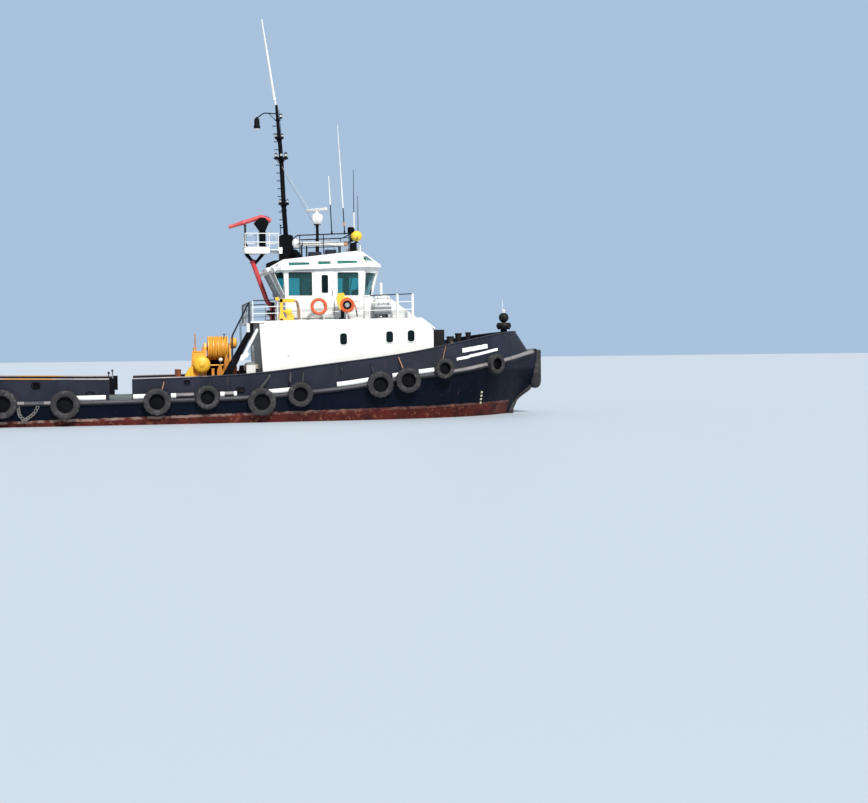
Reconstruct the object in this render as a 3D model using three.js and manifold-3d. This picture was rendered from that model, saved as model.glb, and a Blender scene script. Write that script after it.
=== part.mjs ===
// A harbour tug afloat at her working draught. Millimetres, +X to the bow, +Y to port, +Z up.
// The origin is on the waterline, amidships, on the centreline.
import * as THREE from "three";
import { mergeVertices } from "three/addons/utils/BufferGeometryUtils.js";
import Module from "manifold-3d";

const wasm = await Module();
wasm.setup();

// Driving dimensions
const GAP = 0.3; // left between pieces that rest on each other
const DRAUGHT = 2900;
const PLATE = 60; // deckhouse and wheelhouse walls with their lining
const STRAKE_R = 105; // half-round rubbing strake along the deck edge
const BULWARK_T = 40;
const CAP_RAIL = 130; // width of the rail on top of the bulwark
const BULWARK_GAP = [-6520, -5590]; // boarding gap on both sides

// Hull sections. Columns: x, keel z, keel half breadth, bilge half breadth, bilge z,
// side half breadth, side z, deck half breadth, deck z
const STATIONS = [
  [-13200, -200, 1500, 2150, -60, 2650, 380, 2760, 1100],
  [-12400, -260, 2200, 3050, -120, 3500, 330, 3620, 1080],
  [-11200, -400, 2450, 3400, -250, 3850, 220, 3920, 1055],
  [-8500, -950, 2300, 3500, -700, 3920, 100, 3990, 1055],
  [-5000, -2300, 1800, 3450, -1450, 3950, 0, 4000, 1085],
  [-1000, -DRAUGHT, 1550, 3400, -1850, 3950, 0, 4000, 1150],
  [3000, -DRAUGHT, 1400, 3250, -1800, 3900, 50, 4000, 1460],
  [6000, -2880, 950, 2850, -1700, 3650, 150, 3980, 1880],
  [8500, -2650, 500, 1950, -1450, 2950, 350, 3660, 2180],
  [10200, -1850, 200, 1050, -900, 2000, 600, 2980, 2480],
  [11300, -450, 120, 480, 50, 1150, 1000, 2180, 2690],
  [12000, 700, 90, 330, 950, 720, 1500, 1450, 2840],
  [12600, 1220, 80, 230, 1400, 430, 1900, 780, 2950],
  [12870, 1450, 70, 160, 1650, 280, 2100, 400, 3000],
];

// Bulwark plating on the deck. Columns: x, half breadth at the foot, top z, lean inboard
const BULWARK_AFT = [
  [-13080, 1900, 2080, 0],
  [-12950, 2350, 2070, 0],
  [-12350, 3350, 2060, 0],
  [-11200, 3800, 2030, 0],
  [-8500, 3880, 1985, 0],
  [BULWARK_GAP[0], 3885, 1960, 0],
];
const BULWARK_FORWARD = [
  [BULWARK_GAP[1], 3885, 1955, 0],
  [-1000, 3890, 2080, 0],
  [3000, 3890, 2510, 50],
  [6000, 3870, 2890, 100],
  [8500, 3550, 3330, 240],
  [10200, 2870, 3620, 390],
  [11300, 2070, 3760, 500],
  [12000, 1340, 3830, 570],
  [12350, 840, 3845, 600],
  [12480, 450, 3850, 610],
];

// Tyres hung along each side. Columns: x, z of the centre, outer diameter
const TYRES = [
  [-12500, 1000, 1190],
  [-10770, 970, 1190],
  [-8290, 900, 1190],
  [-4590, 960, 1140],
  [-2510, 1110, 1020],
  [-240, 880, 1190],
  [1390, 1170, 1070],
  [4840, 1540, 1140],
  [6070, 1700, 1100],
  [7710, 2190, 890],
  [10260, 2350, 890],
];
const TYRE_WIDTH = 280;

// Deckhouse and boat deck
const HOUSE_HALF = 3000;
const HOUSE_AFT = [20, -200]; // x of the aft edge at the foot and at the top
const HOUSE_FRONT_X = 7450;
const HOUSE_KNUCKLE = [6920, 4020]; // x where the front starts to slope, z where the slope ends
const BOAT_DECK_T = 60;
const BOAT_DECK_X0 = -560;
const BOAT_DECK_HALF = 3060;
const boatDeckZ = (x) => 4310 + 0.0155 * (x + 560); // top of the plating, rising forward
const HOUSE_DOOR = { y0: 600, y1: 1350, z0: 1330, z1: 3230 };

// Wheelhouse plan, starboard half from aft to forward, at the sill and at the window heads
const SILL_Z = 5400;
const WHEELHOUSE_SILL = [[950, -1300], [1000, -2400], [4420, -2400], [5020, -1250]];
const WHEELHOUSE_HEAD = [[340, -1350], [930, -2400], [4500, -2400], [5370, -1290]];
const ROOF_EAVE = [[240, -1400], [820, -2560], [4600, -2560], [5430, -1330]];
const ROOF_TOP = [[900, -1150], [960, -2080], [4180, -2080], [4630, -1050]];
const eaveZ = (x) => 6545 + 0.04 * (x - 900);
const roofZ = (x) => 7010 + 0.12 * (x - 870);
const WINDOW_Z = [5430, 6460];
const SIDE_WINDOWS = [[1140, 2180], [3290, 4230]];
const SKYLIGHTS = [[1160, 2070], [2440, 3000], [3290, 4170]];
const DOORWAY = { x0: 2300, x1: 3130, z0: 4500, z1: 6420 };
const DOOR_LAP = 50;
const DOOR_T = 40;
const DOOR_CLEAR = 8;

// Running gear
const SHAFT = { y: 1650, z: -1800 };
const STERN_TUBE_END = -9440;
const NOZZLE = { x: -10300, outer: 1050, inner: 870, length: 900 };
const PROPELLER = { tip: 830, hub: 170, blades: 4, width: 520 };
const RUDDER = {
  stockX: -11480, fore: 320, aft: 820, top: -760, bottom: -2750, t: 170, stockR: 90, stockTop: -395 };

const material = (color, roughness = 0.6, metalness = 0.1) =>
  new THREE.MeshStandardMaterial({ color, roughness, metalness });
const PAINT = {
  hull: material(0x141b2a),
  bulwark: material(0x2b3142),
  white: material(0xeeeeea),
  black: material(0x17181b),
  rubber: material(0x1d1c1c, 0.9, 0),
  deck: material(0x4d5a52),
  glass: material(0x3f7f92, 0.1, 0),
  yellow: material(0xf0a91e),
  signal: material(0xc62b24),
  orange: material(0xe0522a),
  bronze: material(0x9b7a3a, 0.4, 0.8),
  steel: material(0x7c8288, 0.5, 0.6),
};

// Solids
function solid(geometry) {
  const bare = geometry.index ? geometry.clone() : geometry;
  bare.deleteAttribute("normal");
  bare.deleteAttribute("uv");
  const merged = mergeVertices(bare, 0.001);
  const mesh = new wasm.Mesh({
    numProp: 3,
    vertProperties: Float32Array.from(merged.attributes.position.array),
    triVerts: Uint32Array.from(merged.index.array),
  });
  return new wasm.Manifold(mesh);
}

function geometryOf(shape) {
  const mesh = shape.getMesh();
  const geometry = new THREE.BufferGeometry();
  geometry.setAttribute("position", new THREE.BufferAttribute(mesh.vertProperties, 3));
  geometry.setIndex(new THREE.BufferAttribute(mesh.triVerts, 1));
  geometry.computeVertexNormals();
  return geometry;
}

const join = (...shapes) => shapes.flat().reduce((sum, shape) => sum.add(shape));
const cut = (shape, ...tools) => tools.flat().reduce((rest, tool) => rest.subtract(tool), shape);

function block(x0, x1, y0, y1, z0, z1) {
  const geometry = new THREE.BoxGeometry(x1 - x0, y1 - y0, z1 - z0);
  return solid(geometry.translate((x0 + x1) / 2, (y0 + y1) / 2, (z0 + z1) / 2));
}

// A round bar from one point to another; the radius may change along it
function bar(from, to, radius, endRadius = radius, sides = 6) {
  const start = new THREE.Vector3(...from);
  const end = new THREE.Vector3(...to);
  const geometry = new THREE.CylinderGeometry(endRadius, radius, start.distanceTo(end), sides);
  const turn = new THREE.Quaternion().setFromUnitVectors(
    new THREE.Vector3(0, 1, 0), end.clone().sub(start).normalize());
  geometry.applyQuaternion(turn);
  const middle = start.add(end).multiplyScalar(0.5);
  return solid(geometry.translate(middle.x, middle.y, middle.z));
}

// Bars through a list of points, with round knuckles where they meet
function pipe(points, radius, sides = 6) {
  const pieces = [];
  for (let i = 1; i < points.length; i += 1) {
    pieces.push(bar(points[i - 1], points[i], radius, radius, sides));
  }
  for (const knuckle of points.slice(1, -1)) {
    pieces.push(ball(knuckle, radius * 1.02, sides));
  }
  return join(pieces);
}

function ball(centre, radius, sides = 10) {
  return solid(new THREE.SphereGeometry(radius, sides, Math.max(4, sides / 2)).translate(...centre));
}

// An outline in x and z, carried from y0 to y1
function slabXZ(outline, y0, y1) {
  const shape = new THREE.Shape(outline.map(([x, z]) => new THREE.Vector2(x, z)));
  const geometry = new THREE.ExtrudeGeometry(shape, { depth: y1 - y0, bevelEnabled: false });
  return solid(geometry.rotateX(Math.PI / 2).translate(0, y1, 0));
}

// A solid through rings of equally many points; the first and last ring are closed flat
function loft(rings) {
  const count = rings[0].length;
  const positions = rings.flat(2);
  const faces = [];
  for (let r = 0; r + 1 < rings.length; r += 1) {
    for (let i = 0; i < count; i += 1) {
      const a = r * count + i;
      const b = r * count + ((i + 1) % count);
      faces.push([a, b, b + count], [a, b + count, a + count]);
    }
  }
  const last = (rings.length - 1) * count;
  for (let i = 1; i + 1 < count; i += 1) {
    faces.push([0, i + 1, i], [last, last + i, last + i + 1]);
  }
  const corner = (k) => new THREE.Vector3(...positions.slice(3 * k, 3 * k + 3));
  const volume = faces.reduce((sum, [a, b, c]) => sum + corner(a).dot(corner(b).cross(corner(c))), 0);
  const turned = volume > 0 ? faces : faces.map(([a, b, c]) => [a, c, b]);
  const geometry = new THREE.BufferGeometry();
  geometry.setAttribute("position", new THREE.BufferAttribute(Float32Array.from(positions), 3));
  geometry.setIndex(turned.flat());
  return solid(geometry);
}

// The ring of a lathe profile given as [radius, along] pairs, about an axis along x
function turnedX(profile, centre, sides = 24) {
  const points = profile.map(([r, along]) => new THREE.Vector2(r, along));
  const geometry = new THREE.LatheGeometry(points, sides).rotateZ(-Math.PI / 2);
  return solid(geometry.translate(...centre));
}

// The same about an upright axis
function turnedZ(profile, centre, sides = 20) {
  const points = profile.map(([r, along]) => new THREE.Vector2(r, along));
  const geometry = new THREE.LatheGeometry(points, sides).rotateX(Math.PI / 2);
  return solid(geometry.translate(...centre));
}

const mirrored = (shape) => shape.mirror([0, 1, 0]);
const shifted = (shape, x, y, z) => shape.translate([x, y, z]);
const fullRing = (half) => [...half, ...half.slice().reverse().map(([x, y]) => [x, -y])];

// An outline moved inwards by a distance, side by side
function inset(outline, distance) {
  const count = outline.length;
  const area = outline.reduce((sum, [x, y], i) => {
    const [nx, ny] = outline[(i + 1) % count];
    return sum + x * ny - nx * y;
  }, 0);
  const sign = Math.sign(area);
  const edges = outline.map(([x, y], i) => {
    const [nx, ny] = outline[(i + 1) % count];
    const length = Math.hypot(nx - x, ny - y);
    const normal = [(-sign * (ny - y)) / length, (sign * (nx - x)) / length];
    return { from: [x + normal[0] * distance, y + normal[1] * distance], along: [nx - x, ny - y] };
  });
  return edges.map((edge, i) => {
    const before = edges[(i + count - 1) % count];
    const cross = before.along[0] * edge.along[1] - before.along[1] * edge.along[0];
    const dx = edge.from[0] - before.from[0];
    const dy = edge.from[1] - before.from[1];
    const t = (dx * edge.along[1] - dy * edge.along[0]) / cross;
    return [before.from[0] + t * before.along[0], before.from[1] + t * before.along[1]];
  });
}

const group = new THREE.Group();

function add(name, shape, paint) {
  const mesh = new THREE.Mesh(geometryOf(shape), paint);
  mesh.name = name;
  group.add(mesh);
}

// Hull
const row = (table, x, column) => {
  const k = Math.min(table.length - 1, Math.max(1, table.findIndex((line) => line[0] >= x)));
  const [low, high] = [table[k - 1], table[k]];
  return low[column] + ((x - low[0]) / (high[0] - low[0])) * (high[column] - low[column]);
};
const deckHalf = (x) => row(STATIONS, x, 7);
const deckZ = (x) => row(STATIONS, x, 8);

function hullRing([x, keelZ, keelHalf, bilgeHalf, bilgeZ, sideHalf, sideZ, topHalf, topZ]) {
  const half = [[keelHalf, keelZ], [bilgeHalf, bilgeZ], [sideHalf, sideZ], [topHalf, topZ]];
  const port = half.map(([y, z]) => [x, y, z]);
  const starboard = half.map(([y, z]) => [x, -y, z]).reverse();
  return [...port, ...starboard];
}

// A heavy knob low on the stem, where the rubber ends
function stemKnob() {
  return join(ball([11830, 0, 460], 225, 10), bar([11830, 0, 460], [12350, 0, 1050], 200, 120, 10));
}

function sternGear() {
  const parts = [-SHAFT.y, SHAFT.y].map((y) => join(
    bar([-5200, y, SHAFT.z], [STERN_TUBE_END, y, SHAFT.z], 230, 190, 12),
    block(-9350, -8850, y - 45, y + 45, SHAFT.z, -700),
  ));
  const skeg = slabXZ([[-4000, -2000], [-1000, -DRAUGHT], [-3600, -DRAUGHT],
    [-8800, -DRAUGHT + 150], [-9300, -900], [-7500, -900]], -110, 110);
  return join(parts, skeg);
}

const hull = join(loft(STATIONS.map(hullRing)), sternGear(), stemKnob());
const hullTaken = join(hull, shifted(hull, 0, 0, GAP)); // what a piece on the deck is cut by
const onDeck = (shape) => cut(shape, hullTaken);
add("hull", hull, PAINT.hull);

// Bulwarks: a plate leaning inboard with a flat rail on top, swept around the deck edge
function bulwark(table) {
  const starboard = table.map(([x, half, topZ, lean]) => ({ x, y: -half, topZ, lean }));
  const port = starboard.map((p) => ({ ...p, y: -p.y })).reverse();
  const around = table === BULWARK_FORWARD ? [...starboard, ...port] : [...port, ...starboard];
  const rings = around.map((p, i) => {
    const before = around[Math.max(0, i - 1)];
    const after = around[Math.min(around.length - 1, i + 1)];
    const length = Math.hypot(after.x - before.x, after.y - before.y);
    const inward = [-(after.y - before.y) / length, (after.x - before.x) / length];
    const at = (d, z) => [p.x + inward[0] * d, p.y + inward[1] * d, z];
    const over = (CAP_RAIL - BULWARK_T) / 2;
    const footZ = deckZ(p.x) - 60;
    return [
      at(0, footZ), at(p.lean, p.topZ - 50), at(p.lean - over, p.topZ - 50),
      at(p.lean - over, p.topZ), at(p.lean + BULWARK_T + over, p.topZ),
      at(p.lean + BULWARK_T + over, p.topZ - 50), at(p.lean + BULWARK_T, p.topZ - 50),
      at(BULWARK_T, footZ),
    ];
  });
  return loft(rings);
}
add("bulwark_forward", onDeck(bulwark(BULWARK_FORWARD)), PAINT.bulwark);
add("bulwark_aft", onDeck(bulwark(BULWARK_AFT)), PAINT.bulwark);

// Rubbing strake with the tyres that hang over it, starboard side
function strake() {
  const path = [[-13200, 1500], ...STATIONS.slice(0, -1).map((s) => [s[0], s[7]])];
  const rings = path.map(([x, half], i) => {
    const before = path[Math.max(0, i - 1)];
    const after = path[Math.min(path.length - 1, i + 1)];
    const length = Math.hypot(after[0] - before[0], after[1] - before[1]);
    const outward = [-(after[1] - before[1]) / length, (after[0] - before[0]) / length];
    return [-90, -45, 0, 45, 90].map((degrees) => {
      const turn = THREE.MathUtils.degToRad(degrees);
      const out = 2 * GAP + STRAKE_R * Math.cos(turn);
      const z = deckZ(x) - STRAKE_R + STRAKE_R * Math.sin(turn);
      return [x + outward[0] * out, -half - outward[1] * out, z];
    });
  });
  return loft(rings);
}

function tyre([x, z, diameter]) {
  const tube = TYRE_WIDTH / 2;
  const slope = (deckHalf(x + 300) - deckHalf(x - 300)) / 600;
  const geometry = new THREE.TorusGeometry(diameter / 2 - tube, tube, 5, 12)
    .rotateX(Math.PI / 2)
    .rotateZ(Math.atan(-slope));
  const out = TYRE_WIDTH / 2 + 40;
  return solid(geometry.translate(x, -deckHalf(x) - out, z));
}

const fenderBelt = join(strake(), TYRES.map(tyre));
add("fender_belt_starboard", fenderBelt, PAINT.rubber);
add("fender_belt_port", mirrored(fenderBelt), PAINT.rubber);

// An upright rubber roller on the stem, rounded off at its foot
const STEM_FENDER = { x: 12960, z0: 1440, z1: 2960, r: 300 };
const stemFoot = [STEM_FENDER.x, 0, STEM_FENDER.z0];
const stemFender = cut(
  join(bar(stemFoot, [STEM_FENDER.x, 0, STEM_FENDER.z1], STEM_FENDER.r, STEM_FENDER.r, 14),
    ball(stemFoot, STEM_FENDER.r - 10, 12)),
  hull, shifted(hull, GAP, 0, 0), shifted(hull, 0, 0, GAP));
add("stem_fender", stemFender, PAINT.rubber);

// Deckhouse walls
const HOUSE_FOOT_Z = 600; // inside the hull, so that the walls reach the deck everywhere
const HOUSE_TOP_Z = boatDeckZ(HOUSE_AFT[1]);
const aftFace = (z) =>
  HOUSE_AFT[0] + ((HOUSE_AFT[1] - HOUSE_AFT[0]) * (z - HOUSE_FOOT_Z)) / (HOUSE_TOP_Z - HOUSE_FOOT_Z);
const underDeck = BOAT_DECK_T + GAP;
const houseBlock = slabXZ([
  [aftFace(HOUSE_FOOT_Z), HOUSE_FOOT_Z], [HOUSE_AFT[1], HOUSE_TOP_Z - underDeck],
  [HOUSE_KNUCKLE[0], boatDeckZ(HOUSE_KNUCKLE[0]) - underDeck],
  [HOUSE_FRONT_X, HOUSE_KNUCKLE[1] - underDeck], [HOUSE_FRONT_X, HOUSE_FOOT_Z],
], -HOUSE_HALF, HOUSE_HALF);
const houseInside = slabXZ([
  [aftFace(0) + PLATE, 0], [aftFace(6000) + PLATE, 6000],
  [HOUSE_FRONT_X - PLATE, 6000], [HOUSE_FRONT_X - PLATE, 0],
], -HOUSE_HALF + PLATE, HOUSE_HALF - PLATE);
const houseShell = onDeck(cut(houseBlock, houseInside));
const sideBand = block(-2000, 9000, -4000, -HOUSE_HALF + PLATE, 0, 7000);
const houseSide = houseShell.intersect(sideBand);
const between = (x0, x1) =>
  block(x0, x1, -HOUSE_HALF + PLATE + GAP, HOUSE_HALF - PLATE - GAP, 0, 7000);
const houseDoorway = block(-500, 500, HOUSE_DOOR.y0, HOUSE_DOOR.y1, HOUSE_DOOR.z0, HOUSE_DOOR.z1);
add("house_side_starboard", houseSide, PAINT.white);
add("house_side_port", mirrored(houseSide), PAINT.white);
add("house_front", houseShell.intersect(between(5000, 9000)), PAINT.white);
add("house_aft", cut(houseShell.intersect(between(-2000, 2000)), houseDoorway), PAINT.white);

// The door closes against the outside of the after wall and laps its opening all round
const HOUSE_DOOR_LAP = 40;
const HOUSE_DOOR_T = 50;
const doorCorner = (z, out) => [aftFace(z) - out, z];
const doorFoot = HOUSE_DOOR.z0 - HOUSE_DOOR_LAP;
const doorHead = HOUSE_DOOR.z1 + HOUSE_DOOR_LAP;
const houseDoor = slabXZ([
  doorCorner(doorFoot, DOOR_CLEAR), doorCorner(doorHead, DOOR_CLEAR),
  doorCorner(doorHead, DOOR_CLEAR + HOUSE_DOOR_T), doorCorner(doorFoot, DOOR_CLEAR + HOUSE_DOOR_T),
], HOUSE_DOOR.y0 - HOUSE_DOOR_LAP, HOUSE_DOOR.y1 + HOUSE_DOOR_LAP);
add("house_door", houseDoor, PAINT.white);

const deckEdge = (x) => [x, boatDeckZ(x)];
const deckFront = [HOUSE_FRONT_X + 50, HOUSE_KNUCKLE[1] - 35];
const boatDeckLine = [deckEdge(BOAT_DECK_X0), deckEdge(HOUSE_KNUCKLE[0]), deckFront];
const boatDeck = slabXZ([
  ...boatDeckLine, ...boatDeckLine.slice().reverse().map(([x, z]) => [x, z - BOAT_DECK_T]),
], -BOAT_DECK_HALF, BOAT_DECK_HALF);
add("boat_deck", boatDeck, PAINT.deck);
const boatDeckTaken = slabXZ([
  [-2000, 2000], [-2000, boatDeckZ(-2000) + GAP],
  [HOUSE_KNUCKLE[0], boatDeckZ(HOUSE_KNUCKLE[0]) + GAP],
  [HOUSE_FRONT_X + 200, HOUSE_KNUCKLE[1] - 100], [HOUSE_FRONT_X + 200, 2000]], -4000, 4000);
const onBoatDeck = (shape) => cut(shape, boatDeckTaken);

// Wheelhouse walls: upright to the sill, leaning out in way of the windows
const level = (outline, z) => outline.map(([x, y]) => [x, y, typeof z === "function" ? z(x) : z]);
function wheelhouseBody(distance) {
  const sill = inset(fullRing(WHEELHOUSE_SILL), distance);
  const head = inset(fullRing(WHEELHOUSE_HEAD), distance);
  const upright = loft([level(sill, 4100), level(sill, SILL_Z)]);
  const leaning = loft([level(sill, SILL_Z), level(head, (x) => eaveZ(x) + 60)]);
  return join(upright, leaning);
}
const roofOuter = loft([
  level(fullRing(ROOF_EAVE), eaveZ), level(fullRing(ROOF_EAVE), (x) => eaveZ(x) + 110),
  level(fullRing(ROOF_TOP), roofZ)]);
const roofInner = loft([
  level(inset(fullRing(ROOF_EAVE), 200), (x) => eaveZ(x) - 100),
  level(inset(fullRing(ROOF_EAVE), 200), (x) => eaveZ(x) + 110),
  level(inset(fullRing(ROOF_TOP), 110), (x) => roofZ(x) - PLATE)]);
const skylights = SKYLIGHTS.map(([x0, x1]) =>
  block(x0, x1, -3000, 3000, eaveZ(x0) + 165, eaveZ(x0) + 325));
const roof = cut(roofOuter, roofInner, skylights);
add("wheelhouse_roof", roof, PAINT.white);
const underRoof = (shape) => cut(shape, roofOuter, shifted(roofOuter, 0, 0, -GAP));

const wheelhouseShell = underRoof(onBoatDeck(cut(wheelhouseBody(0), wheelhouseBody(PLATE))));
const windowBand = (x0, x1, y0, y1) => block(x0, x1, y0, y1, WINDOW_Z[0], WINDOW_Z[1]);
const sideWindows = SIDE_WINDOWS.map(([x0, x1]) => windowBand(x0, x1, -3000, 3000));
const doorways = block(DOORWAY.x0, DOORWAY.x1, -3000, 3000, DOORWAY.z0, DOORWAY.z1);
// Windows at the ends. Columns: x from, x to, y from, y to
const END_WINDOWS = [
  [4600, 6000, -350, 350], [4600, 6000, -1100, -450], [4600, 6000, 450, 1100],
  [0, 1400, -1080, -80], [0, 1400, 80, 1080], [0, 985, -2200, -1480], [0, 985, 1480, 2200],
];
const endWindows = END_WINDOWS.map((window) => windowBand(...window));
const QUARTER_WINDOW = [[4400, -2290], [4860, -1400], [6500, -1400], [6500, -2290]];
const quarterTool = (sign) => loft(WINDOW_Z.map((z) => QUARTER_WINDOW.map(([x, y]) => [x, sign * y, z])));
const opened = cut(wheelhouseShell, sideWindows, doorways, endWindows, quarterTool(1), quarterTool(-1));
const WALL_SPLIT = [1080, 4380];
const starboardBand = block(WALL_SPLIT[0] + GAP, WALL_SPLIT[1] - GAP, -3000, -1000, 4000, 7500);
add("wheelhouse_side_starboard", opened.intersect(starboardBand), PAINT.white);
add("wheelhouse_side_port", mirrored(opened.intersect(starboardBand)), PAINT.white);
add("wheelhouse_front", opened.intersect(block(WALL_SPLIT[1], 7000, -3000, 3000, 4000, 7500)), PAINT.white);
add("wheelhouse_aft", opened.intersect(block(-500, WALL_SPLIT[0], -3000, 3000, 4000, 7500)), PAINT.white);

const glassRing = cut(wheelhouseBody(PLATE + 4), wheelhouseBody(PLATE + 18))
  .intersect(block(-500, 7000, -3000, 3000, WINDOW_Z[0] - 40, WINDOW_Z[1] + 40));
add("glass_forward", glassRing.intersect(block(3240, 7000, -3000, 3000, 0, 9000)), PAINT.glass);
add("glass_aft", glassRing.intersect(block(-500, 2200, -3000, 3000, 0, 9000)), PAINT.glass);

// Sliding wheelhouse door outside the wall, starboard, with its narrow window
const doorOuter = -2400 - DOOR_CLEAR;
const slidingDoor = cut(
  block(DOORWAY.x0 - DOOR_LAP, DOORWAY.x1 + DOOR_LAP, doorOuter - DOOR_T, doorOuter,
    DOORWAY.z0 - 20, DOORWAY.z1 + DOOR_LAP),
  block(2600, 2860, -3000, -2000, 5560, 6320));
add("wheelhouse_door_starboard", slidingDoor, PAINT.white);
add("wheelhouse_door_port", mirrored(slidingDoor), PAINT.white);

// The trunk ahead of the wheelhouse, sloping down to the house front and open to the room below
const TRUNK_HALF = 2150;
const TRUNK_TOP_Z = 5340;
const TRUNK_SLOPE = [[5650, TRUNK_TOP_Z], [HOUSE_KNUCKLE[0], 4420]];
const trunkOutline = (d) => [
  [4300, 4200 - d], [4300, TRUNK_TOP_Z - d], [TRUNK_SLOPE[0][0] - d / 2, TRUNK_TOP_Z - d],
  [TRUNK_SLOPE[1][0] - 1.4 * d, TRUNK_SLOPE[1][1] - d / 2], [6900 - 1.4 * d, 4200 - d]];
const trunkShell = cut(slabXZ(trunkOutline(0), -TRUNK_HALF, TRUNK_HALF),
  slabXZ(trunkOutline(PLATE), -TRUNK_HALF + PLATE, TRUNK_HALF - PLATE));
const wheelhouseOuter = wheelhouseBody(0);
const trunk = onBoatDeck(cut(trunkShell, wheelhouseOuter, shifted(wheelhouseOuter, GAP, 0, 0)));
add("forward_trunk", trunk, PAINT.white);

// Inside the wheelhouse
const CONSOLE = [[4050, 4200], [4050, 5150], [4300, 5420], [4800, 5420], [4800, 4200]];
add("helm_console", onBoatDeck(slabXZ(CONSOLE, -1150, 1150)), PAINT.black);
const chairBack = [[3180, 4820], [3120, 5750], [3220, 5750], [3300, 4820]];
const chair = onBoatDeck(join(
  bar([3450, -700, 4200], [3450, -700, 4850], 60),
  block(3250, 3700, -950, -450, 4820, 4950),
  slabXZ(chairBack, -930, -470)));
add("helm_chair", chair, PAINT.black);

// Mast on the wheelhouse roof, raked aft, with its light platforms and the whip on top
const onRoof = (shape) => cut(shape, roofOuter, shifted(roofOuter, 0, 0, GAP));
const MAST = [[1310, 0, 8250], [1240, 0, 9400], [1140, 0, 11640], [1010, 0, 13430], [960, 0, 14100]];
const MAST_R = [110, 105, 90, 75, 60];
const mastTube = MAST.slice(1).map((point, i) => bar(MAST[i], point, MAST_R[i], MAST_R[i + 1], 10));
const LIGHT_DISCS = [[1290, 9650, 250], [1160, 11700, 330], [1080, 12600, 200]];
add("mast", onRoof(join(
  block(1000, 1600, -300, 300, 6950, 8270), mastTube,
  slabXZ([[1500, 6950], [2020, 6950], [2020, 7300], [1780, 7580], [1500, 7640]], -300, 300),
  LIGHT_DISCS.map(([x, z, r]) => bar([x, 0, z - 25], [x, 0, z + 25], r, r, 12)),
  pipe([[980, 0, 13700], [400, 0, 13730], [100, 0, 13500]], 30),
  bar([80, 0, 13560], [80, 0, 12980], 120, 150, 10),
  bar([950, 0, 14050], [880, 0, 14400], 45), bar([880, 0, 14380], [360, 0, 17910], 60, 35, 8),
)), PAINT.black);
for (const [name, sign] of [["stay_starboard", -1], ["stay_port", 1]]) {
  const stay = bar([1170, sign * 118, 11300], [3500, sign * 900, 7250], 9);
  add(name, onRoof(stay), PAINT.steel);
}

// Radar
const RADAR = { x: 2740, y: 0, top: 9330, sweep: 1250 };
add("radar_pedestal", onRoof(join(
  bar([RADAR.x, 0, 7100], [RADAR.x, 0, 8780], 70), block(2490, 2990, -180, 180, 8760, 9200),
  bar([RADAR.x, 0, 9190], [RADAR.x, 0, RADAR.top], 110, 90, 12))), PAINT.black);
const scanner = solid(new THREE.BoxGeometry(RADAR.sweep, 130, 150)
  .rotateZ(THREE.MathUtils.degToRad(-48)).translate(RADAR.x, RADAR.y, RADAR.top + 83));
add("radar_scanner", scanner, PAINT.white);

// Rail around the roof, with the whip antennas on it
const WHIPS = [[3290, -800, 8250, 10850, 3180], [3870, -800, 8250, 13140, 3610],
  [4550, 800, 8250, 11350, 4550], [4690, 500, 8250, 10120, 4690]];
const roofRailAt = (x, y) => [x, y, 8130 + 0.045 * (x - 1460)];
const ROOF_RAIL = { x0: 1680, x1: 4080, half: 1350 };
const railRing = [
  [ROOF_RAIL.x0, -ROOF_RAIL.half], [ROOF_RAIL.x1, -ROOF_RAIL.half],
  [ROOF_RAIL.x1, ROOF_RAIL.half], [ROOF_RAIL.x0, ROOF_RAIL.half]];
const railPosts = [-1, 1].flatMap((side) =>
  [ROOF_RAIL.x0, 2840, ROOF_RAIL.x1].map((x) => [x, side * ROOF_RAIL.half]));
const roofRail = join(
  railRing.map(([x, y], i) => bar(roofRailAt(x, y), roofRailAt(...railRing[(i + 1) % 4]), 28)),
  railRing.map(([x, y]) => ball(roofRailAt(x, y), 30, 8)),
  railPosts.map(([x, y]) => bar([x, y, 7000], roofRailAt(x, y), 26, 26, 5)),
  WHIPS.map(([x, y, z0, z1, topX]) => {
    const arm = roofRailAt(Math.min(x, ROOF_RAIL.x1), Math.sign(y) * ROOF_RAIL.half);
    return join(bar(arm, [x, y, z0 + 60], 24), bar([x, y, z0], [topX, y, z1], 26, 12, 6));
  }));
add("roof_rail", onRoof(roofRail), PAINT.black);

const tube = join(
  bar([1950, -1000, 7800], [3950, -1000, 7800], 110, 110, 12),
  ball([1690, -1000, 7830], 215, 12), bar([1690, -1000, 7830], [2000, -1000, 7800], 60),
  [2100, 3600].map((x) => block(x - 30, x + 30, -1040, -960, 7000, 7800)));
add("satellite_dome", onRoof(tube), PAINT.white);

const LAMP = { x: 4430, y: -600, z: 8200 };
add("searchlight_post", onRoof(join(
  bar([LAMP.x - 100, LAMP.y, 7200], [LAMP.x - 100, LAMP.y, 7900], 165, 155, 14),
  bar([LAMP.x, LAMP.y, 7890], [LAMP.x, LAMP.y, 7930], 110, 110, 12))), PAINT.black);
const lampAt = (dx, dz) => [LAMP.x + dx, LAMP.y, LAMP.z + dz];
const lamp = join(ball(lampAt(0, 0), 255, 14), bar(lampAt(-240, 100), lampAt(-240, 390), 155, 140, 12));
add("searchlight", lamp, PAINT.yellow);

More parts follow.
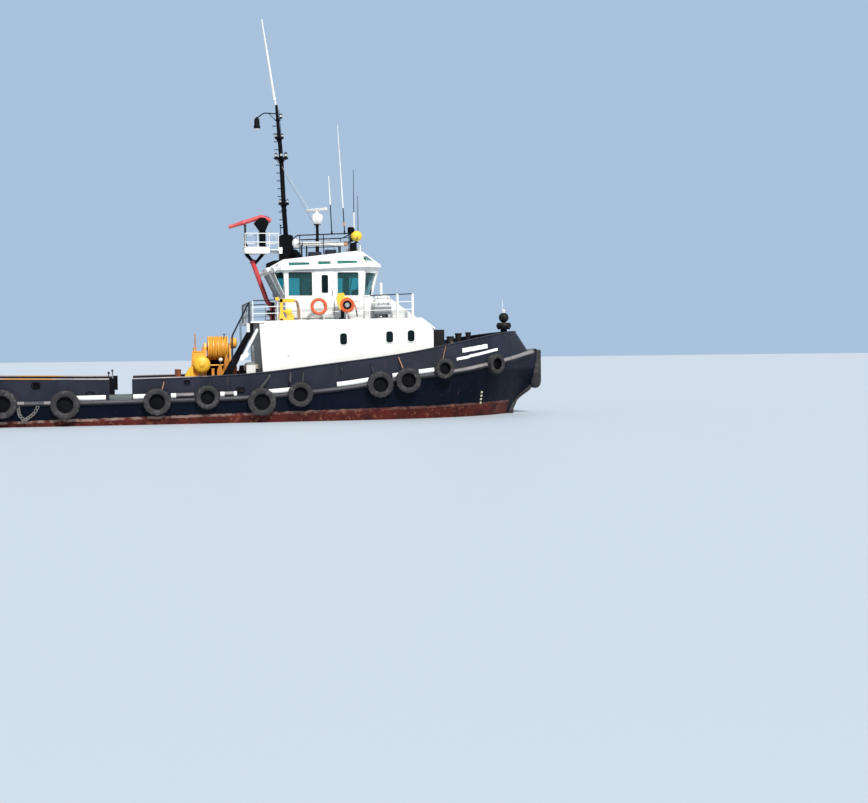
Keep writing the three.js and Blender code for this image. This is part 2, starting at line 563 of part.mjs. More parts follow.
// Fire monitor: platform on the raking fire main, turning head and barrel
const PLATFORM = { x0: -600, x1: 540, half: 520, z0: 7390, z1: 7690 };
const pivot = { x: 250, z: 8930 };
const platformPost = (x, y) => bar([x, y, PLATFORM.z1 - 20], [x, y, 8300], 28);
const postPlaces = [[-555, -495], [-555, 495], [0, -495], [0, 495], [515, -495], [515, 495]];
const platform = join(
  block(PLATFORM.x0, PLATFORM.x1, -PLATFORM.half, PLATFORM.half, PLATFORM.z0, PLATFORM.z1),
  postPlaces.map(([x, y]) => platformPost(x, y)),
  [7900, 8290].map((z) => pipe([[940, -495, z], [-555, -495, z], [-555, 495, z], [940, 495, z]], 30)),
  block(500, 985, -300, 300, PLATFORM.z0 + 60, PLATFORM.z0 + 130),
  bar([pivot.x, 0, PLATFORM.z1 - 10], [pivot.x, 0, 8380], 150, 150, 14),
  bar([-520, 0, PLATFORM.z1 - 10], [-520, 0, 8690], 40),
  block(-560, -480, -120, 120, 8670, 8698));
add("monitor_platform", platform, PAINT.white);

const main = onBoatDeck(join(
  bar([650, 0, 4200], [650, 0, 5050], 120, 120, 12), ball([640, 0, 5050], 122, 12),
  pipe([[640, 0, 5050], [420, 0, 5200], [-230, 0, 7130]], 100, 12),
  block(300, 800, -250, 250, 4200, 4420),
  bar([-200, 0, 7060], [-480, 0, PLATFORM.z0 - GAP], 70, 90),
  bar([-150, 0, 6900], [260, 0, PLATFORM.z0 - GAP], 60, 80)));
add("fire_main", cut(main, platform, shifted(platform, 0, 0, -GAP)), PAINT.signal);

const swivel = join(
  bar([pivot.x, 0, 8390], [pivot.x, 0, 8470], 150, 150, 14),
  [-1, 1].map((side) => slabXZ([[90, 8460], [410, 8460], [540, 8780], [380, 9030], [120, 9030], [-130, 8780]],
    Math.min(side * 120, side * 165), Math.max(side * 120, side * 165))));
add("monitor_swivel", swivel, PAINT.black);
const barrel = join(
  pipe([[-1240, 0, 8600], [230, 0, 9070], [640, 0, 8890]], 98, 10),
  bar([pivot.x, -112, pivot.z], [pivot.x, 112, pivot.z], 90, 90, 12),
  bar([pivot.x, 0, pivot.z], [pivot.x - 20, 0, 9060], 80));
add("monitor_barrel", barrel, PAINT.signal);

// Boat deck railing with its lifebuoy
const railTop = (x) => 5190 + 0.042 * (x + 470);
const RAIL_Y = -2960;
const RAIL_POSTS = [-470, 600, 1620, 2600, 3600, 4600, 5850, 6530];
const railAt = (x, share) => [x, RAIL_Y, boatDeckZ(x) + share * (railTop(x) - boatDeckZ(x))];
const RAIL_SHARES = [0.36, 0.68, 1]; // heights of the rails as shares of the top rail's
const ring = (x, y, z, radius, thick, sides) =>
  solid(new THREE.TorusGeometry(radius, thick, sides, 14).rotateX(Math.PI / 2).translate(x, y, z));
const lifebuoy = ring(2380, RAIL_Y - 70, 4930, 305, 60, 5);
const postRadius = (x) => (x > 5500 ? 42 : 24); // the two posts ahead of the raft are heavier
const sideRail = onBoatDeck(join(
  RAIL_POSTS.map((x) => bar([x, RAIL_Y, 4200], railAt(x, 1), postRadius(x), postRadius(x), 5)),
  RAIL_SHARES.map((share) => bar(railAt(RAIL_POSTS[0], share), railAt(RAIL_POSTS.at(-1), share), 21, 21, 5)),
  lifebuoy));
add("railing_starboard", sideRail, PAINT.white);
add("railing_port", mirrored(sideRail), PAINT.white);
const AFT_RAIL = { x: -500, y0: -2150, y1: 2890 }; // open at the head of the stair
const aftRailAt = (y, share) =>
  [AFT_RAIL.x, y, boatDeckZ(AFT_RAIL.x) + share * (railTop(AFT_RAIL.x) - boatDeckZ(AFT_RAIL.x))];
add("railing_aft", onBoatDeck(join(
  [AFT_RAIL.y0, -1000, 0, 1000, 2000, AFT_RAIL.y1].map((y) => bar([AFT_RAIL.x, y, 4200], aftRailAt(y, 1), 24)),
  RAIL_SHARES.map((share) => bar(aftRailAt(AFT_RAIL.y0, share), aftRailAt(AFT_RAIL.y1, share), 21)))),
PAINT.white);

// Stair from the boat deck to the aft deck, on the starboard side only
const STAIR = { top: [-430, 4180], foot: [-2120, 1100], y0: -2950, y1: -2280, treads: 10 };
const stairAt = (share) => [0, 1].map((k) => STAIR.top[k] + share * (STAIR.foot[k] - STAIR.top[k]));
const stringer = (y) => {
  const [x0, z0] = STAIR.top;
  const [x1, z1] = STAIR.foot;
  return slabXZ([
    [x0, z0 + 90], [x0, z0 - 300], [x1 + 180, z1 - 90], [x1 - 80, z1 - 90], [x1 - 80, z1 + 150]], y, y + 30);
};
const treads = Array.from({ length: STAIR.treads }, (_, k) => {
  const [x, z] = stairAt((k + 1) / (STAIR.treads + 1));
  return block(x - 80, x + 120, STAIR.y0 + 10, STAIR.y1 - 10, z - 20, z + 20);
});
const handrail = (y) => pipe([[-600, y, 3900], [-600, y, 5150], [-2060, y, 2200], [-2060, y, 1150]], 18, 5);
const stair = onDeck(join(stringer(STAIR.y0), stringer(STAIR.y1 - 30), treads,
  handrail(STAIR.y0 + 15), handrail(STAIR.y1 - 15)));
const stairHead = join(boatDeck, sideRail);
const stairFree = cut(stair, stairHead, shifted(stairHead, -GAP, 0, 0));
add("stair_starboard", stairFree, PAINT.black);

// Life rafts in cradles beside the trunk
const RAFT = { x: 5240, y: -2530, z: 5090, r: 355, half: 400 };
const raftProfile = [
  [0, -RAFT.half], [200, -RAFT.half + 30], [RAFT.r, -RAFT.half + 170],
  [RAFT.r, RAFT.half - 170], [200, RAFT.half - 30], [0, RAFT.half]];
const cradlePlate = (d) => block(RAFT.x + d - 30, RAFT.x + d + 30, RAFT.y - 260, RAFT.y + 260, 4200, 4900);
const raft = onBoatDeck(join(
  turnedX(raftProfile, [RAFT.x, RAFT.y, RAFT.z], 16),
  [-230, 230].map(cradlePlate),
  block(RAFT.x - 300, RAFT.x + 300, RAFT.y - 280, RAFT.y - 220, 4200, 4480)));
add("liferaft_starboard", raft, PAINT.white);
add("liferaft_port", mirrored(raft), PAINT.white);

// Hose stations on the starboard side of the boat deck, standing just outside the rail
const STATION_Y = [-3058, -2988]; // outer and inner face
const stationBlock = (x0, x1, z0, z1) => block(x0, x1, ...STATION_Y, z0, z1);
const hoseBall = cut(ball([1060, STATION_Y[1] - 30, 4700], 150, 12), block(800, 1300, STATION_Y[1], -2700, 4400, 5000));
add("hose_box_starboard", onBoatDeck(join(
  stationBlock(690, 820, 4200, 5270), stationBlock(690, 1330, 5110, 5270), stationBlock(690, 1290, 4200, 4420),
  stationBlock(820, 1180, 4690, 4790), hoseBall)), PAINT.yellow);
const REEL = { x: 3610, y: -3052, z: 4990 };
add("hose_reel_starboard", onBoatDeck(join(
  ring(REEL.x, REEL.y, REEL.z, 270, 62, 6),
  bar([REEL.x, REEL.y, REEL.z], [REEL.x, STATION_Y[1], REEL.z], 220, 220, 14),
  stationBlock(3330, 3490, 4200, 4800))), PAINT.yellow);

// Towing winch on the aft deck, its drum along the boat
const WINCH = { z: 3180, rib: 560, core: 480, shaft: 90, half: 420 };
const winchPlate = (x0, x1) => block(x0, x1, -WINCH.half, WINCH.half, 900, 3420);
const drumDisc = (x0, x1, radius, sides = 16) =>
  bar([x0, 0, WINCH.z], [x1, 0, WINCH.z], radius, radius, sides);
add("winch_frame", onDeck(join(
  block(-3050, -1150, -850, 850, 1000, 1320),
  winchPlate(-2450, -2345),
  winchPlate(-1340, -1260),
  bar([-2570, -1000, 2460], [-2570, -540, 2460], 380, 380, 16),
  block(-2960, -2440, -650, 650, 1250, 3240),
  bar([-1270, -150, 3400], [-1010, -150, 3400], 215, 200, 14),
  bar([-2840, -500, 3200], [-2840, -500, 3830], 28),
  ball([-2840, -500, 3830], 45, 8))), PAINT.yellow);
const RIBS = [-2280, -2065, -1855, -1645, -1435];
add("winch_drum", join(
  drumDisc(-2280, -1395, WINCH.core),
  RIBS.map((x) => drumDisc(x, x + 45, WINCH.rib)),
  drumDisc(-2338, -1348, WINCH.shaft, 12)), PAINT.yellow);

// Bitts, locker and vent
const towPost = (y) => bar([-3600, y, 900], [-3600, y, 2260], 130, 130, 12);
add("tow_bitt", onDeck(join(
  [-450, 450].map(towPost),
  bar([-3600, -650, 1950], [-3600, 650, 1950], 90, 90, 10),
  block(-3800, -3400, -650, 650, 1000, 1180))), PAINT.orange);
add("fore_locker", onDeck(block(8020, 8500, -480, 480, 1900, 3930)), PAINT.black);
const BOLLARDS = [[8880, 3630, 160], [9270, 3770, 150], [9740, 3810, 125]]; // x, top z, radius
const bollard = ([x, top, r]) =>
  join(bar([x, 0, 2200], [x, 0, top], r, r, 12), bar([x, 0, top - 60], [x, 0, top], r + 25, r + 25, 12));
const bollardBed = block(8650, 9950, -230, 230, 2000, 2460);
add("fore_bollards", onDeck(join(bollardBed, BOLLARDS.map(bollard))), PAINT.black);
add("bow_bitt", onDeck(join(
  bar([11460, 0, 2500], [11460, 0, 4300], 160, 160, 12),
  bar([11460, 0, 3930], [11460, 0, 4100], 290, 355, 14),
  bar([11460, 0, 4090], [11460, 0, 4240], 355, 300, 14),
  ball([11460, 0, 4490], 225, 12))), PAINT.black);
const ventProfile = [[0, 900], [150, 900], [150, 2150], [330, 2200], [330, 2420], [150, 2560], [0, 2560]];
add("vent_starboard", onDeck(turnedZ(ventProfile, [-480, -1850, 0], 16)), PAINT.white);

// Propellers in their nozzles, and the rudders
const nozzleProfile = [
  [NOZZLE.inner + 60, -NOZZLE.length / 2], [NOZZLE.outer - 40, -NOZZLE.length / 2],
  [NOZZLE.outer, NOZZLE.length / 4], [NOZZLE.outer - 60, NOZZLE.length / 2],
  [NOZZLE.inner, NOZZLE.length / 6], [NOZZLE.inner + 60, -NOZZLE.length / 2]];
const nozzleRing = turnedX(nozzleProfile, [NOZZLE.x, -SHAFT.y, SHAFT.z], 24);
const headboxBlock = block(
  NOZZLE.x - 250, NOZZLE.x + 300, -SHAFT.y - 120, -SHAFT.y + 120, SHAFT.z + 950, 0);
const headbox = cut(headboxBlock, hull, shifted(hull, 0, 0, -GAP));
const nozzle = join(nozzleRing, headbox);
add("nozzle_starboard", nozzle, PAINT.hull);
add("nozzle_port", mirrored(nozzle), PAINT.hull);

function propeller() {
  const blades = Array.from({ length: PROPELLER.blades }, (_, k) => {
    const blade = new THREE.BoxGeometry(70, PROPELLER.width, PROPELLER.tip - 60)
      .translate(0, 0, (PROPELLER.tip + 60) / 2)
      .rotateZ(THREE.MathUtils.degToRad(35))
      .rotateX((k * 2 * Math.PI) / PROPELLER.blades);
    return solid(blade.translate(NOZZLE.x, -SHAFT.y, SHAFT.z));
  });
  const along = (x) => [x, -SHAFT.y, SHAFT.z];
  const disc = bar(along(NOZZLE.x - 240), along(NOZZLE.x + 240), PROPELLER.tip, PROPELLER.tip, 28);
  const hub = bar(along(STERN_TUBE_END - DOOR_CLEAR - 4), along(NOZZLE.x - 350), PROPELLER.hub, 110, 14);
  return join(hub, join(blades).intersect(disc));
}
add("propeller_starboard", propeller(), PAINT.bronze);
add("propeller_port", mirrored(propeller()), PAINT.bronze);

const foil = [[RUDDER.fore, 0], [RUDDER.fore - 120, RUDDER.t / 2], [0, RUDDER.t / 2], [-RUDDER.aft, 15],
  [-RUDDER.aft, -15], [0, -RUDDER.t / 2], [RUDDER.fore - 120, -RUDDER.t / 2]];
const foilAt = (z) => foil.map(([x, y]) => [RUDDER.stockX + x, -SHAFT.y + y, z]);
const stockAt = (z) => [RUDDER.stockX, -SHAFT.y, z];
const stock = bar(stockAt(RUDDER.top - 20), stockAt(RUDDER.stockTop), RUDDER.stockR, RUDDER.stockR, 12);
const rudder = join(loft([foilAt(RUDDER.bottom), foilAt(RUDDER.top)]), stock);
add("rudder_starboard", rudder, PAINT.hull);
add("rudder_port", mirrored(rudder), PAINT.hull);

export default group;
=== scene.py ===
# %% [markdown]
# A harbour tug, dressed for a studio portrait.
# The construction model of the tug is already finished: every plate, tyre, joint and hinge stands at its
# real place, in metres, with +X to the bow, +Y to port and +Z up, and the waterline at height zero.
# This notebook gives her what a construction model lacks: worn paint, tread, glass, rope, rust and welds.
# Each step says what a piece is on the real boat, how it could be made, and why it is made this way.

# %% Load the construction model and keep its size
from math import atan, copysign, cos, exp, pi, radians, sin

import bmesh
import bpy
import numpy as np
from mathutils import Matrix, Vector


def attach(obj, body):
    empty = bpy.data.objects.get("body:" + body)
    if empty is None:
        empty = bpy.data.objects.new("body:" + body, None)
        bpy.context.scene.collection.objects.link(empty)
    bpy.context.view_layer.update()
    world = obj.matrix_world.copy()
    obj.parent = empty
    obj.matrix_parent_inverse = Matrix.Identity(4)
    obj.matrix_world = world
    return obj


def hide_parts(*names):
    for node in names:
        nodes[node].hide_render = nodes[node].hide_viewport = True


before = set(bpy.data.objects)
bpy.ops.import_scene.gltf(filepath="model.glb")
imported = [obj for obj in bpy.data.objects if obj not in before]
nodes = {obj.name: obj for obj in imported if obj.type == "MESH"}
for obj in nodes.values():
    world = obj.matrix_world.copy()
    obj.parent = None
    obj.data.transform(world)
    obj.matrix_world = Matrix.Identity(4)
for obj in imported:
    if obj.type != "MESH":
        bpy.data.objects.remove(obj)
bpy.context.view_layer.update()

# %% [markdown]
# The camera.
# A portrait starts with where the viewer stands, because that decides which side must be finest.
# The tug was seen from her starboard side, a little ahead of the beam, from about sixty metres off and
# three metres above the water. The horizon leans by about half a degree, as it does in a hand-held picture.
# One could aim the camera at an empty, but a matrix built from three directions shows plainly what it does.

# %% Camera
VIEW_TURN = radians(12)  # how far ahead of the beam the viewer stands
VIEW_DIP = radians(2.14)
VIEW_ROLL = radians(0.6)
VIEW_PLACE = Vector((-5.245, -62.69, 3.0))
FOCAL_PIXELS = 1380.0
PICTURE_WIDTH = 868.0
SENSOR_MM = 36.0
VIEW_END = 2000.0  # metres, beyond the floor's edge


def make_camera():
    """A camera whose right, up and back directions are worked out from turn, dip and roll."""
    ahead = Vector((sin(VIEW_TURN) * cos(VIEW_DIP), cos(VIEW_TURN) * cos(VIEW_DIP), -sin(VIEW_DIP)))
    level_right = Vector((cos(VIEW_TURN), -sin(VIEW_TURN), 0.0))
    level_up = level_right.cross(ahead)
    right = level_right * cos(VIEW_ROLL) - level_up * sin(VIEW_ROLL)
    up = level_right * sin(VIEW_ROLL) + level_up * cos(VIEW_ROLL)
    data = bpy.data.cameras.new("camera")
    data.sensor_width = SENSOR_MM
    data.lens = FOCAL_PIXELS / PICTURE_WIDTH * SENSOR_MM
    data.clip_end = VIEW_END
    camera = bpy.data.objects.new("camera", data)
    bpy.context.scene.collection.objects.link(camera)
    camera.matrix_world = Matrix.Translation(VIEW_PLACE) @ Matrix((right, up, -ahead)).transposed().to_4x4()
    bpy.context.scene.camera = camera
    return camera


camera = make_camera()
print("lens", round(camera.data.lens, 1), "mm")

# %% [markdown]
# Floor and light.
# She floats, so the studio floor lies at her waterline and hides what is under water, as the sea would.
# A sun with a wide disc gives one clear but soft-edged shadow, which models the plates better than a
# ring of lamps would. It stands high to starboard, a little ahead, so that the after walls fall into shade.
# The sky that lights her is paler and weaker than the one that is seen, so that her dark paint stays dark.

# %% Floor and light
FLOOR_SIZE, FLOOR_ROUGHNESS = 900.0, 0.55
FLOOR_COLOUR = (0.5, 0.56, 0.62, 1.0)
SUN_STRENGTH, SUN_WIDTH = 3.9, radians(9)
SUN_COLOUR = (1.0, 0.965, 0.91)
SUN_TOWARDS = Vector((0.15, -0.9, 0.85))  # from the boat to the sun
SKY_LIGHT = (0.49, 0.55, 0.63, 1.0)  # what falls on the boat
SKY_SEEN = (0.4, 0.54, 0.72, 1.0)  # what the camera sees behind her, also through her windows


def make_stage():
    """A pale floor at the waterline, a pale sky all round and one soft sun."""
    bpy.ops.mesh.primitive_plane_add(size=FLOOR_SIZE, location=(0.0, 0.0, 0.0))
    floor = bpy.context.object
    floor.name = "studio_floor"
    material = bpy.data.materials.new("floor")
    material.use_nodes = True
    shader = material.node_tree.nodes["Principled BSDF"]
    shader.inputs["Base Color"].default_value = FLOOR_COLOUR
    shader.inputs["Roughness"].default_value = FLOOR_ROUGHNESS
    floor.data.materials.append(material)
    sun_data = bpy.data.lights.new("sun", "SUN")
    sun_data.energy = SUN_STRENGTH
    sun_data.angle = SUN_WIDTH
    sun_data.color = SUN_COLOUR
    sun = bpy.data.objects.new("sun", sun_data)
    sun.rotation_mode = "QUATERNION"
    sun.rotation_quaternion = SUN_TOWARDS.to_track_quat("Z", "Y")
    bpy.context.scene.collection.objects.link(sun)
    world = bpy.data.worlds.new("sky")
    world.use_nodes = True
    tree = world.node_tree
    sky = tree.nodes["Background"]
    seen = tree.nodes.new("ShaderNodeLightPath")
    direct = tree.nodes.new("ShaderNodeMath")
    direct.operation = "MAXIMUM"
    tree.links.new(seen.outputs["Is Camera Ray"], direct.inputs[0])
    tree.links.new(seen.outputs["Is Transmission Ray"], direct.inputs[1])
    tone = tree.nodes.new("ShaderNodeMix")
    tone.data_type = "RGBA"
    tree.links.new(direct.outputs[0], tone.inputs["Factor"])
    tone.inputs[6].default_value = SKY_LIGHT
    tone.inputs[7].default_value = SKY_SEEN
    tree.links.new(tone.outputs[2], sky.inputs["Color"])
    bpy.context.scene.world = world
    bpy.context.scene.view_settings.view_transform = "Standard"


make_stage()
print("floor:", FLOOR_SIZE, "m wide")

# %% [markdown]
# Shapes as plain lists.
# Blender can make tubes, lathes and boxes with its operators, one object at a time. A boat has thousands
# of small parts, so it is quicker to work out their corners and faces here and to join them into one
# mesh per piece. Every shape below is a pair: a list of points and a list of faces.

# %% Shape helpers: boxes, prisms and bars
def box(x0, x1, y0, y1, z0, z1):
    """An upright box."""
    points = [(x, y, z) for x in (x0, x1) for y in sorted((y0, y1)) for z in (z0, z1)]
    faces = [(0, 1, 3, 2), (4, 6, 7, 5), (0, 4, 5, 1), (2, 3, 7, 6), (0, 2, 6, 4), (1, 5, 7, 3)]
    return points, faces


def loft(rings, closed=True, capped=True):
    """A skin through rings of equally many points, as quads, with flat ends."""
    count = len(rings[0])
    points = [tuple(p) for ring in rings for p in ring]
    faces = []
    for r in range(len(rings) - 1):
        for i in range(count if closed else count - 1):
            a, b = r * count + i, r * count + (i + 1) % count
            faces.append((a, b, b + count, a + count))
    if capped and closed:
        faces.append(tuple(reversed(range(count))))
        faces.append(tuple(range((len(rings) - 1) * count, len(rings) * count)))
    return points, faces


def across(direction):
    """Two directions at right angles to a given one and to each other."""
    ahead = Vector(direction).normalized()
    helper = Vector((0.0, 0.0, 1.0)) if abs(ahead.z) < 0.9 else Vector((1.0, 0.0, 0.0))
    side = ahead.cross(helper).normalized()
    return side, side.cross(ahead).normalized()


def turns(count, first=0.0):
    """Equally spaced angles round a circle."""
    return [first + 2 * pi * k / count for k in range(count)]


def circle(centre, side, up, radius, sides):
    """Points round a centre in the plane of two directions."""
    return [Vector(centre) + side * (radius * cos(t)) + up * (radius * sin(t)) for t in turns(sides)]


def bar(start, end, radius, sides=12, end_radius=None):
    """A round bar, straight or tapered."""
    side, up = across(Vector(end) - Vector(start))
    tip = radius if end_radius is None else end_radius
    return loft([circle(start, side, up, radius, sides), circle(end, side, up, tip, sides)])


# a point from a pair and its place along an axis; the pair holds the two other coordinates, in order
POINT = {"x": lambda a, b, c: (c, a, b), "y": lambda a, b, c: (a, c, b), "z": lambda a, b, c: (a, b, c)}


def prism(outline, low, high, axis="y"):
    """An outline of pairs carried along an axis."""
    return loft([[POINT[axis](a, b, c) for a, b in outline] for c in (low, high)])


def studs(axis, low, high, middle, reach, thick, angles):
    """Short bars along an axis in a ring round a middle, as bolts or as the cage of a lamp."""
    ring = [(middle[0] + reach * cos(t), middle[1] + reach * sin(t)) for t in angles]
    return [bar(POINT[axis](a, b, low), POINT[axis](a, b, high), thick, 6) for a, b in ring]


print("a box has", len(box(0, 1, 0, 1, 0, 1)[1]), "faces")

# %% Shape helpers: bent tubes, lathes, rings and balls
def smooth_path(points, step=0.1, closed=False):
    """Points on a smooth curve through the given ones, each about a step apart."""
    given = [np.array(p, float) for p in points]
    ends = (given[-1], given[:2]) if closed else (2 * given[0] - given[1], [2 * given[-1] - given[-2]])
    line = [ends[0], *given, *ends[1]]
    out = []
    for a, b, c, d in zip(line, line[1:], line[2:], line[3:]):
        count = max(1, round(float(np.linalg.norm((c - b)[:3])) / step))
        for k in range(count):
            t = k / count
            out.append(0.5 * (2 * b + (c - a) * t + (2 * a - 5 * b + 4 * c - d) * t * t
                              + (3 * b - a - 3 * c + d) * t ** 3))
    return out if closed else [*out, given[-1]]


def tube(points, radius, sides=10, closed=False):
    """A round tube along a line; radius is one number or one for each point."""
    line = [Vector(p[:3]) for p in points]
    radii = radius if isinstance(radius, (list, tuple)) else [radius] * len(line)
    rings, side = [], None
    for i, point in enumerate(line):
        before = line[i - 1] if i or closed else point
        after = line[(i + 1) % len(line)] if i + 1 < len(line) or closed else point
        ahead = (after - before).normalized()
        side = across(ahead)[0] if side is None else (side - ahead * side.dot(ahead)).normalized()
        rings.append(circle(point, side, ahead.cross(side), radii[i], sides))
    if closed:
        rings.append(rings[0])
    return loft(rings, capped=not closed)


def bend(points, radius=0.08, steps=4):
    """A broken line with its corners rounded, for a rail or pipe that was bent cold."""
    line = [Vector(p) for p in points]
    out = [line[0]]
    for a, b, c in zip(line, line[1:], line[2:]):
        reach = min(radius, (a - b).length / 2, (c - b).length / 2)
        start, end = b + (a - b).normalized() * reach, b + (c - b).normalized() * reach
        out += [start.lerp(b, t).lerp(b.lerp(end, t), t) for t in (k / steps for k in range(steps + 1))]
    return [*out, line[-1]]


def lathe(profile, centre, axis=(0, 0, 1), sides=28):
    """A profile of (radius, along) pairs turned about an axis, with flat ends where both ends are off the axis."""
    side, up = across(axis)
    along = Vector(axis).normalized()
    if profile[0][0] and profile[-1][0]:
        profile = [(0.0, profile[0][1]), *profile, (0.0, profile[-1][1])]
    return loft([circle(Vector(centre) + along * h, side, up, max(r, 1e-4), sides) for r, h in profile])


def hoop(centre, radius, thick, axis=(0, 0, 1), sides=32, thick_sides=10):
    """A round ring of round section."""
    side, up = across(axis)
    return tube(circle(centre, side, up, radius, sides), thick, thick_sides, closed=True)


def ball(centre, radius, sides=20, squash=1.0):
    """A ball, or a flattened one, with its poles up and down."""
    steps = [pi * k / (sides // 2) for k in range(sides // 2 + 1)]
    return lathe([(radius * sin(t), -radius * squash * cos(t)) for t in steps], centre, sides=sides)


print("a hoop has", len(hoop((0, 0, 0), 1, 0.1)[1]), "faces")

# %% Shape helpers: flat rounded outlines, frames and planes
def round_rect(a0, a1, b0, b1, radius, steps=5):
    """A rectangle's outline with round corners, as pairs."""
    corners = ((a1 - radius, b0 + radius, -90), (a1 - radius, b1 - radius, 0),
               (a0 + radius, b1 - radius, 90), (a0 + radius, b0 + radius, 180))
    return [(a + radius * cos(radians(t + 90 * k / steps)), b + radius * sin(radians(t + 90 * k / steps)))
            for a, b, t in corners for k in range(steps + 1)]


def flat_frame(a0, a1, b0, b1, radius, width, depth, sink=0.0):
    """A flat ring round a rounded opening, in its own plane, from -sink to depth."""
    inner = round_rect(a0, a1, b0, b1, radius)
    outer = round_rect(a0 - width, a1 + width, b0 - width, b1 + width, radius + width)
    ease = min(0.006, depth / 3)
    rings = [[(a, b, -sink) for a, b in outer], [(a, b, depth - ease) for a, b in outer],
             [(a, b, depth) for a, b in round_rect(a0 - width + ease, a1 + width - ease, b0 - width + ease,
                                                   b1 + width - ease, radius + width - ease)],
             [(a, b, depth) for a, b in inner], [(a, b, -sink) for a, b in inner]]
    rings.append(rings[0])
    return loft(rings, capped=False)


def plane(origin, along, up):
    """The matrix of a plane whose first axis runs along, second up, and third out of the wall."""
    u = Vector(along).normalized()
    v = (Vector(up) - u * u.dot(Vector(up))).normalized()
    n = u.cross(v)
    return Matrix.Translation(origin) @ Matrix((u, v, n)).transposed().to_4x4()


print("frame faces:", len(flat_frame(0, 1, 0, 1, 0.1, 0.05, 0.02)[1]))

# %% Shape helpers: moving, mirroring and making a piece of the boat
def placed(shape, matrix):
    """A shape moved by a matrix."""
    return [tuple(matrix @ Vector(p)) for p in shape[0]], shape[1]


def shifted(shape, x=0.0, y=0.0, z=0.0):
    """A shape moved in a straight line."""
    return [(p[0] + x, p[1] + y, p[2] + z) for p in shape[0]], shape[1]


def turned(shape, degrees, axis, centre=(0, 0, 0)):
    """A shape turned about an axis through a centre."""
    there = Matrix.Translation(centre)
    return placed(shape, there @ Matrix.Rotation(radians(degrees), 4, Vector(axis)) @ there.inverted())


SIDES = ((-1, "starboard"), (1, "port"))  # the sign of y and the word for it


def ported(shape):
    """The same shape on the other side of the boat, with its faces still pointing out."""
    return [(p[0], -p[1], p[2]) for p in shape[0]], [tuple(reversed(face)) for face in shape[1]]


def handed(shape, side):
    """A shape whose faces point out on the port side, put right for either side."""
    return shape if side > 0 else (shape[0], [tuple(reversed(face)) for face in shape[1]])


def mirrored(outline):
    """An outline of (x, y) pairs with its mirror image added, back to the start."""
    return [*outline, *((x, -y) for x, y in reversed(outline))]


def face_outwards(mesh):
    """Turns every face of a mesh outwards, part by part."""
    work = bmesh.new()
    work.from_mesh(mesh)
    bmesh.ops.recalc_face_normals(work, faces=work.faces)
    work.to_mesh(mesh)
    work.free()


SMOOTH_UP_TO = 38.0  # degrees between two faces; a larger turn is an edge
GROUND_FROM = 40.0  # degrees from which an edge is ground
# the slot of a piece by its first finish, where the call names no other
USUAL_SLOT = {"white": "white_paint", "house_white": "white_paint", "black": "black_paint",
              "rusty_black": "black_paint", "gelcoat": "white_plastic", "yellow": "yellow_paint"}


def piece(name, parts, body="boat", slot=None, replaces=(), bevel=0.0, smooth=SMOOTH_UP_TO):
    """Joins shapes into one mesh object. parts is {finish: [shapes]}; the finishes are materials."""
    points, faces, marks = [], [], []
    mesh = bpy.data.meshes.new(name)
    for index, (finish, shapes) in enumerate(parts.items()):
        mesh.materials.append(FINISHES[finish])
        for shape_points, shape_faces in shapes:
            base = len(points)
            points += shape_points
            faces += [tuple(base + i for i in face) for face in shape_faces]
            marks += [index] * len(shape_faces)
    mesh.from_pydata([tuple(p) for p in points], [], faces)
    mesh.polygons.foreach_set("material_index", marks)
    face_outwards(mesh)
    mesh.polygons.foreach_set("use_smooth", [True] * len(faces))
    mesh.set_sharp_from_angle(angle=radians(smooth))
    made = bpy.data.objects.new(name, mesh)
    bpy.context.scene.collection.objects.link(made)
    if bevel:
        soften(made, bevel)
    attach(made, body)
    slot or USUAL_SLOT[next(iter(parts))]
    if replaces:
        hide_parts(*replaces)
    return made


def soften(thing, width, segments=2):
    """Rounds the sharp edges by a small width, so that they catch the light as a ground edge does."""
    modifier = thing.modifiers.new("edges", "BEVEL")
    modifier.width = width
    modifier.segments = segments
    modifier.limit_method = "ANGLE"
    modifier.angle_limit = radians(GROUND_FROM)
    modifier.harden_normals = True


print("mirrored outline:", mirrored([(0, -1), (2, -1)]))

# %% [markdown]
# Finishes.
# Paint on a working boat is never one colour. Salt and sun bleach it in clouds, rust weeps down from every
# edge, and the roller leaves a faint orange peel. An image could show that, but it would have to be wrapped
# round every piece. Procedural noise, read at each point's place on the boat, needs no wrapping and keeps
# the same grain on every piece. One small node-building helper keeps each finish short.

# %% A helper that builds shader nodes
FINISHES = {}


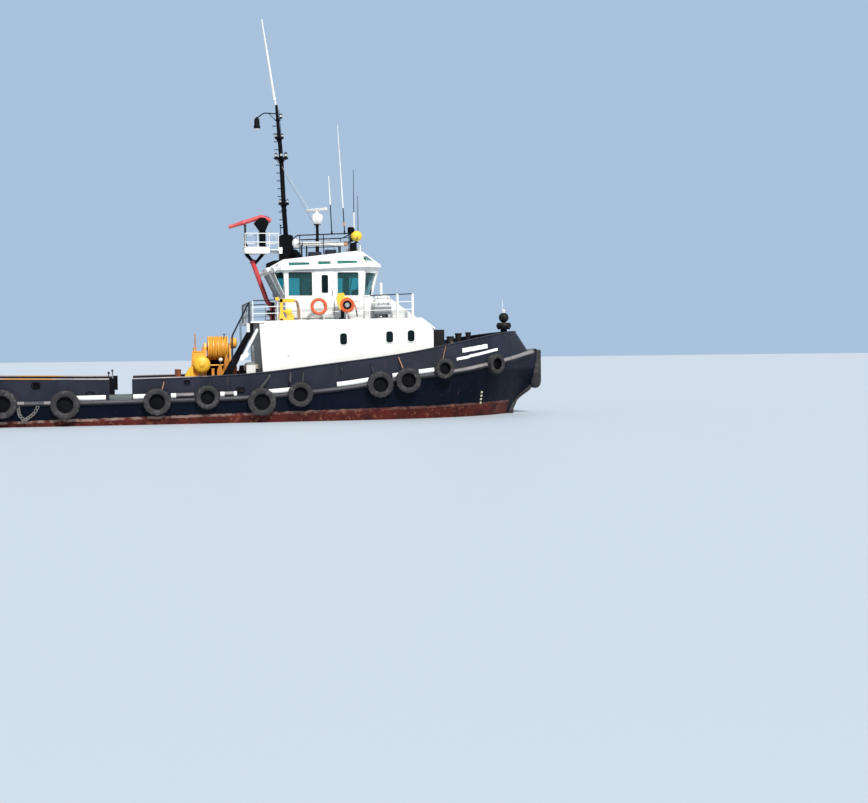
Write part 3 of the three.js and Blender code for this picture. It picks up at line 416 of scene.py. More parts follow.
class Finish:
    """A material whose nodes are added by short calls. Every call returns the socket that holds its result."""

    def __init__(self, name, colour, roughness=0.5, metallic=0.0, **shader):
        self.material = bpy.data.materials.new(name)
        self.material.use_nodes = True
        self.nodes = self.material.node_tree.nodes
        self.shader = self.nodes["Principled BSDF"]
        self.set("Base Color", (*colour, 1.0))
        self.set("Roughness", roughness)
        self.set("Metallic", metallic)
        for socket, value in shader.items():
            self.set(socket.replace("_", " "), value)
        self.place = self.add("TexCoord").outputs["Object"]
        FINISHES[name] = self.material

    def set(self, socket, value):
        """Gives one of the shader's sockets a value or a link."""
        self.fill(self.shader.inputs[socket], value)

    def fill(self, socket, value):
        """Links a socket, or sets it where the value is a plain number or colour."""
        if isinstance(value, bpy.types.NodeSocket):
            self.material.node_tree.links.new(value, socket)
        else:
            socket.default_value = value

    def add(self, kind, inputs=(), **settings):
        """A new node with its settings, and its inputs filled in order or by name."""
        node = self.nodes.new("ShaderNode" + kind)
        for key, value in settings.items():
            setattr(node, key, value)
        for key, value in inputs.items() if isinstance(inputs, dict) else enumerate(inputs):
            self.fill(node.inputs[key], value)
        return node

    def maths(self, operation, *values):
        """One arithmetic step."""
        return self.add("Math", values, operation=operation).outputs[0]

    def times(self, *values):
        """The product of two values."""
        return self.maths("MULTIPLY", *values)

    def plus(self, *values):
        """The sum of two values."""
        return self.maths("ADD", *values)

    def less(self, *values):
        """The first value less the second."""
        return self.maths("SUBTRACT", *values)

    def colour(self):
        """The socket that the shader's colour comes from so far."""
        return self.shader.inputs["Base Color"].links[0].from_socket

    def dull(self, scale, detail, spread, least):
        """Roughness that varies in clouds, from the least value up."""
        self.set("Roughness", self.plus(self.times(self.cloud(scale, detail), spread), least))

    def stretched(self, x, y, z):
        """The place on the boat, scaled along each axis."""
        return self.add("Mapping", {"Vector": self.place, "Scale": (x, y, z)}).outputs[0]

    def cloud(self, scale, detail=4.0, place=None, roughness=0.55):
        """Soft noise between 0 and 1."""
        inputs = {"Vector": place or self.place, "Scale": scale, "Detail": detail, "Roughness": roughness}
        return self.add("TexNoise", inputs).outputs["Fac"]

    def step(self, value, low, high):
        """0 below low, 1 above high and a smooth rise between. With low over high it falls."""
        node = self.add("MapRange", {"Value": value, "From Min": low, "From Max": high},
                        interpolation_type="SMOOTHSTEP")
        return node.outputs[0]

    def mix(self, share, first, second):
        """A colour between two colours."""
        node = self.add("Mix", data_type="RGBA")
        self.fill(node.inputs["Factor"], share)
        for socket, value in ((node.inputs[6], first), (node.inputs[7], second)):
            self.fill(socket, (*value, 1.0) if isinstance(value, tuple) and len(value) == 3 else value)
        return node.outputs[2]

    def bump(self, height, distance, strength=1.0, after=None):
        """Bumps the surface by a height socket, in metres, on top of an earlier bump."""
        inputs = {"Height": height, "Distance": distance, "Strength": strength}
        if after is not None:
            inputs["Normal"] = after
        result = self.add("Bump", inputs).outputs[0]
        self.set("Normal", result)
        return result

    def axis(self, name):
        """One coordinate of the place on the boat, in metres."""
        return self.add("SeparateXYZ", [self.place]).outputs[name]


print("the helper is ready")

# %% [markdown]
# Painted steel.
# Nearly everything above the deck is steel under roller-applied paint. The same recipe serves for all of
# it: slow clouds of fading, fine grain in the gloss, streaks that run down because water does, and rust
# that shows where two noises agree. Only the colours and amounts change, so it is one function.

# %% Painted steel
RUST = (0.22, 0.075, 0.028)
GRIME = (0.11, 0.1, 0.085)


def paint(name, colour, faded, roughness=0.42, rust=0.3, grime=0.3, dents=0.0015, shine=0.5):
    """Roller-applied paint with fading, grime streaks, rust specks and a faint orange peel."""
    made = Finish(name, colour, roughness, Specular_IOR_Level=shine)
    tone = made.mix(made.step(made.cloud(0.9, 5.0), 0.35, 0.72), colour, faded)
    streak = made.cloud(1.6, 6.0, made.stretched(2.4, 2.4, 0.22))
    dirty = made.times(made.step(streak, 0.56, 0.8), grime)
    tone = made.mix(dirty, tone, GRIME)
    specks = made.step(made.cloud(7.0, 7.0, roughness=0.7), 0.64, 0.72)
    weeping = made.step(made.cloud(2.3, 7.0, made.stretched(3.0, 3.0, 0.35)), 0.63, 0.74)
    rusty = made.times(made.maths("MAXIMUM", specks, weeping), rust)
    made.set("Base Color", made.mix(rusty, tone, RUST))
    gloss = made.plus(made.times(made.cloud(5.0, 5.0), 0.3), roughness - 0.15)
    made.set("Roughness", made.plus(gloss, made.times(rusty, 0.35)))
    waves = made.bump(made.cloud(1.7, 2.0), dents * 6, 0.35)
    made.bump(made.cloud(55.0, 3.0), dents, 0.25, after=waves)
    return made


paint("white", (0.84, 0.84, 0.82), (0.76, 0.76, 0.73), 0.38, rust=0.12, grime=0.1)
paint("black", (0.003, 0.0033, 0.0042), (0.006, 0.0065, 0.0085), 0.55, rust=0.06, grime=0.03, shine=0.05)
paint("red", (0.52, 0.026, 0.036), (0.6, 0.09, 0.09), 0.4, rust=0.12)
paint("orange", (0.9, 0.39, 0.025), (0.9, 0.46, 0.06), 0.42, rust=0.18, grime=0.1)
paint("yellow", (0.9, 0.48, 0.02), (0.9, 0.55, 0.07), 0.42, rust=0.14, grime=0.1)
paint("bright_yellow", (0.88, 0.56, 0.02), (0.88, 0.64, 0.09), 0.35, rust=0.1, grime=0.1)
paint("slate", (0.0098, 0.0125, 0.0235), (0.0175, 0.0205, 0.035), 0.52, rust=0.14, grime=0.07, dents=0.003, shine=0.18)
paint("grey", (0.22, 0.23, 0.24), (0.34, 0.34, 0.34), 0.5, rust=0.35)
paint("cream", (0.66, 0.6, 0.45), (0.58, 0.54, 0.42), 0.45, rust=0.4)
paint("red_orange", (0.62, 0.11, 0.02), (0.66, 0.2, 0.05), 0.42, rust=0.2)


def strake_paint(name, top, faded):
    """Strake paint on the faces that point up, and near-black painted shade on the faces that point down, with a ragged
    border.
    """
    made = paint(name, top, faded, 0.55, rust=0.45, grime=0.4, shine=0.3)
    worn = made.colour()
    up = made.add("SeparateXYZ", [made.add("NewGeometry").outputs["Normal"]]).outputs["Z"]
    ragged = made.plus(up, made.times(made.less(made.cloud(4.0, 6.0), 0.5), 0.7))
    # painted shade: by its normal, the underside takes a near-black tone in place of the paint
    made.set("Base Color", made.mix(made.step(ragged, -0.35, 0.1), (0.014, 0.015, 0.02), worn))


def raft_paint():
    """Glass fibre, white above a line a little under its middle and grey below it."""
    made = paint("raft", (0.82, 0.82, 0.79), (0.74, 0.74, 0.71), 0.3)
    pale = made.colour()
    made.set("Base Color", made.mix(made.step(made.axis("Z"), 4.925, 4.935), (0.22, 0.23, 0.24), pale))


def bollard_paint():
    """Black paint with a tan patch where ropes have rubbed low down."""
    made = paint("tan_black", (0.01, 0.01, 0.012), (0.02, 0.02, 0.024), 0.5, rust=0.3)
    dark = made.colour()
    low = made.times(made.step(made.axis("Z"), 3.42, 3.3), made.step(made.axis("X"), 8.86, 8.92))
    made.set("Base Color", made.mix(made.times(low, made.step(made.cloud(4.0, 6.0), 0.3, 0.5)), dark,
                                    (0.34, 0.2, 0.12)))


strake_paint("strake_grey", (0.066, 0.063, 0.072), (0.034, 0.034, 0.043))
strake_paint("strake_pale", (0.25, 0.225, 0.225), (0.15, 0.14, 0.145))
raft_paint()
bollard_paint()
print("painted finishes:", len(FINISHES))

# %% The rail's paint: worn pale aft, dark towards the bow
def rail_paint():
    """Pinkish primer and orange rust where ropes have rubbed the after rail, dark paint on the rest."""
    made = paint("rail_paint", (0.42, 0.36, 0.35), (0.24, 0.21, 0.22), 0.52, rust=0.7, grime=0.5, shine=0.3)
    pale = made.colour()
    x = made.axis("X")
    rubbed = made.times(made.step(x, -11.0, -10.6), made.step(x, -8.4, -9.0))
    rubbed = made.times(rubbed, made.step(made.cloud(3.0, 6.0), 0.28, 0.4))
    pale = made.mix(rubbed, pale, (0.44, 0.23, 0.075))
    forward = made.plus(x, made.times(made.less(made.cloud(1.2, 6.0), 0.5), 3.0))
    made.set("Base Color", made.mix(made.step(forward, -3.3, -1.8), pale, (0.024, 0.026, 0.038)))


rail_paint()
print("with the rail's paint:", len(FINISHES))

# %% [markdown]
# The hull's paint.
# Three coats meet on the side: rust-red below, a worn pale band where the water laps, and near-black blue
# above. The meeting line climbs a little towards the bow because she floats by the stern. Building the
# bands as strips would leave steps in the plating, so the height above the floating line picks the coat.
# Faint seams mark the plates, about three metres by one, and shallow dents lie between the frames.

# %% Hull paint
BOOT_Z = 0.435  # top of the red at amidships
BOOT_SLOPE = 0.018  # its climb towards the bow
BAND = 0.1


def hull_paint():
    """Blue-black topsides, a worn pale band and rust-red bottom paint, over dented plating."""
    made = Finish("hull", (0.004, 0.009, 0.02), 0.42, Specular_IOR_Level=0.06)
    x, z = made.axis("X"), made.axis("Z")
    edge = made.plus(made.times(x, BOOT_SLOPE), BOOT_Z)
    height = made.less(z, edge)
    ragged = made.times(made.less(made.cloud(2.0, 7.0, roughness=0.7), 0.5), 0.16)
    height = made.plus(height, ragged)
    blue = made.mix(made.step(made.cloud(0.8, 6.0), 0.38, 0.7), (0.001, 0.003, 0.009), (0.003, 0.006, 0.013))
    salt = made.step(made.cloud(1.5, 6.0, made.stretched(2.0, 2.0, 0.25)), 0.6, 0.8)
    blue = made.mix(made.times(salt, 0.05), blue, (0.16, 0.16, 0.17))
    # forward of about x 11 and above about z 2.1 the blue turns a lighter slate-blue
    bow = made.times(made.step(x, 10.8, 11.1), made.step(z, 2.02, 2.2))
    blue = made.mix(bow, blue, (0.0125, 0.015, 0.026))
    red = made.mix(made.step(made.cloud(1.3, 6.0), 0.35, 0.7), (0.09, 0.018, 0.014), (0.034, 0.009, 0.009))
    red = made.mix(made.times(made.step(made.cloud(6.0, 6.0), 0.56, 0.66), 0.6), red, (0.24, 0.095, 0.06))
    band_clean = made.step(made.cloud(3.0, 6.0, made.stretched(0.6, 0.6, 1.0), 0.65), 0.4, 0.55)
    in_band = made.times(made.step(height, -BAND - 0.02, -BAND + 0.01), band_clean)
    aft = made.plus(made.times(made.step(x, 6.0, -9.0), 0.65), 0.25)
    side = made.mix(made.times(in_band, aft), red, (0.27, 0.195, 0.165))
    above = made.maths("MAXIMUM", made.step(height, -0.008, 0.008), made.step(x, 11.4, 11.55))
    colour = made.mix(above, side, blue)
    scrape = made.cloud(3.6, 8.0, made.stretched(0.5, 0.5, 3.2), 0.65)
    rusty = made.times(made.step(scrape, 0.64, 0.72), 0.22)
    made.set("Base Color", made.mix(rusty, colour, RUST))
    made.dull(3.0, 5.0, 0.35, 0.28)
    flat = made.add("CombineXYZ", [x, z, 0.0]).outputs[0]
    plates = made.add("TexBrick", {"Vector": flat, "Scale": 1.0, "Mortar Size": 0.012, "Mortar Smooth": 0.6,
                                   "Brick Width": 3.4, "Row Height": 1.15})
    seam = made.bump(plates.outputs["Fac"], 0.01, 0.7)
    frames = made.maths("SINE", made.times(x, 2 * pi / 0.62))
    hungry = made.times(frames, made.cloud(0.7, 2.0))
    dented = made.bump(hungry, 0.01, 0.5, after=seam)
    made.bump(made.cloud(24.0, 5.0), 0.003, 0.4, after=dented)


hull_paint()
print("with the hull's paint:", len(FINISHES))

# %% [markdown]
# Deck, rubber, glass and small finishes.
# Deck paint is full of sand for grip, so it is dull and rough. Rubber that has been dragged along quays
# is grey on its high spots. Window glass is tinted blue-green and truly clear, so that one looks through
# the cabin and out on the far side, and whatever stands inside is a dark shape against the sky.

# %% Deck, rubber and window glass
def deck_paint():
    """Grippy deck paint, paler and darker in clouds, with rusty patches."""
    made = Finish("deck", (0.1, 0.13, 0.12), 0.8)
    tone = made.mix(made.step(made.cloud(0.9, 6.0), 0.35, 0.7), (0.06, 0.085, 0.078), (0.15, 0.165, 0.15))
    rusty = made.times(made.step(made.cloud(2.6, 8.0, roughness=0.68), 0.6, 0.7), 0.65)
    made.set("Base Color", made.mix(rusty, tone, (0.17, 0.075, 0.035)))
    made.dull(1.2, 3.0, 0.35, 0.5)
    coarse = made.bump(made.cloud(140.0, 2.0), 0.002, 0.8)
    made.bump(made.cloud(2.0, 2.0), 0.012, 0.4, after=coarse)


def rubber():
    """Black rubber, scuffed grey in patches and dusted with dried salt."""
    made = Finish("rubber", (0.018, 0.017, 0.017), 0.78, Specular_IOR_Level=0.25)
    scuffed = made.step(made.cloud(5.0, 8.0, roughness=0.7), 0.5, 0.68)
    tone = made.mix(made.times(scuffed, 0.55), (0.027, 0.025, 0.026), (0.11, 0.102, 0.105))
    salty = made.times(made.step(made.cloud(2.2, 7.0), 0.6, 0.74), 0.35)
    made.set("Base Color", made.mix(salty, tone, (0.17, 0.155, 0.145)))
    made.dull(9.0, 4.0, 0.25, 0.62)
    made.bump(made.cloud(38.0, 5.0), 0.004, 0.45)


def window_glass():
    """Blue-green window glass with a breath of salt on it."""
    made = Finish("glass", (0.2, 0.68, 0.68), 0.01, Transmission_Weight=0.96, IOR=1.45)
    salty = made.step(made.cloud(3.0, 6.0), 0.55, 0.85)
    made.set("Base Color", made.mix(made.times(salty, 0.3), (0.17, 0.66, 0.66), (0.4, 0.75, 0.76)))
    made.set("Roughness", made.plus(made.times(salty, 0.05), 0.01))


deck_paint()
rubber()
window_glass()
print("with deck, rubber and glass:", len(FINISHES))

# %% Small parts, metal and rope
def plain(name, colour, spread, roughness, metallic=0.0, grain=20.0, depth=0.001, **shader):
    """A small-part finish: two tones mixed by a cloud, and a fine grain."""
    made = Finish(name, colour, roughness, metallic, **shader)
    other = tuple(c * spread for c in colour)
    made.set("Base Color", made.mix(made.step(made.cloud(3.5, 6.0), 0.32, 0.7), colour, other))
    made.dull(11.0, 4.0, 0.24, roughness - 0.12)
    made.bump(made.cloud(grain, 4.0), depth, 0.4)


def rusted(name, colour, share):
    """Steel that has lost its paint in places: paint tone and two tones of rust."""
    made = Finish(name, colour, 0.75, Specular_IOR_Level=0.25)
    bare = made.step(made.cloud(3.2, 8.0, roughness=0.68), 0.62 - share * 0.3, 0.68 - share * 0.3)
    rust = made.mix(made.step(made.cloud(11.0, 5.0), 0.4, 0.62), (0.27, 0.085, 0.03), (0.095, 0.036, 0.02))
    made.set("Base Color", made.mix(bare, colour, rust))
    made.set("Roughness", made.plus(made.times(bare, 0.25), 0.6))
    made.bump(made.cloud(45.0, 6.0), 0.003, 0.6, after=made.bump(bare, 0.002, 0.6))


# tinted glass, opaque and near-black, with the shade of the room behind it painted in
plain("dark_glass_and_shade", (0.001, 0.007, 0.008), 1.6, 0.24, Specular_IOR_Level=0.12)
plain("roof_glass", (0.02, 0.12, 0.1), 1.5, 0.2, Coat_Weight=0.3)
plain("lamp_glass", (0.72, 0.74, 0.7), 0.85, 0.16, Coat_Weight=0.8)
plain("red_lens", (0.55, 0.02, 0.02), 0.7, 0.16, Coat_Weight=0.8)
plain("green_lens", (0.02, 0.35, 0.1), 0.7, 0.16, Coat_Weight=0.8)
plain("gelcoat", (0.82, 0.82, 0.79), 0.84, 0.28, Coat_Weight=0.4)
plain("buoy_orange", (0.8, 0.1, 0.025), 0.8, 0.48)
plain("reel_red", (0.74, 0.13, 0.03), 0.72, 0.55)
plain("seal", (0.022, 0.022, 0.024), 1.6, 0.6)
plain("wire", (0.34, 0.33, 0.32), 0.55, 0.42, 0.85, 60.0)
plain("bare_steel", (0.42, 0.41, 0.39), 0.6, 0.36, 0.9, 60.0)
plain("bronze", (0.5, 0.34, 0.13), 0.55, 0.32, 0.95, 30.0, 0.002)
plain("zinc", (0.44, 0.45, 0.45), 0.7, 0.62, 0.5, 30.0, 0.003)
plain("chair", (0.02, 0.02, 0.024), 1.8, 0.46, 0.0, 90.0)
plain("cabin_lining", (0.4, 0.38, 0.33), 0.82, 0.65)
plain("desk", (0.03, 0.034, 0.038), 1.7, 0.5, 0.0, 80.0)
plain("screen", (0.006, 0.02, 0.03), 1.5, 0.1, Coat_Weight=0.7)
plain("hose", (0.33, 0.22, 0.13), 0.62, 0.8, 0.0, 160.0, 0.003)
plain("rope", (0.34, 0.29, 0.2), 0.62, 0.88, 0.0, 120.0, 0.005)
plain("tan", (0.55, 0.27, 0.13), 0.75, 0.5)
plain("ochre", (0.66, 0.25, 0.03), 0.72, 0.6)
plain("hawser", (0.9, 0.44, 0.045), 0.86, 0.85, 0.0, 110.0, 0.006)
plain("hanger", (0.05, 0.048, 0.05), 0.7, 0.8)
plain("pale_chain", (0.17, 0.16, 0.16), 0.6, 0.62, 0.2, 60.0)
rusted("rusty_orange", (0.46, 0.12, 0.06), 0.75)
rusted("rusty_steel", (0.055, 0.047, 0.045), 0.55)
rusted("rusty_black", (0.006, 0.006, 0.007), 0.05)
# painted shade: the house's after wall gets a dark blue-grey in place of white, for the shade that lies on it
paint("after_wall_shade", (0.03, 0.052, 0.06), (0.085, 0.125, 0.135), 0.5, rust=0.15)


def cabin_paint():
    """White outside; the faces that look towards the middle of the room are near-black, as painted shade for the dim
    room inside.
    """
    made = paint("cabin_paint", (0.84, 0.84, 0.82), (0.76, 0.76, 0.73), 0.38, rust=0.12, grime=0.1)
    pale = made.colour()
    from_middle = made.add("VectorMath", [made.place, (2.9, 0.0, 6.0)], operation="SUBTRACT").outputs["Vector"]
    looks = made.add("VectorMath", [from_middle, made.add("NewGeometry").outputs["Normal"]],
                     operation="DOT_PRODUCT").outputs["Value"]
    # painted shade: inward-looking faces inside the wheelhouse walls take a near-black tone
    inside = made.step(made.maths("ABSOLUTE", made.axis("Y")), 2.395, 2.375)
    inside = made.times(inside, made.step(looks, -1.0, -1.4))
    made.set("Base Color", made.mix(inside, pale, (0.035, 0.04, 0.042)))


cabin_paint()
print("finishes:", len(FINISHES))

# %% [markdown]
# The lines of the hull.
# A naval architect draws a hull as sections, cut across the boat at chosen stations. The table holds
# those cuts: the keel, the turn of the bilge, the side and the deck edge. A straight skin between them
# would show a knuckle at each one. A curve that never overshoots its points, worked out for each column,
# gives the fair sweep of plates that were rolled and pulled in by the shipyard.

# %% Stations and a fair curve through them
# x, keel z, keel half, bilge half, bilge z, side half, side z, deck half, deck z
STATIONS = np.array([
    (-13.2, -0.2, 1.5, 2.15, -0.06, 2.65, 0.38, 2.76, 1.1),
    (-12.4, -0.26, 2.2, 3.05, -0.12, 3.5, 0.33, 3.62, 1.08),
    (-11.2, -0.4, 2.45, 3.4, -0.25, 3.85, 0.22, 3.92, 1.055),
    (-8.5, -0.95, 2.3, 3.5, -0.7, 3.92, 0.1, 3.99, 1.055),
    (-5.0, -2.3, 1.8, 3.45, -1.45, 3.95, 0.0, 4.0, 1.085),
    (-1.0, -2.9, 1.55, 3.4, -1.85, 3.95, 0.0, 4.0, 1.15),
    (3.0, -2.9, 1.4, 3.25, -1.8, 3.9, 0.05, 4.0, 1.46),
    (6.0, -2.88, 0.95, 2.85, -1.7, 3.65, 0.15, 3.98, 1.88),
    (8.5, -2.65, 0.5, 1.95, -1.45, 2.95, 0.35, 3.66, 2.18),
    (10.2, -1.85, 0.2, 1.05, -0.9, 2.0, 0.6, 2.98, 2.48),
    (11.3, -0.45, 0.12, 0.48, 0.05, 1.15, 1.0, 2.18, 2.69),
    (12.0, 0.7, 0.09, 0.33, 0.95, 0.72, 1.5, 1.45, 2.84),
    (12.6, 1.22, 0.08, 0.23, 1.4, 0.43, 1.9, 0.78, 2.95),
    (12.87, 1.45, 0.07, 0.16, 1.65, 0.28, 2.1, 0.4, 3.0),
])
DECK_HALF, DECK_Z = 7, 8


def fair(column):
    """A function of x: a smooth curve through one column that never overshoots between two stations."""
    x, y = STATIONS[:, 0], STATIONS[:, column]
    slope = np.diff(y) / np.diff(x)
    lean = np.zeros(len(x))
    same = slope[:-1] * slope[1:] > 0
    lean[1:-1][same] = 2 * slope[:-1][same] * slope[1:][same] / (slope[:-1][same] + slope[1:][same])
    lean[0], lean[-1] = slope[0], slope[-1]

    def value(at):
        """The curve's value at some x."""
        k = int(np.clip(np.searchsorted(x, at) - 1, 0, len(slope) - 1))
        run = x[k + 1] - x[k]
        t = (np.clip(at, x[0], x[-1]) - x[k]) / run
        rise = y[k + 1] - y[k]
        return float(y[k] + t * run * lean[k] + t * t * (3 * rise - run * (2 * lean[k] + lean[k + 1]))
                     + t ** 3 * (run * (lean[k] + lean[k + 1]) - 2 * rise))
    return value


CURVES = [fair(column) for column in range(STATIONS.shape[1])]
deck_half, deck_z = CURVES[DECK_HALF], CURVES[DECK_Z]
print("deck half breadth amidships:", round(deck_half(0.0), 2), "m")

# %% Hull plating and deck
CAMBER = 0.02
SHAFT_Y, SHAFT_Z = 1.65, -1.8
CHINE_ROUND = 0.3  # share of each side of a chine that is rounded off
ROUND_STEPS = (0.0, 0.25, 0.5, 0.75, 1.0)
STEM_ROUND = 0.16  # how far the stem's rounded nose stands ahead of the last station
NOSE_TURNS = (0.5, 1.0, 1.35, 1.54)


def hull_half(x):
    """Half a section from the keel to the deck edge, with the two chines rounded."""
    keel_z, keel, bilge, bilge_z, side, side_z, deck, top = (CURVES[c](x) for c in range(1, 9))
    corners = [Vector((0.0, keel_z)), Vector((keel, keel_z)), Vector((bilge, bilge_z)),
               Vector((side, side_z)), Vector((deck, top))]
    out = [corners[0]]
    for a, b, c in zip(corners, corners[1:], corners[2:]):
        start, end = b.lerp(a, CHINE_ROUND), b.lerp(c, CHINE_ROUND)
        out += [start.lerp(b, t).lerp(b.lerp(end, t), t) for t in ROUND_STEPS]
    return [*out, out[-1].lerp(corners[-1], 0.34), out[-1].lerp(corners[-1], 0.67), corners[-1]]


def hull_ring(x, narrow=1.0, forward=0.0):
    """One closed ring: the port side up from the keel, over the deck, and down the starboard side."""
    half = hull_half(x)
    port = [(x + forward, p.x * narrow, p.y) for p in half]
    starboard = [(x + forward, -p.x * narrow, p.y) for p in reversed(half[1:])]
    deck = deck_half(x) * narrow
    crown = [(x + forward, deck * s, deck_z(x) + CAMBER * (1 - s * s)) for s in (0.6, 0.0, -0.6)]
    return [*port, *crown, *starboard]


hull_x = [*np.arange(STATIONS[0][0], 11.0, 0.3), *np.arange(11.0, STATIONS[-1][0], 0.12), STATIONS[-1][0]]
rings = [hull_ring(x) for x in hull_x]
rings += [hull_ring(STATIONS[-1][0], cos(t), STEM_ROUND * sin(t)) for t in NOSE_TURNS]
hull_points, hull_faces = loft(rings)
side_count = len(hull_half(0.0))
deck_columns = range(side_count - 1, side_count + 3)
ring_size = len(rings[0])
on_deck, plating = [], []
for face in hull_faces:
    low, high = sorted((face[0] % ring_size, face[1] % ring_size))
    deck = len(face) == 4 and low in deck_columns and high - 1 in deck_columns
    (on_deck if deck else plating).append(face)


def stern_gear():
    """Stern tubes with their struts, and the skeg that guards them."""
    shapes = []
    tube_profile = [(0.0, 0.0), (0.2, 0.0), (0.225, 0.5), (0.225, 4.2), (0.0, 4.2)]
    for y in (-SHAFT_Y, SHAFT_Y):
        shapes.append(lathe(tube_profile, (-9.44, y, SHAFT_Z), (1, 0, 0), 24))
        strut = [(-9.34, -0.045), (-9.22, -0.065), (-9.02, -0.045), (-8.86, 0.0), (-9.02, 0.045), (-9.22, 0.065)]
        shapes.append(prism([(x, s + y) for x, s in strut], SHAFT_Z, -0.72, "z"))
    skeg = [(-4.0, -2.0), (-1.0, -2.88), (-3.6, -2.9), (-8.8, -2.75), (-9.3, -0.9), (-7.5, -0.9)]
    shapes.append(prism(skeg, -0.1, 0.1))
    return shapes


piece("hull_plating", {"hull": [(hull_points, plating), *stern_gear()], "deck": [(hull_points, on_deck)]},
      slot="hull_paint", replaces=["hull"], smooth=32)
print("hull:", len(hull_points), "points")

# %% [markdown]
# Small things welded to the hull.
# Zinc blocks keep the sea from eating the steel around the bronze. Plain ticks at bow and stern let the
# crew read how deep she floats; hers carry no figures here. Each follows the hull's own curve, because
# a flat strip would float off the plates where they bend.

# %% Zinc blocks and draught ticks
def side_half(x, z):
    """The hull's half breadth at a height."""
    half = hull_half(x)
    for low, high in zip(half, half[1:]):
        if low.y <= z <= high.y and high.y > low.y:
            return low.x + (high.x - low.x) * (z - low.y) / (high.y - low.y)
    return half[-1].x


def side_patch(x0, x1, z0, z1, proud, side, columns=2, rows=2):
    """A thin plate that lies on the hull's side and stands a little proud of it."""
    rings = []
    for k in range(columns + 1):
        x = x0 + (x1 - x0) * k / columns
        heights = [z0 + (z1 - z0) * r / rows for r in range(rows + 1)]
        outer = [(x, side * (side_half(x, z) + proud), z) for z in heights]
        inner = [(x, side * (side_half(x, z) - 0.02), z) for z in reversed(heights)]
        rings.append([*outer, *inner])
    return handed(loft(rings), -side)


zincs = [side_patch(x, x + 0.42, -0.52, -0.36, 0.045, side) for x in (-10.6, -7.4, -4.2, -1.0, 2.2) for side in (-1, 1)]
piece("zinc_blocks", {"zinc": zincs}, slot="wire", bevel=0.008)
ticks = [side_patch(x0, x0 + 0.1, 0.16 * k + 0.56, 0.16 * k + 0.645, 0.006, side)
         for x0, count in ((9.68, 4), (-11.9, 2)) for k in range(count) for side in (-1, 1)]
piece("draught_ticks", {"cream": ticks}, slot="white_paint")
print("ticks:", len(ticks))

# %% [markdown]
# Bulwarks.
# A bulwark is a steel fence along the deck edge. It is a thin plate held up by brackets, with ports at
# its foot that let a sea run off the deck and framed holes for ropes. One could cut them with a boolean,
# but a plate laid out as a grid can leave cells out and close the edges round them, which never fails.

# %% Bulwark plates with freeing ports and rope holes
# x, half breadth at the foot, top z, lean inboard
BULWARK_AFT = [(-13.08, 1.9, 2.08, 0.0), (-12.95, 2.35, 2.07, 0.0), (-12.35, 3.35, 2.06, 0.0),
               (-11.2, 3.8, 2.03, 0.0), (-8.5, 3.88, 1.985, 0.0), (-6.52, 3.885, 1.96, 0.0)]
BULWARK_FORE = [(-5.59, 3.885, 1.955, 0.0), (-1.0, 3.89, 2.08, 0.0), (3.0, 3.89, 2.51, 0.05),
                (6.0, 3.87, 2.89, 0.1), (8.5, 3.55, 3.33, 0.24), (10.2, 2.87, 3.62, 0.39),
                (11.3, 2.07, 3.76, 0.5), (12.0, 1.34, 3.83, 0.57), (12.35, 0.84, 3.845, 0.6),
                (12.48, 0.45, 3.85, 0.61)]
BULWARK_T = 0.032
RAIL_W, RAIL_T = 0.13, 0.05
# x, width, row of the grid: 1 is a freeing port at the foot, 3 a hole for mooring ropes
HOLES = [(-9.46, 0.3, 3), (-3.34, 0.3, 3), (-1.09, 0.3, 1), (-7.3, 0.3, 1), (-11.9, 0.3, 1)]
ROW_Z = (0.13, 0.35, 0.52, 0.77)  # above the deck
PLATE_STEP = 0.15
SUNK = 0.03  # how far the plate's foot reaches below the deck


def bulwark_path(table, aft):
    """The foot of the plate all the way round, as (x, y, top z, lean), from one gap to the other."""
    starboard = [(x, -half, top, lean) for x, half, top, lean in table]
    port = [(x, -y, top, lean) for x, y, top, lean in reversed(starboard)]
    return smooth_path([*port, *starboard] if aft else [*starboard, *port], PLATE_STEP)


def inward_at(path, i):
    """The level direction from the plate towards the deck."""
    step = Vector(path[min(i + 1, len(path) - 1)][:2]) - Vector(path[max(i - 1, 0)][:2])
    return Vector((-step.y, step.x)).normalized()


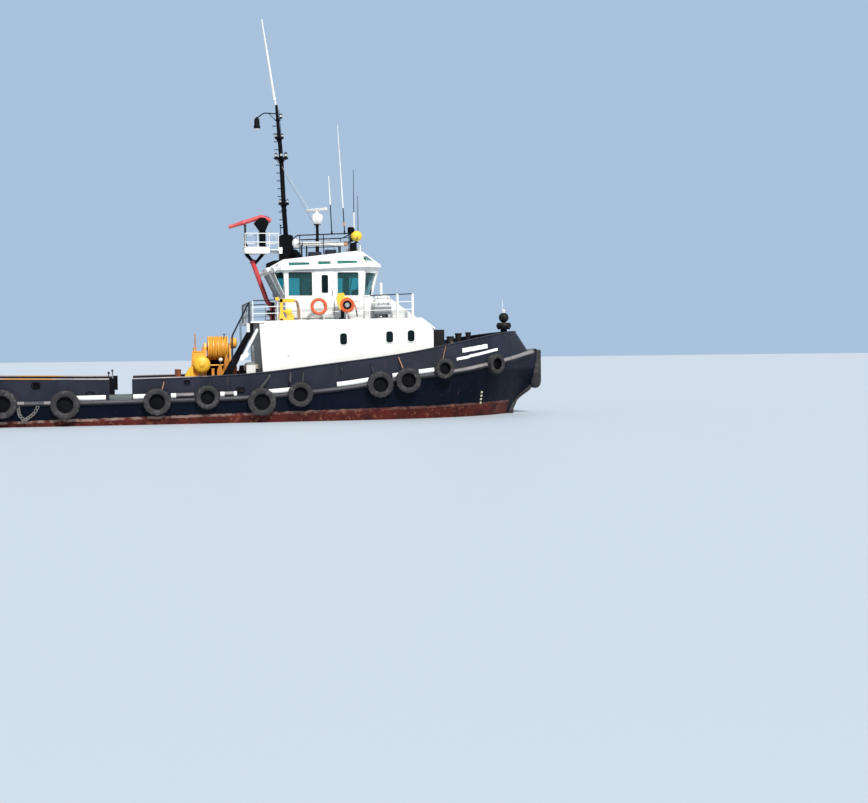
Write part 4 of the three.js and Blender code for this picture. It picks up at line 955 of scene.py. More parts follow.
def bulwark_plate(path):
    """A grid of cells, closed round every hole that is left out."""
    columns = []
    for i, (x, y, top, lean) in enumerate(path):
        foot = deck_z(x) - SUNK
        heights = [foot, *(foot + SUNK + z for z in ROW_Z), top - RAIL_T]
        inward = inward_at(path, i)
        skins = []
        for depth in (0.0, BULWARK_T):
            reach = [lean * (h - foot) / (top - foot) + depth for h in heights]
            skins.append([(x + inward.x * r, y + inward.y * r, h) for r, h in zip(reach, heights)])
        columns.append(skins)
    rows = len(columns[0][0]) - 1

    def is_hole(i, row):
        """True where a cell of the grid is left out."""
        x, y = (path[i][0] + path[i + 1][0]) / 2, path[i][1]
        return abs(y) > 2.0 and any(abs(x - at) < width / 2 and row == of for at, width, of in HOLES)

    index = {}
    points = []
    for i, skins in enumerate(columns):
        for s, skin in enumerate(skins):
            for r, point in enumerate(skin):
                index[i, s, r] = len(points)
                points.append(point)
    solid = {(i, r) for i in range(len(path) - 1) for r in range(rows) if not is_hole(i, r)}
    faces = []
    for i, r in solid:
        faces.append((index[i, 0, r], index[i, 0, r + 1], index[i + 1, 0, r + 1], index[i + 1, 0, r]))
        faces.append((index[i, 1, r], index[i + 1, 1, r], index[i + 1, 1, r + 1], index[i, 1, r + 1]))
        for (di, dr), a, b in (((-1, 0), (i, r), (i, r + 1)), ((1, 0), (i + 1, r + 1), (i + 1, r)),
                               ((0, -1), (i + 1, r), (i, r)), ((0, 1), (i, r + 1), (i + 1, r + 1))):
            if (i + di, r + dr) not in solid:
                faces.append((index[a[0], 0, a[1]], index[a[0], 1, a[1]], index[b[0], 1, b[1]], index[b[0], 0, b[1]]))
    return points, faces


paths = {"aft": bulwark_path(BULWARK_AFT, True), "forward": bulwark_path(BULWARK_FORE, False)}
print("bulwark columns:", {end: len(path) for end, path in paths.items()})

# %% Rails and brackets of the bulwarks
def swept(path, section):
    """A section of (inboard, up) pairs carried along the top of a bulwark."""
    rings = []
    for i, (x, y, top, lean) in enumerate(path):
        inward = inward_at(path, i)
        rings.append([(x + inward.x * (lean + d), y + inward.y * (lean + d), top + h) for d, h in section])
    return loft(rings)


def brackets(path, every):
    """Triangular plates that hold the bulwark up from inside, with a rounded foot."""
    shapes = []
    for i in range(every // 2, len(path), every):
        x, y, top, lean = path[i]
        inward = inward_at(path, i)
        along = Vector((-inward.y, inward.x))
        foot = deck_z(x) + 0.012
        high = top - RAIL_T - 0.01
        outline = [(BULWARK_T - 0.004, foot), (0.36, foot), (0.36, foot + 0.06), (0.12 + lean, high - 0.1),
                   (0.1 + lean, high), (BULWARK_T - 0.004 + lean, high)]
        slabs = [[(x + inward.x * d + along.x * t, y + inward.y * d + along.y * t, z) for d, z in outline]
                 for t in (-0.008, 0.008)]
        shapes.append(loft(slabs))
    return shapes


HALF_RAIL = (RAIL_W - BULWARK_T) / 2
RAIL_SECTION = [(-HALF_RAIL, -RAIL_T + 0.012), (-HALF_RAIL + 0.012, -RAIL_T), (BULWARK_T + HALF_RAIL - 0.012, -RAIL_T),
                (BULWARK_T + HALF_RAIL, -RAIL_T + 0.012), (BULWARK_T + HALF_RAIL, -0.012),
                (BULWARK_T + HALF_RAIL - 0.012, 0.0), (-HALF_RAIL + 0.012, 0.0), (-HALF_RAIL, -0.012)]
for end, path in paths.items():
    piece(f"bulwark_{end}_plate", {"slate": [bulwark_plate(path)]}, slot="bulwark_paint", replaces=[f"bulwark_{end}"])
    section = [(d, h - (0.012 if end == "aft" and h < -0.02 else 0.0)) for d, h in RAIL_SECTION]
    piece(f"bulwark_{end}_rail", {"rail_paint": [swept(path, section)]}, slot="bulwark_paint", smooth=50)
    piece(f"bulwark_{end}_brackets", {"slate": brackets(path, 6)}, slot="bulwark_paint")
print("rail is", RAIL_W, "m wide")

# %% [markdown]
# The rubbing strake.
# A half-round of heavy pipe is welded along the deck edge and takes the knocks. Its paint has worn to grey,
# and to a paler grey at the bow, and its underside is painted near-black as painted shade. Above it, between the tyres,
# short lengths of a second half-round are
# painted white. Each has the place where it was seen, because their rhythm is what the eye remembers.

# %% Strake and the white lengths above it
STRAKE_R, WHITE_R = 0.105, 0.106
STRAKE_STEP = 0.25
WORN = 0.004  # how far the pale paint stands proud
WHITE_LENGTHS = [(-7.84, -6.66), (-5.55, -5.03), (-4.01, -3.8), (-1.97, -1.8), (-1.4, -1.28), (-0.1, 0.99),
                 (2.98, 4.36), (5.4, 5.66), (6.56, 7.29)]
GREY_LENGTHS = [(-3.8, -3.06), (-1.8, -1.4)]
PALE_LENGTHS = [(-10.27, -9.92), (-9.13, -8.83), (8.05, 9.85), (10.65, 12.6)]


def strake(x0, x1, radius, grow=0.0, side=-1, lift=0.0):
    """A half-round along the deck edge, or a length of one lifted above it."""
    rings = []
    count = max(2, round((x1 - x0) / STRAKE_STEP))
    for k in range(count + 1):
        x = x0 + (x1 - x0) * k / count
        slope = (deck_half(x + 0.05) - deck_half(x - 0.05)) / 0.1
        out = Vector((-slope, 1.0)).normalized()
        section = [(cos(t), sin(t)) for t in (pi * (s / 10 - 0.5) for s in range(11))]
        rings.append([(x + out.x * (radius + grow) * c, side * (deck_half(x) + 0.001 + out.y * (radius + grow) * c),
                       deck_z(x) - STRAKE_R + lift + (radius + grow) * s) for c, s in section])
    return handed(loft(rings), side)


for side, word in SIDES:
    worn = [strake(a, b, STRAKE_R, WORN, side) for a, b in PALE_LENGTHS]
    piece(f"strake_{word}", {"strake_grey": [strake(-13.2, 12.6, STRAKE_R, side=side)], "strake_pale": worn},
          slot="hull_paint", smooth=60)
    upper = [[strake(a, b, WHITE_R, 0.0, side, STRAKE_R + WHITE_R - 0.004) for a, b in lengths]
             for lengths in (WHITE_LENGTHS, GREY_LENGTHS)]
    piece(f"strake_lengths_{word}", {"white": upper[0], "strake_pale": upper[1]}, smooth=60)
print("white lengths:", len(WHITE_LENGTHS))

# %% [markdown]
# Tyres.
# Old lorry tyres hang along both sides as fenders. A torus looks like a doughnut, not like a tyre: a real
# one has a flat tread with grooves, a square shoulder, a bulging side wall and a bead round the hole.
# A lathe gives that profile, and pushing in two of every four steps of the tread gives the blocks.

# %% A tyre
# x, z of the centre, outer diameter
TYRES = [(-12.5, 1.0, 1.19), (-10.77, 0.97, 1.19), (-8.29, 0.9, 1.19), (-4.59, 0.96, 1.14), (-2.51, 1.11, 1.02),
         (-0.24, 0.88, 1.19), (1.39, 1.17, 1.07), (4.84, 1.54, 1.14), (6.07, 1.7, 1.1), (7.71, 2.19, 0.89),
         (10.26, 2.35, 0.89)]
TYRE_W = 0.28
TYRE_HOLE = 0.28  # radius of the hole, as a share of the diameter
TYRE_GAP = 0.045  # between the tyre and the hull
TREAD_STEPS, TREAD_DEPTH = 64, 0.014
# share of the half width, share of the way from the hole to the tread, 1 where tread blocks are cut
TYRE_PROFILE = [(-0.52, 0.06, 0), (-0.7, 0.02, 0), (-0.82, 0.1, 0), (-0.92, 0.3, 0), (-1.0, 0.5, 0),
                (-0.98, 0.72, 0), (-0.88, 0.9, 0), (-0.8, 0.985, 1), (-0.46, 1.0, 1), (-0.42, 0.95, 0),
                (-0.34, 0.95, 0), (-0.3, 1.0, 1), (-0.05, 1.0, 1), (0.0, 0.95, 0), (0.05, 1.0, 1), (0.3, 1.0, 1),
                (0.34, 0.95, 0), (0.42, 0.95, 0), (0.46, 1.0, 1), (0.8, 0.985, 1), (0.88, 0.9, 0), (0.98, 0.72, 0),
                (1.0, 0.5, 0), (0.92, 0.3, 0), (0.82, 0.1, 0), (0.7, 0.02, 0), (0.52, 0.06, 0), (0.72, 0.45, 0),
                (0.66, 0.8, 0), (-0.66, 0.8, 0), (-0.72, 0.45, 0)]


def beside_hull(x, z, out, side):
    """The matrix of a place beside the deck edge, turned along it."""
    slope = (deck_half(x + 0.3) - deck_half(x - 0.3)) / 0.6
    place = Matrix.Translation((x, side * (deck_half(x) + out), z))
    return place @ Matrix.Rotation(side * atan(slope), 4, "Z")


def tyre(x, z, diameter, side):
    """A worn lorry tyre on the boat's side, its hole facing out."""
    outer, hole = diameter / 2, diameter * TYRE_HOLE
    rings = []
    for k in range(TREAD_STEPS + 1):
        turn = 2 * pi * k / TREAD_STEPS
        ring = []
        for wide, share, block in TYRE_PROFILE:
            r = hole + (outer - hole) * share - (TREAD_DEPTH if block and k % 4 in (1, 2) else 0.0)
            ring.append((r * cos(turn), wide * TYRE_W / 2, r * sin(turn)))
        rings.append(ring)
    return placed(loft(rings, capped=False), beside_hull(x, z, TYRE_W / 2 + TYRE_GAP, side))


tyre_shapes = {side: [tyre(*row, side) for row in TYRES] for side in (-1, 1)}
print("faces of one tyre:", len(tyre_shapes[1][0][1]))

# %% Chains, and places on the bulwark
LINK_PITCH = 0.72  # from link to link, as a share of a link's length
LINK_HALF = 0.3  # half its width, as a share of its length


def chain(start, end, link=0.1, wire=0.011):
    """Links along a line, each turned a quarter from the last."""
    start, end = Vector(start), Vector(end)
    along = (end - start).normalized()
    side, up = across(along)
    shapes = []
    pitch = link * LINK_PITCH
    for k in range(max(1, round((end - start).length / pitch))):
        middle = start + along * (pitch * (k + 0.5))
        flat = side if k % 2 else up
        oval = [middle + along * (link / 2 * cos(t)) + flat * (link * LINK_HALF * sin(t)) for t in turns(10)]
        shapes.append(tube(oval, wire, 6, closed=True))
    return shapes


def nearest(x, side):
    """The bulwark's path point that is nearest to some x, on one side."""
    return min((p for run in paths.values() for p in run if p[1] * side > 0), key=lambda p: abs(p[0] - x))


def bulwark_face(x, z, side):
    """A point on the bulwark's outer face."""
    path = nearest(x, side)
    share = (z - deck_z(x)) / (path[2] - deck_z(x))
    return Vector((x, path[1] - side * path[3] * share, z))


print("bulwark top amidships:", round(nearest(0.0, 1)[2], 2), "m")

# %% Tyres, their lanyards and the frames of the bulwark's holes
# x, z on the bulwark, x, z at the tyre, half thickness, finish
LANYARDS = [(-4.29, 1.83, -4.38, 1.44, 0.016, "tan"), (0.12, 2.03, -0.29, 1.45, 0.058, "hanger"),
            (1.01, 2.11, 0.96, 1.7, 0.042, "hanger"), (1.56, 2.1, 1.49, 1.7, 0.03, "hanger"),
            (-2.4, 1.81, -2.41, 1.6, 0.014, "hanger"), (3.18, 2.36, 3.2, 2.18, 0.018, "hanger"),
            (4.51, 2.38, 4.57, 2.1, 0.02, "hanger"), (5.72, 2.75, 5.85, 2.22, 0.018, "tan"),
            (7.87, 3.22, 7.65, 2.62, 0.011, "tan")]


def shadow_disc(x, z, diameter, side):
    """A black disc behind a tyre's hole: painted shade, for the shadow seen through it on the hull."""
    disc = lathe([(diameter * 0.34, -0.006), (diameter * 0.34, 0.006)], (0, 0, 0), (0, 1, 0), 24)
    return placed(disc, beside_hull(x, z, 0.125, side))


for side, word in SIDES:
    piece(f"tyres_{word}", {"rubber": tyre_shapes[side], "black": [shadow_disc(*row, side) for row in TYRES]},
          slot="rubber", replaces=[f"fender_belt_{word}"], smooth=30)
    hangers, eyes = {"hanger": [], "tan": []}, []
    for x0, z0, x1, z1, thick, finish in LANYARDS:
        high = bulwark_face(x0, z0, side) + Vector((0, side * 0.03, 0))
        low = Vector((x1, side * (deck_half(x1) + 0.17), z1))
        hangers[finish].append(tube(smooth_path([high, (x0, high.y + side * 0.03, z0 - 0.08), low], 0.06), thick, 8))
        eyes.append(hoop(high, 0.04, 0.013, (1, 0, 0), 14, 6))
        eyes.append(box(high.x - 0.05, high.x + 0.05, high.y - side * 0.045, high.y - side * 0.018, high.z - 0.06,
                        high.z + 0.06))
    piece(f"tyre_hangers_{word}", {**hangers, "slate": eyes}, slot="wire", smooth=70)
    frames_of = {"slate": [], "black": []}
    for at, width, row in HOLES:
        z0, z1 = (deck_z(at) + z for z in ROW_Z[row - 1:row + 1])
        path = nearest(at, side)
        wall = plane((at, path[1], (z0 + z1) / 2), (-side, 0, 0), (0, 0, 1))
        finish = "black" if row == 1 or at == HOLES[0][0] else "slate"
        frames_of[finish].append(placed(flat_frame(-0.13, 0.13, (z0 - z1) / 2 + 0.02, (z1 - z0) / 2 - 0.02, 0.09, 0.05,
                                                   0.022, 0.004), wall))
        # painted shade: a black block just inboard of each rope hole, so that the hole looks dark
        if row == 3:
            frames_of["black"].append(box(at - 0.17, at + 0.17, path[1] - side * 0.05, path[1] - side * 0.2, z0 - 0.03,
                                          z1 + 0.03))
    # a black plate standing in the gap, just forward of the after bulwark's end
    frames_of["black"].append(box(-6.505, -6.29, side * 3.83, side * 3.845, 1.28, 1.95))
    frames_of["slate"] += [bar((-6.53, side * 3.87, 1.95), (-6.53, side * 3.87, 2.16), 0.022, 10),
                           ball((-6.53, side * 3.87, 2.19), 0.055, 14)]
    piece(f"bulwark_hole_frames_{word}", frames_of, slot="bulwark_paint", smooth=50)
print("tyres:", 2 * len(TYRES))

# %% Seams on the bulwark and a slack chain aft
seam_foot, seam_top = bulwark_face(11.17, 2.94, -1), bulwark_face(10.99, 3.67, -1)
seams = [bar(seam_foot, seam_top, 0.008, 6)]
piece("bulwark_seams", {"strake_grey": [*seams, *(ported(s) for s in seams)]}, slot="bulwark_paint")
slack = smooth_path([(-10.16, 0, 0.86), (-10.11, 0, 0.52), (-9.94, 0, 0.31), (-9.72, 0, 0.42), (-9.5, 0, 0.61),
                     (-9.36, 0, 0.88)], 0.122)
slack = [Vector((p[0], -(deck_half(p[0]) + 0.045), p[2])) for p in slack]
piece("slack_chain", {"pale_chain": [s for a, b in zip(slack, slack[1:]) for s in chain(a, b, 0.17, 0.028)]},
      slot="wire", smooth=70)
print("slack chain:", len(slack) - 1, "lengths")

# %% [markdown]
# Dressing the pieces whose shape is already right.
# Flat steel plates are the one thing that the construction model holds as well as any mesh could. Those
# nodes stay: each gets a finish, and a bevel modifier eases its edges by a few millimetres, since a plate
# edge is always ground. Copying them would only give two walls to keep in step.

# %% Finish a node that stays
def dress(node, finish, edge=0.006):
    """Gives a construction node its finish and soft edges."""
    mesh = nodes[node].data
    mesh.materials.clear()
    mesh.materials.append(FINISHES[finish])
    mesh.polygons.foreach_set("material_index", [0] * len(mesh.polygons))
    if edge:
        soften(nodes[node], edge)


print("nodes that can be dressed:", len(nodes))

# %% [markdown]
# House paint with its rust runs.
# The white house tells the boat's age by a few orange runs, each below a fitting that holds water. They
# must stay where they were seen, so each has its own place, width and length, and noise only frays them.

# %% House paint
# x, z of the top, half width, length
RUST_RUNS = [(0.62, 4.2, 0.04, 0.3), (0.38, 3.42, 0.03, 0.3), (1.05, 2.85, 0.14, 0.14), (1.9, 3.46, 0.03, 0.12),
             (4.45, 4.3, 0.03, 0.3), (6.2, 3.32, 0.02, 0.35), (3.4, 3.22, 0.02, 0.3), (1.36, 2.75, 0.02, 0.5)]


def house_paint():
    """White paint with fading, faint grime and rust runs at their own places."""
    made = paint("house_white", (0.86, 0.86, 0.84), (0.8, 0.8, 0.775), 0.36, rust=0.08, grime=0.08)
    x, z = made.axis("X"), made.axis("Z")
    wobble = made.times(made.less(made.cloud(9.0, 5.0), 0.5), 0.09)
    frayed = made.step(made.cloud(5.0, 7.0, made.stretched(2.5, 2.5, 0.5), 0.7), 0.38, 0.66)
    total = 0.0
    for run_x, top, half, length in RUST_RUNS:
        beside = made.maths("ABSOLUTE", made.less(made.plus(x, wobble), run_x))
        narrow = made.step(beside, half, half * 0.2)
        below = made.step(z, top, top - 0.03)
        fading = made.step(z, top - length, top - length * 0.3)
        total = made.maths("MAXIMUM", total, made.times(narrow, made.times(below, fading)))
    before = made.colour()
    share = made.times(made.times(total, frayed), 0.85)
    made.set("Base Color", made.mix(share, before, (0.23, 0.145, 0.095)))


house_paint()
print("rust runs:", len(RUST_RUNS))

# %% [markdown]
# Deckhouse walls with round-cornered ports.
# Each side wall is one long plate with three ports. The holes must be real, because light falls into
# them. A boolean is the plain way to cut a flat plate, and it is applied at once, so what is kept is a mesh.
# A flanged ring with bolts and a thick dark glass close each hole; the glass is opaque and near-black, with the shade
# of the room behind it painted in.

# %% Walls with holes
def pierced(name, node, cutters, finish, edge=0.006):
    """A copy of a wall's mesh with holes cut through it, standing for the wall."""
    mesh = nodes[node].data.copy()
    mesh.materials.clear()
    mesh.materials.append(FINISHES[finish])
    wall = bpy.data.objects.new(name, mesh)
    tool_points, tool_faces = [], []
    for points, faces in cutters:
        base = len(tool_points)
        tool_points += points
        tool_faces += [tuple(base + i for i in face) for face in faces]
    tool_mesh = bpy.data.meshes.new("tool")
    tool_mesh.from_pydata(tool_points, [], tool_faces)
    face_outwards(tool_mesh)
    tool = bpy.data.objects.new("tool", tool_mesh)
    for thing in (wall, tool):
        bpy.context.scene.collection.objects.link(thing)
    modifier = wall.modifiers.new("holes", "BOOLEAN")
    modifier.object = tool
    modifier.solver = "EXACT"
    bpy.context.view_layer.objects.active = wall
    bpy.ops.object.modifier_apply(modifier=modifier.name)
    bpy.data.objects.remove(tool)
    wall.data.polygons.foreach_set("use_smooth", [True] * len(wall.data.polygons))
    wall.data.set_sharp_from_angle(angle=radians(SMOOTH_UP_TO))
    if edge:
        soften(wall, edge)
    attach(wall, "boat")
    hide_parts(node)


HOUSE_Y = 3.0
HOUSE_FRONT_X = 7.45
PORT_W, PORT_H, PORT_ROUND = 0.31, 0.5, 0.12
PORTS = [(3.44, 3.52), (5.48, 3.59), (6.44, 3.63)]  # x, z of the centres
FRONT_PORTS = [(-1.5, 3.3), (0.0, 3.3), (1.5, 3.3)]  # y, z of the centres


def port_outline(a, b, grow=0.0):
    """The outline of a port round its centre, as pairs."""
    half_w, half_h = PORT_W / 2 + grow, PORT_H / 2 + grow
    return round_rect(a - half_w, a + half_w, b - half_h, b + half_h, PORT_ROUND + grow)


def port_fitting(matrix):
    """Flange, bolts, rain brow and glass of one port, in the plane of its wall."""
    frame_shape = flat_frame(-PORT_W / 2, PORT_W / 2, -PORT_H / 2, PORT_H / 2, PORT_ROUND, 0.045, 0.022, 0.03)
    brow = tube([(x, PORT_H / 2 + 0.075 - 1.4 * x * x, 0.02) for x in np.linspace(-0.22, 0.22, 9)], 0.012, 8)
    bolts = [lathe([(0.0, 0.018), (0.012, 0.018), (0.012, 0.03), (0.0, 0.034)], (x, y, 0.0), sides=8)
             for x, y in port_outline(0.0, 0.0, 0.024)[::3]]
    glass = prism([(x, y) for x, y in port_outline(0.0, 0.0, -0.002)], -0.026, -0.012, "z")
    return ([placed(s, matrix) for s in (frame_shape, brow, *bolts)], [placed(glass, matrix)])


for side, word in SIDES:
    holes = [prism(port_outline(x, z), side * HOUSE_Y - 0.3, side * HOUSE_Y + 0.3) for x, z in PORTS]
    pierced(f"house_wall_{word}", f"house_side_{word}", holes, "house_white", 0.004)
holes = [prism([(y, z) for y, z in port_outline(y0, z0)], HOUSE_FRONT_X - 0.3, HOUSE_FRONT_X + 0.3, "x")
         for y0, z0 in FRONT_PORTS]
pierced("house_wall_front", "house_front", holes, "house_white", 0.004)
flanges, glasses = [], []
for x, z in PORTS:
    for side in (-1, 1):
        steel, pane = port_fitting(plane((x, side * HOUSE_Y, z), (-side, 0, 0), (0, 0, 1)))
        flanges, glasses = flanges + steel, glasses + pane
for y, z in FRONT_PORTS:
    steel, pane = port_fitting(plane((HOUSE_FRONT_X, y, z), (0, 1, 0), (0, 0, 1)))
    flanges, glasses = flanges + steel, glasses + pane
piece("port_flanges", {"house_white": flanges}, smooth=50)
piece("port_glasses", {"dark_glass_and_shade": glasses}, slot="window_glass")
print("ports:", len(PORTS) * 2 + len(FRONT_PORTS))

# %% [markdown]
# What is welded to the house.
# Long plates are joined by upright welds, and at the foot a dark kick strip hides the weld to the deck.
# These are small, but they give the wall its scale.

# %% Welds, kick strip, boat deck edge and after wall
def boat_deck_z(x):
    """Top of the boat deck plating, rising forward."""
    return 4.31 + 0.0155 * (x + 0.56)


KICK_X = (0.0, 3.0, 6.0, 7.44)
welds, kicks = [], []
for side in (-1, 1):
    y = side * HOUSE_Y
    for x in (1.72, 3.02, 4.6, 6.02):
        welds.append(bar((x, y, deck_z(x) + 0.02), (x, y, boat_deck_z(x) - 0.07), 0.007, 6))
    kicks.append(prism([*((x, deck_z(x) + 0.01) for x in KICK_X), *((x, deck_z(x) + 0.09) for x in reversed(KICK_X))],
                       y - 0.006, y + 0.006))
piece("house_welds", {"house_white": welds})
piece("kick_strips", {"slate": kicks}, slot="bulwark_paint")
edge_line = [(-0.56, boat_deck_z(-0.56)), (6.92, boat_deck_z(6.92)), (7.5, 3.985)]
edge_band = [(x, z - 0.075) for x, z in reversed(edge_line)]
fascia = [prism([*[(x, z + 0.004) for x, z in edge_line], *edge_band], side * 3.062 - 0.006, side * 3.062 + 0.006)
          for side in (-1, 1)]
fascia.append(box(-0.572, -0.56, -3.066, 3.066, boat_deck_z(-0.56) - 0.075, boat_deck_z(-0.56) + 0.004))
fascia.append(box(7.495, 7.507, -3.066, 3.066, 3.91, 3.989))
rows = [*((x, boat_deck_z(x)) for x in (0.0, 3.5, 6.92)), (7.4, 4.025)]
COVE = [(3.064, 0.06), (3.002, 0.46), (2.99, 0.46), (2.99, 0.06)]  # y, how far below the deck
for side in (-1, 1):
    cove = loft([[(x, side * y, z - drop) for y, drop in COVE] for x, z in rows])
    fascia.append(handed(cove, side))
piece("boat_deck_edge", {"house_white": fascia}, bevel=0.003)
dress("boat_deck", "deck")
dress("forward_trunk", "house_white", 0.012)
# the after wall is dressed dark as painted shade
dress("house_aft", "after_wall_shade", 0.004)
print("welds:", len(welds))

# %% House door
DOOR_Y, DOOR_Z = (0.56, 1.39), (1.29, 3.27)


def aft_face(z):
    """x of the sloping after wall at a height."""
    return 0.02 - 0.22 * (z - 0.6) / (boat_deck_z(-0.2) - 0.6)


door_plane = plane((aft_face(DOOR_Z[0]) - 0.058, DOOR_Y[1], DOOR_Z[0]), (0, -1, 0),
                   (aft_face(DOOR_Z[1]) - aft_face(DOOR_Z[0]), 0, DOOR_Z[1] - DOOR_Z[0]))
door_w, door_h = DOOR_Y[1] - DOOR_Y[0], DOOR_Z[1] - DOOR_Z[0]


def slab(a0, a1, b0, b1, low, high, radius=0.08):
    """A flat plate with round corners, in the plane of the door."""
    return prism(round_rect(a0, a1, b0, b1, radius), low, high, "z")


def house_door():
    """A pressed steel door with round corners, two stiffeners, a port and six dogs."""
    steel = [slab(0.0, door_w, 0.0, door_h, -0.05, -0.012),
             slab(0.05, door_w - 0.05, 0.05, door_h - 0.05, -0.02, 0.0, 0.06)]
    steel += [slab(0.1, door_w - 0.1, b, b + 0.06, -0.01, 0.012, 0.02) for b in (0.35, 0.95)]
    steel.append(shifted(flat_frame(-0.12, 0.12, -0.16, 0.16, 0.1, 0.04, 0.018), door_w / 2, 1.5))
    dogs = []
    for b in (0.28, 0.98, 1.7):
        for a, lean in ((0.03, 1), (door_w - 0.03, -1)):
            dogs.append(bar((a, b, -0.02), (a, b, 0.035), 0.016, 10))
            dogs.append(bar((a, b, 0.028), (a + lean * 0.1, b + 0.05, 0.034), 0.01, 8, 0.007))
    glass = [shifted(slab(-0.12, 0.12, -0.16, 0.16, 0.0, 0.006, 0.1), door_w / 2, 1.5)]
    return {"house_white": steel, "rusty_black": dogs, "dark_glass_and_shade": glass}


door_parts = {finish: [placed(s, door_plane) for s in shapes] for finish, shapes in house_door().items()}
piece("deck_door", door_parts, body="door_aft", slot="white_paint", replaces=["house_door"], bevel=0.004)
coaming = flat_frame(0.0, door_w, 0.0, door_h, 0.08, 0.035, 0.03)
piece("deck_door_coaming", {"house_white": [placed(shifted(coaming, 0, 0, -0.058), door_plane)]})
print("door", round(door_w, 2), "by", round(door_h, 2), "m")

# %% [markdown]
# Wheelhouse windows.
# The wheelhouse has eight walls, and those at the ends lean out towards the roof so that rain and glare
# stay off the glass. Each window gets a rounded frame, a black seal and, ahead, a wiper. A frame is drawn
# flat and then laid on its wall by a matrix, so the same short function serves upright and leaning walls.

# %% Places on the wheelhouse walls
SILL_Z = 5.4
SILL = mirrored([(0.95, -1.3), (1.0, -2.4), (4.42, -2.4), (5.02, -1.25)])
HEAD = mirrored([(0.34, -1.35), (0.93, -2.4), (4.5, -2.4), (5.37, -1.29)])
WINDOW_Z = (5.43, 6.46)


def eave_z(x):
    """Height of the eave, rising forward."""
    return 6.545 + 0.04 * (x - 0.9)


def wall_point(wall, axis, value, z):
    """The point on a wall at a height, where its x (axis 0) or y (axis 1) has the value asked for."""
    ends = []
    for k in (wall, (wall + 1) % 8):
        head_z = eave_z(HEAD[k][0]) + 0.06
        ends.append(Vector((*SILL[k], SILL_Z)).lerp(Vector((*HEAD[k], head_z)), (z - SILL_Z) / (head_z - SILL_Z)))
    share = (value - ends[0][axis]) / (ends[1][axis] - ends[0][axis])
    point = ends[0].lerp(ends[1], share)
    return Vector((point.x, point.y, z))


# wall, axis, first and last value along it; the walls run from the after corner round by starboard
WINDOWS = [(1, 0, 1.14, 2.18), (1, 0, 3.29, 4.23), (2, 1, -2.29, -1.4), (3, 1, -1.1, -0.45), (3, 1, -0.35, 0.35),
           (3, 1, 0.45, 1.1), (4, 1, 1.4, 2.29), (5, 0, 4.23, 3.29), (5, 0, 2.18, 1.14), (6, 1, 2.2, 1.48),
           (7, 1, 1.08, 0.08), (7, 1, -0.08, -1.08), (0, 1, -1.48, -2.2)]


def window_plane(wall, axis, first, last):
    """The plane of a window, with its first corner at the origin, and the window's width and height."""
    low, side, high = (wall_point(wall, axis, v, z)
                       for v, z in ((first, WINDOW_Z[0]), (last, WINDOW_Z[0]), (first, WINDOW_Z[1])))
    return plane(low, side - low, high - low), (side - low).length, (high - low).length


SIDE_WALLS, FRONT_WALLS = (1, 5), (2, 3, 4)
FRAME_INSET, SEAL_INSET = 0.006, 0.01
rings, seals, wipers = [], [], []
for wall, axis, first, last in WINDOWS:
    matrix, width, height = window_plane(wall, axis, first, last)
    # the sliding doors pass close over the frames on the side walls
    proud = 0.0025 if wall in SIDE_WALLS else 0.014
    inner = FRAME_INSET + SEAL_INSET
    shape = flat_frame(FRAME_INSET, width - FRAME_INSET, FRAME_INSET, height - FRAME_INSET, 0.05, 0.045, proud, 0.01)
    rings.append(placed(shape, matrix))
    shape = flat_frame(inner, width - inner, inner, height - inner, 0.045, 0.012, min(proud, 0.009),
                       0.05 if wall in SIDE_WALLS + FRONT_WALLS else 0.002)
    seals.append(placed(shape, matrix))
    if wall in FRONT_WALLS:
        foot = (width * 0.5, height + 0.02, 0.03)
        tip = (width * 0.3, height * 0.38, 0.045)
        wiper = [ball(foot, 0.035, 12), bar(foot, tip, 0.009, 8, 0.006),
                 bar((tip[0] - 0.02, tip[1] - 0.26, 0.028), (tip[0] + 0.03, tip[1] + 0.24, 0.028), 0.01, 8)]
        wipers += [placed(s, matrix) for s in wiper]
piece("window_frames", {"white": rings}, smooth=50)
piece("window_seals", {"seal": seals}, slot="rubber", smooth=50)
piece("wipers", {"black": wipers})
for node in ("glass_forward", "glass_aft"):
    dress(node, "glass", 0.0)
for node in ("wheelhouse_side_starboard", "wheelhouse_side_port", "wheelhouse_front", "wheelhouse_aft"):
    dress(node, "cabin_paint", 0.004)
dress("wheelhouse_roof", "cabin_paint", 0.015)
print("windows:", len(WINDOWS))

# %% Roof lights, eave lip, sill strip and grab rails
def roof_z(x):
    """Height of the flat top of the roof, rising forward."""
    return 7.01 + 0.12 * (x - 0.87)


EAVE_Y, TOP_Y = 2.56, 2.08  # half breadths at the eave and at the flat top
FASCIA = 0.11  # height of the upright edge above the eave


def roof_side(x, share, side, out=0.0):
    """A point on the sloping side of the roof; share runs from the eave up to the top edge."""
    low = Vector((x, side * EAVE_Y, eave_z(x) + FASCIA))
    high = Vector((x, side * TOP_Y, roof_z(x)))
    normal = Vector((0.0, side * (high.z - low.z), abs(high.y - low.y))).normalized()
    return low.lerp(high, share) + normal * out


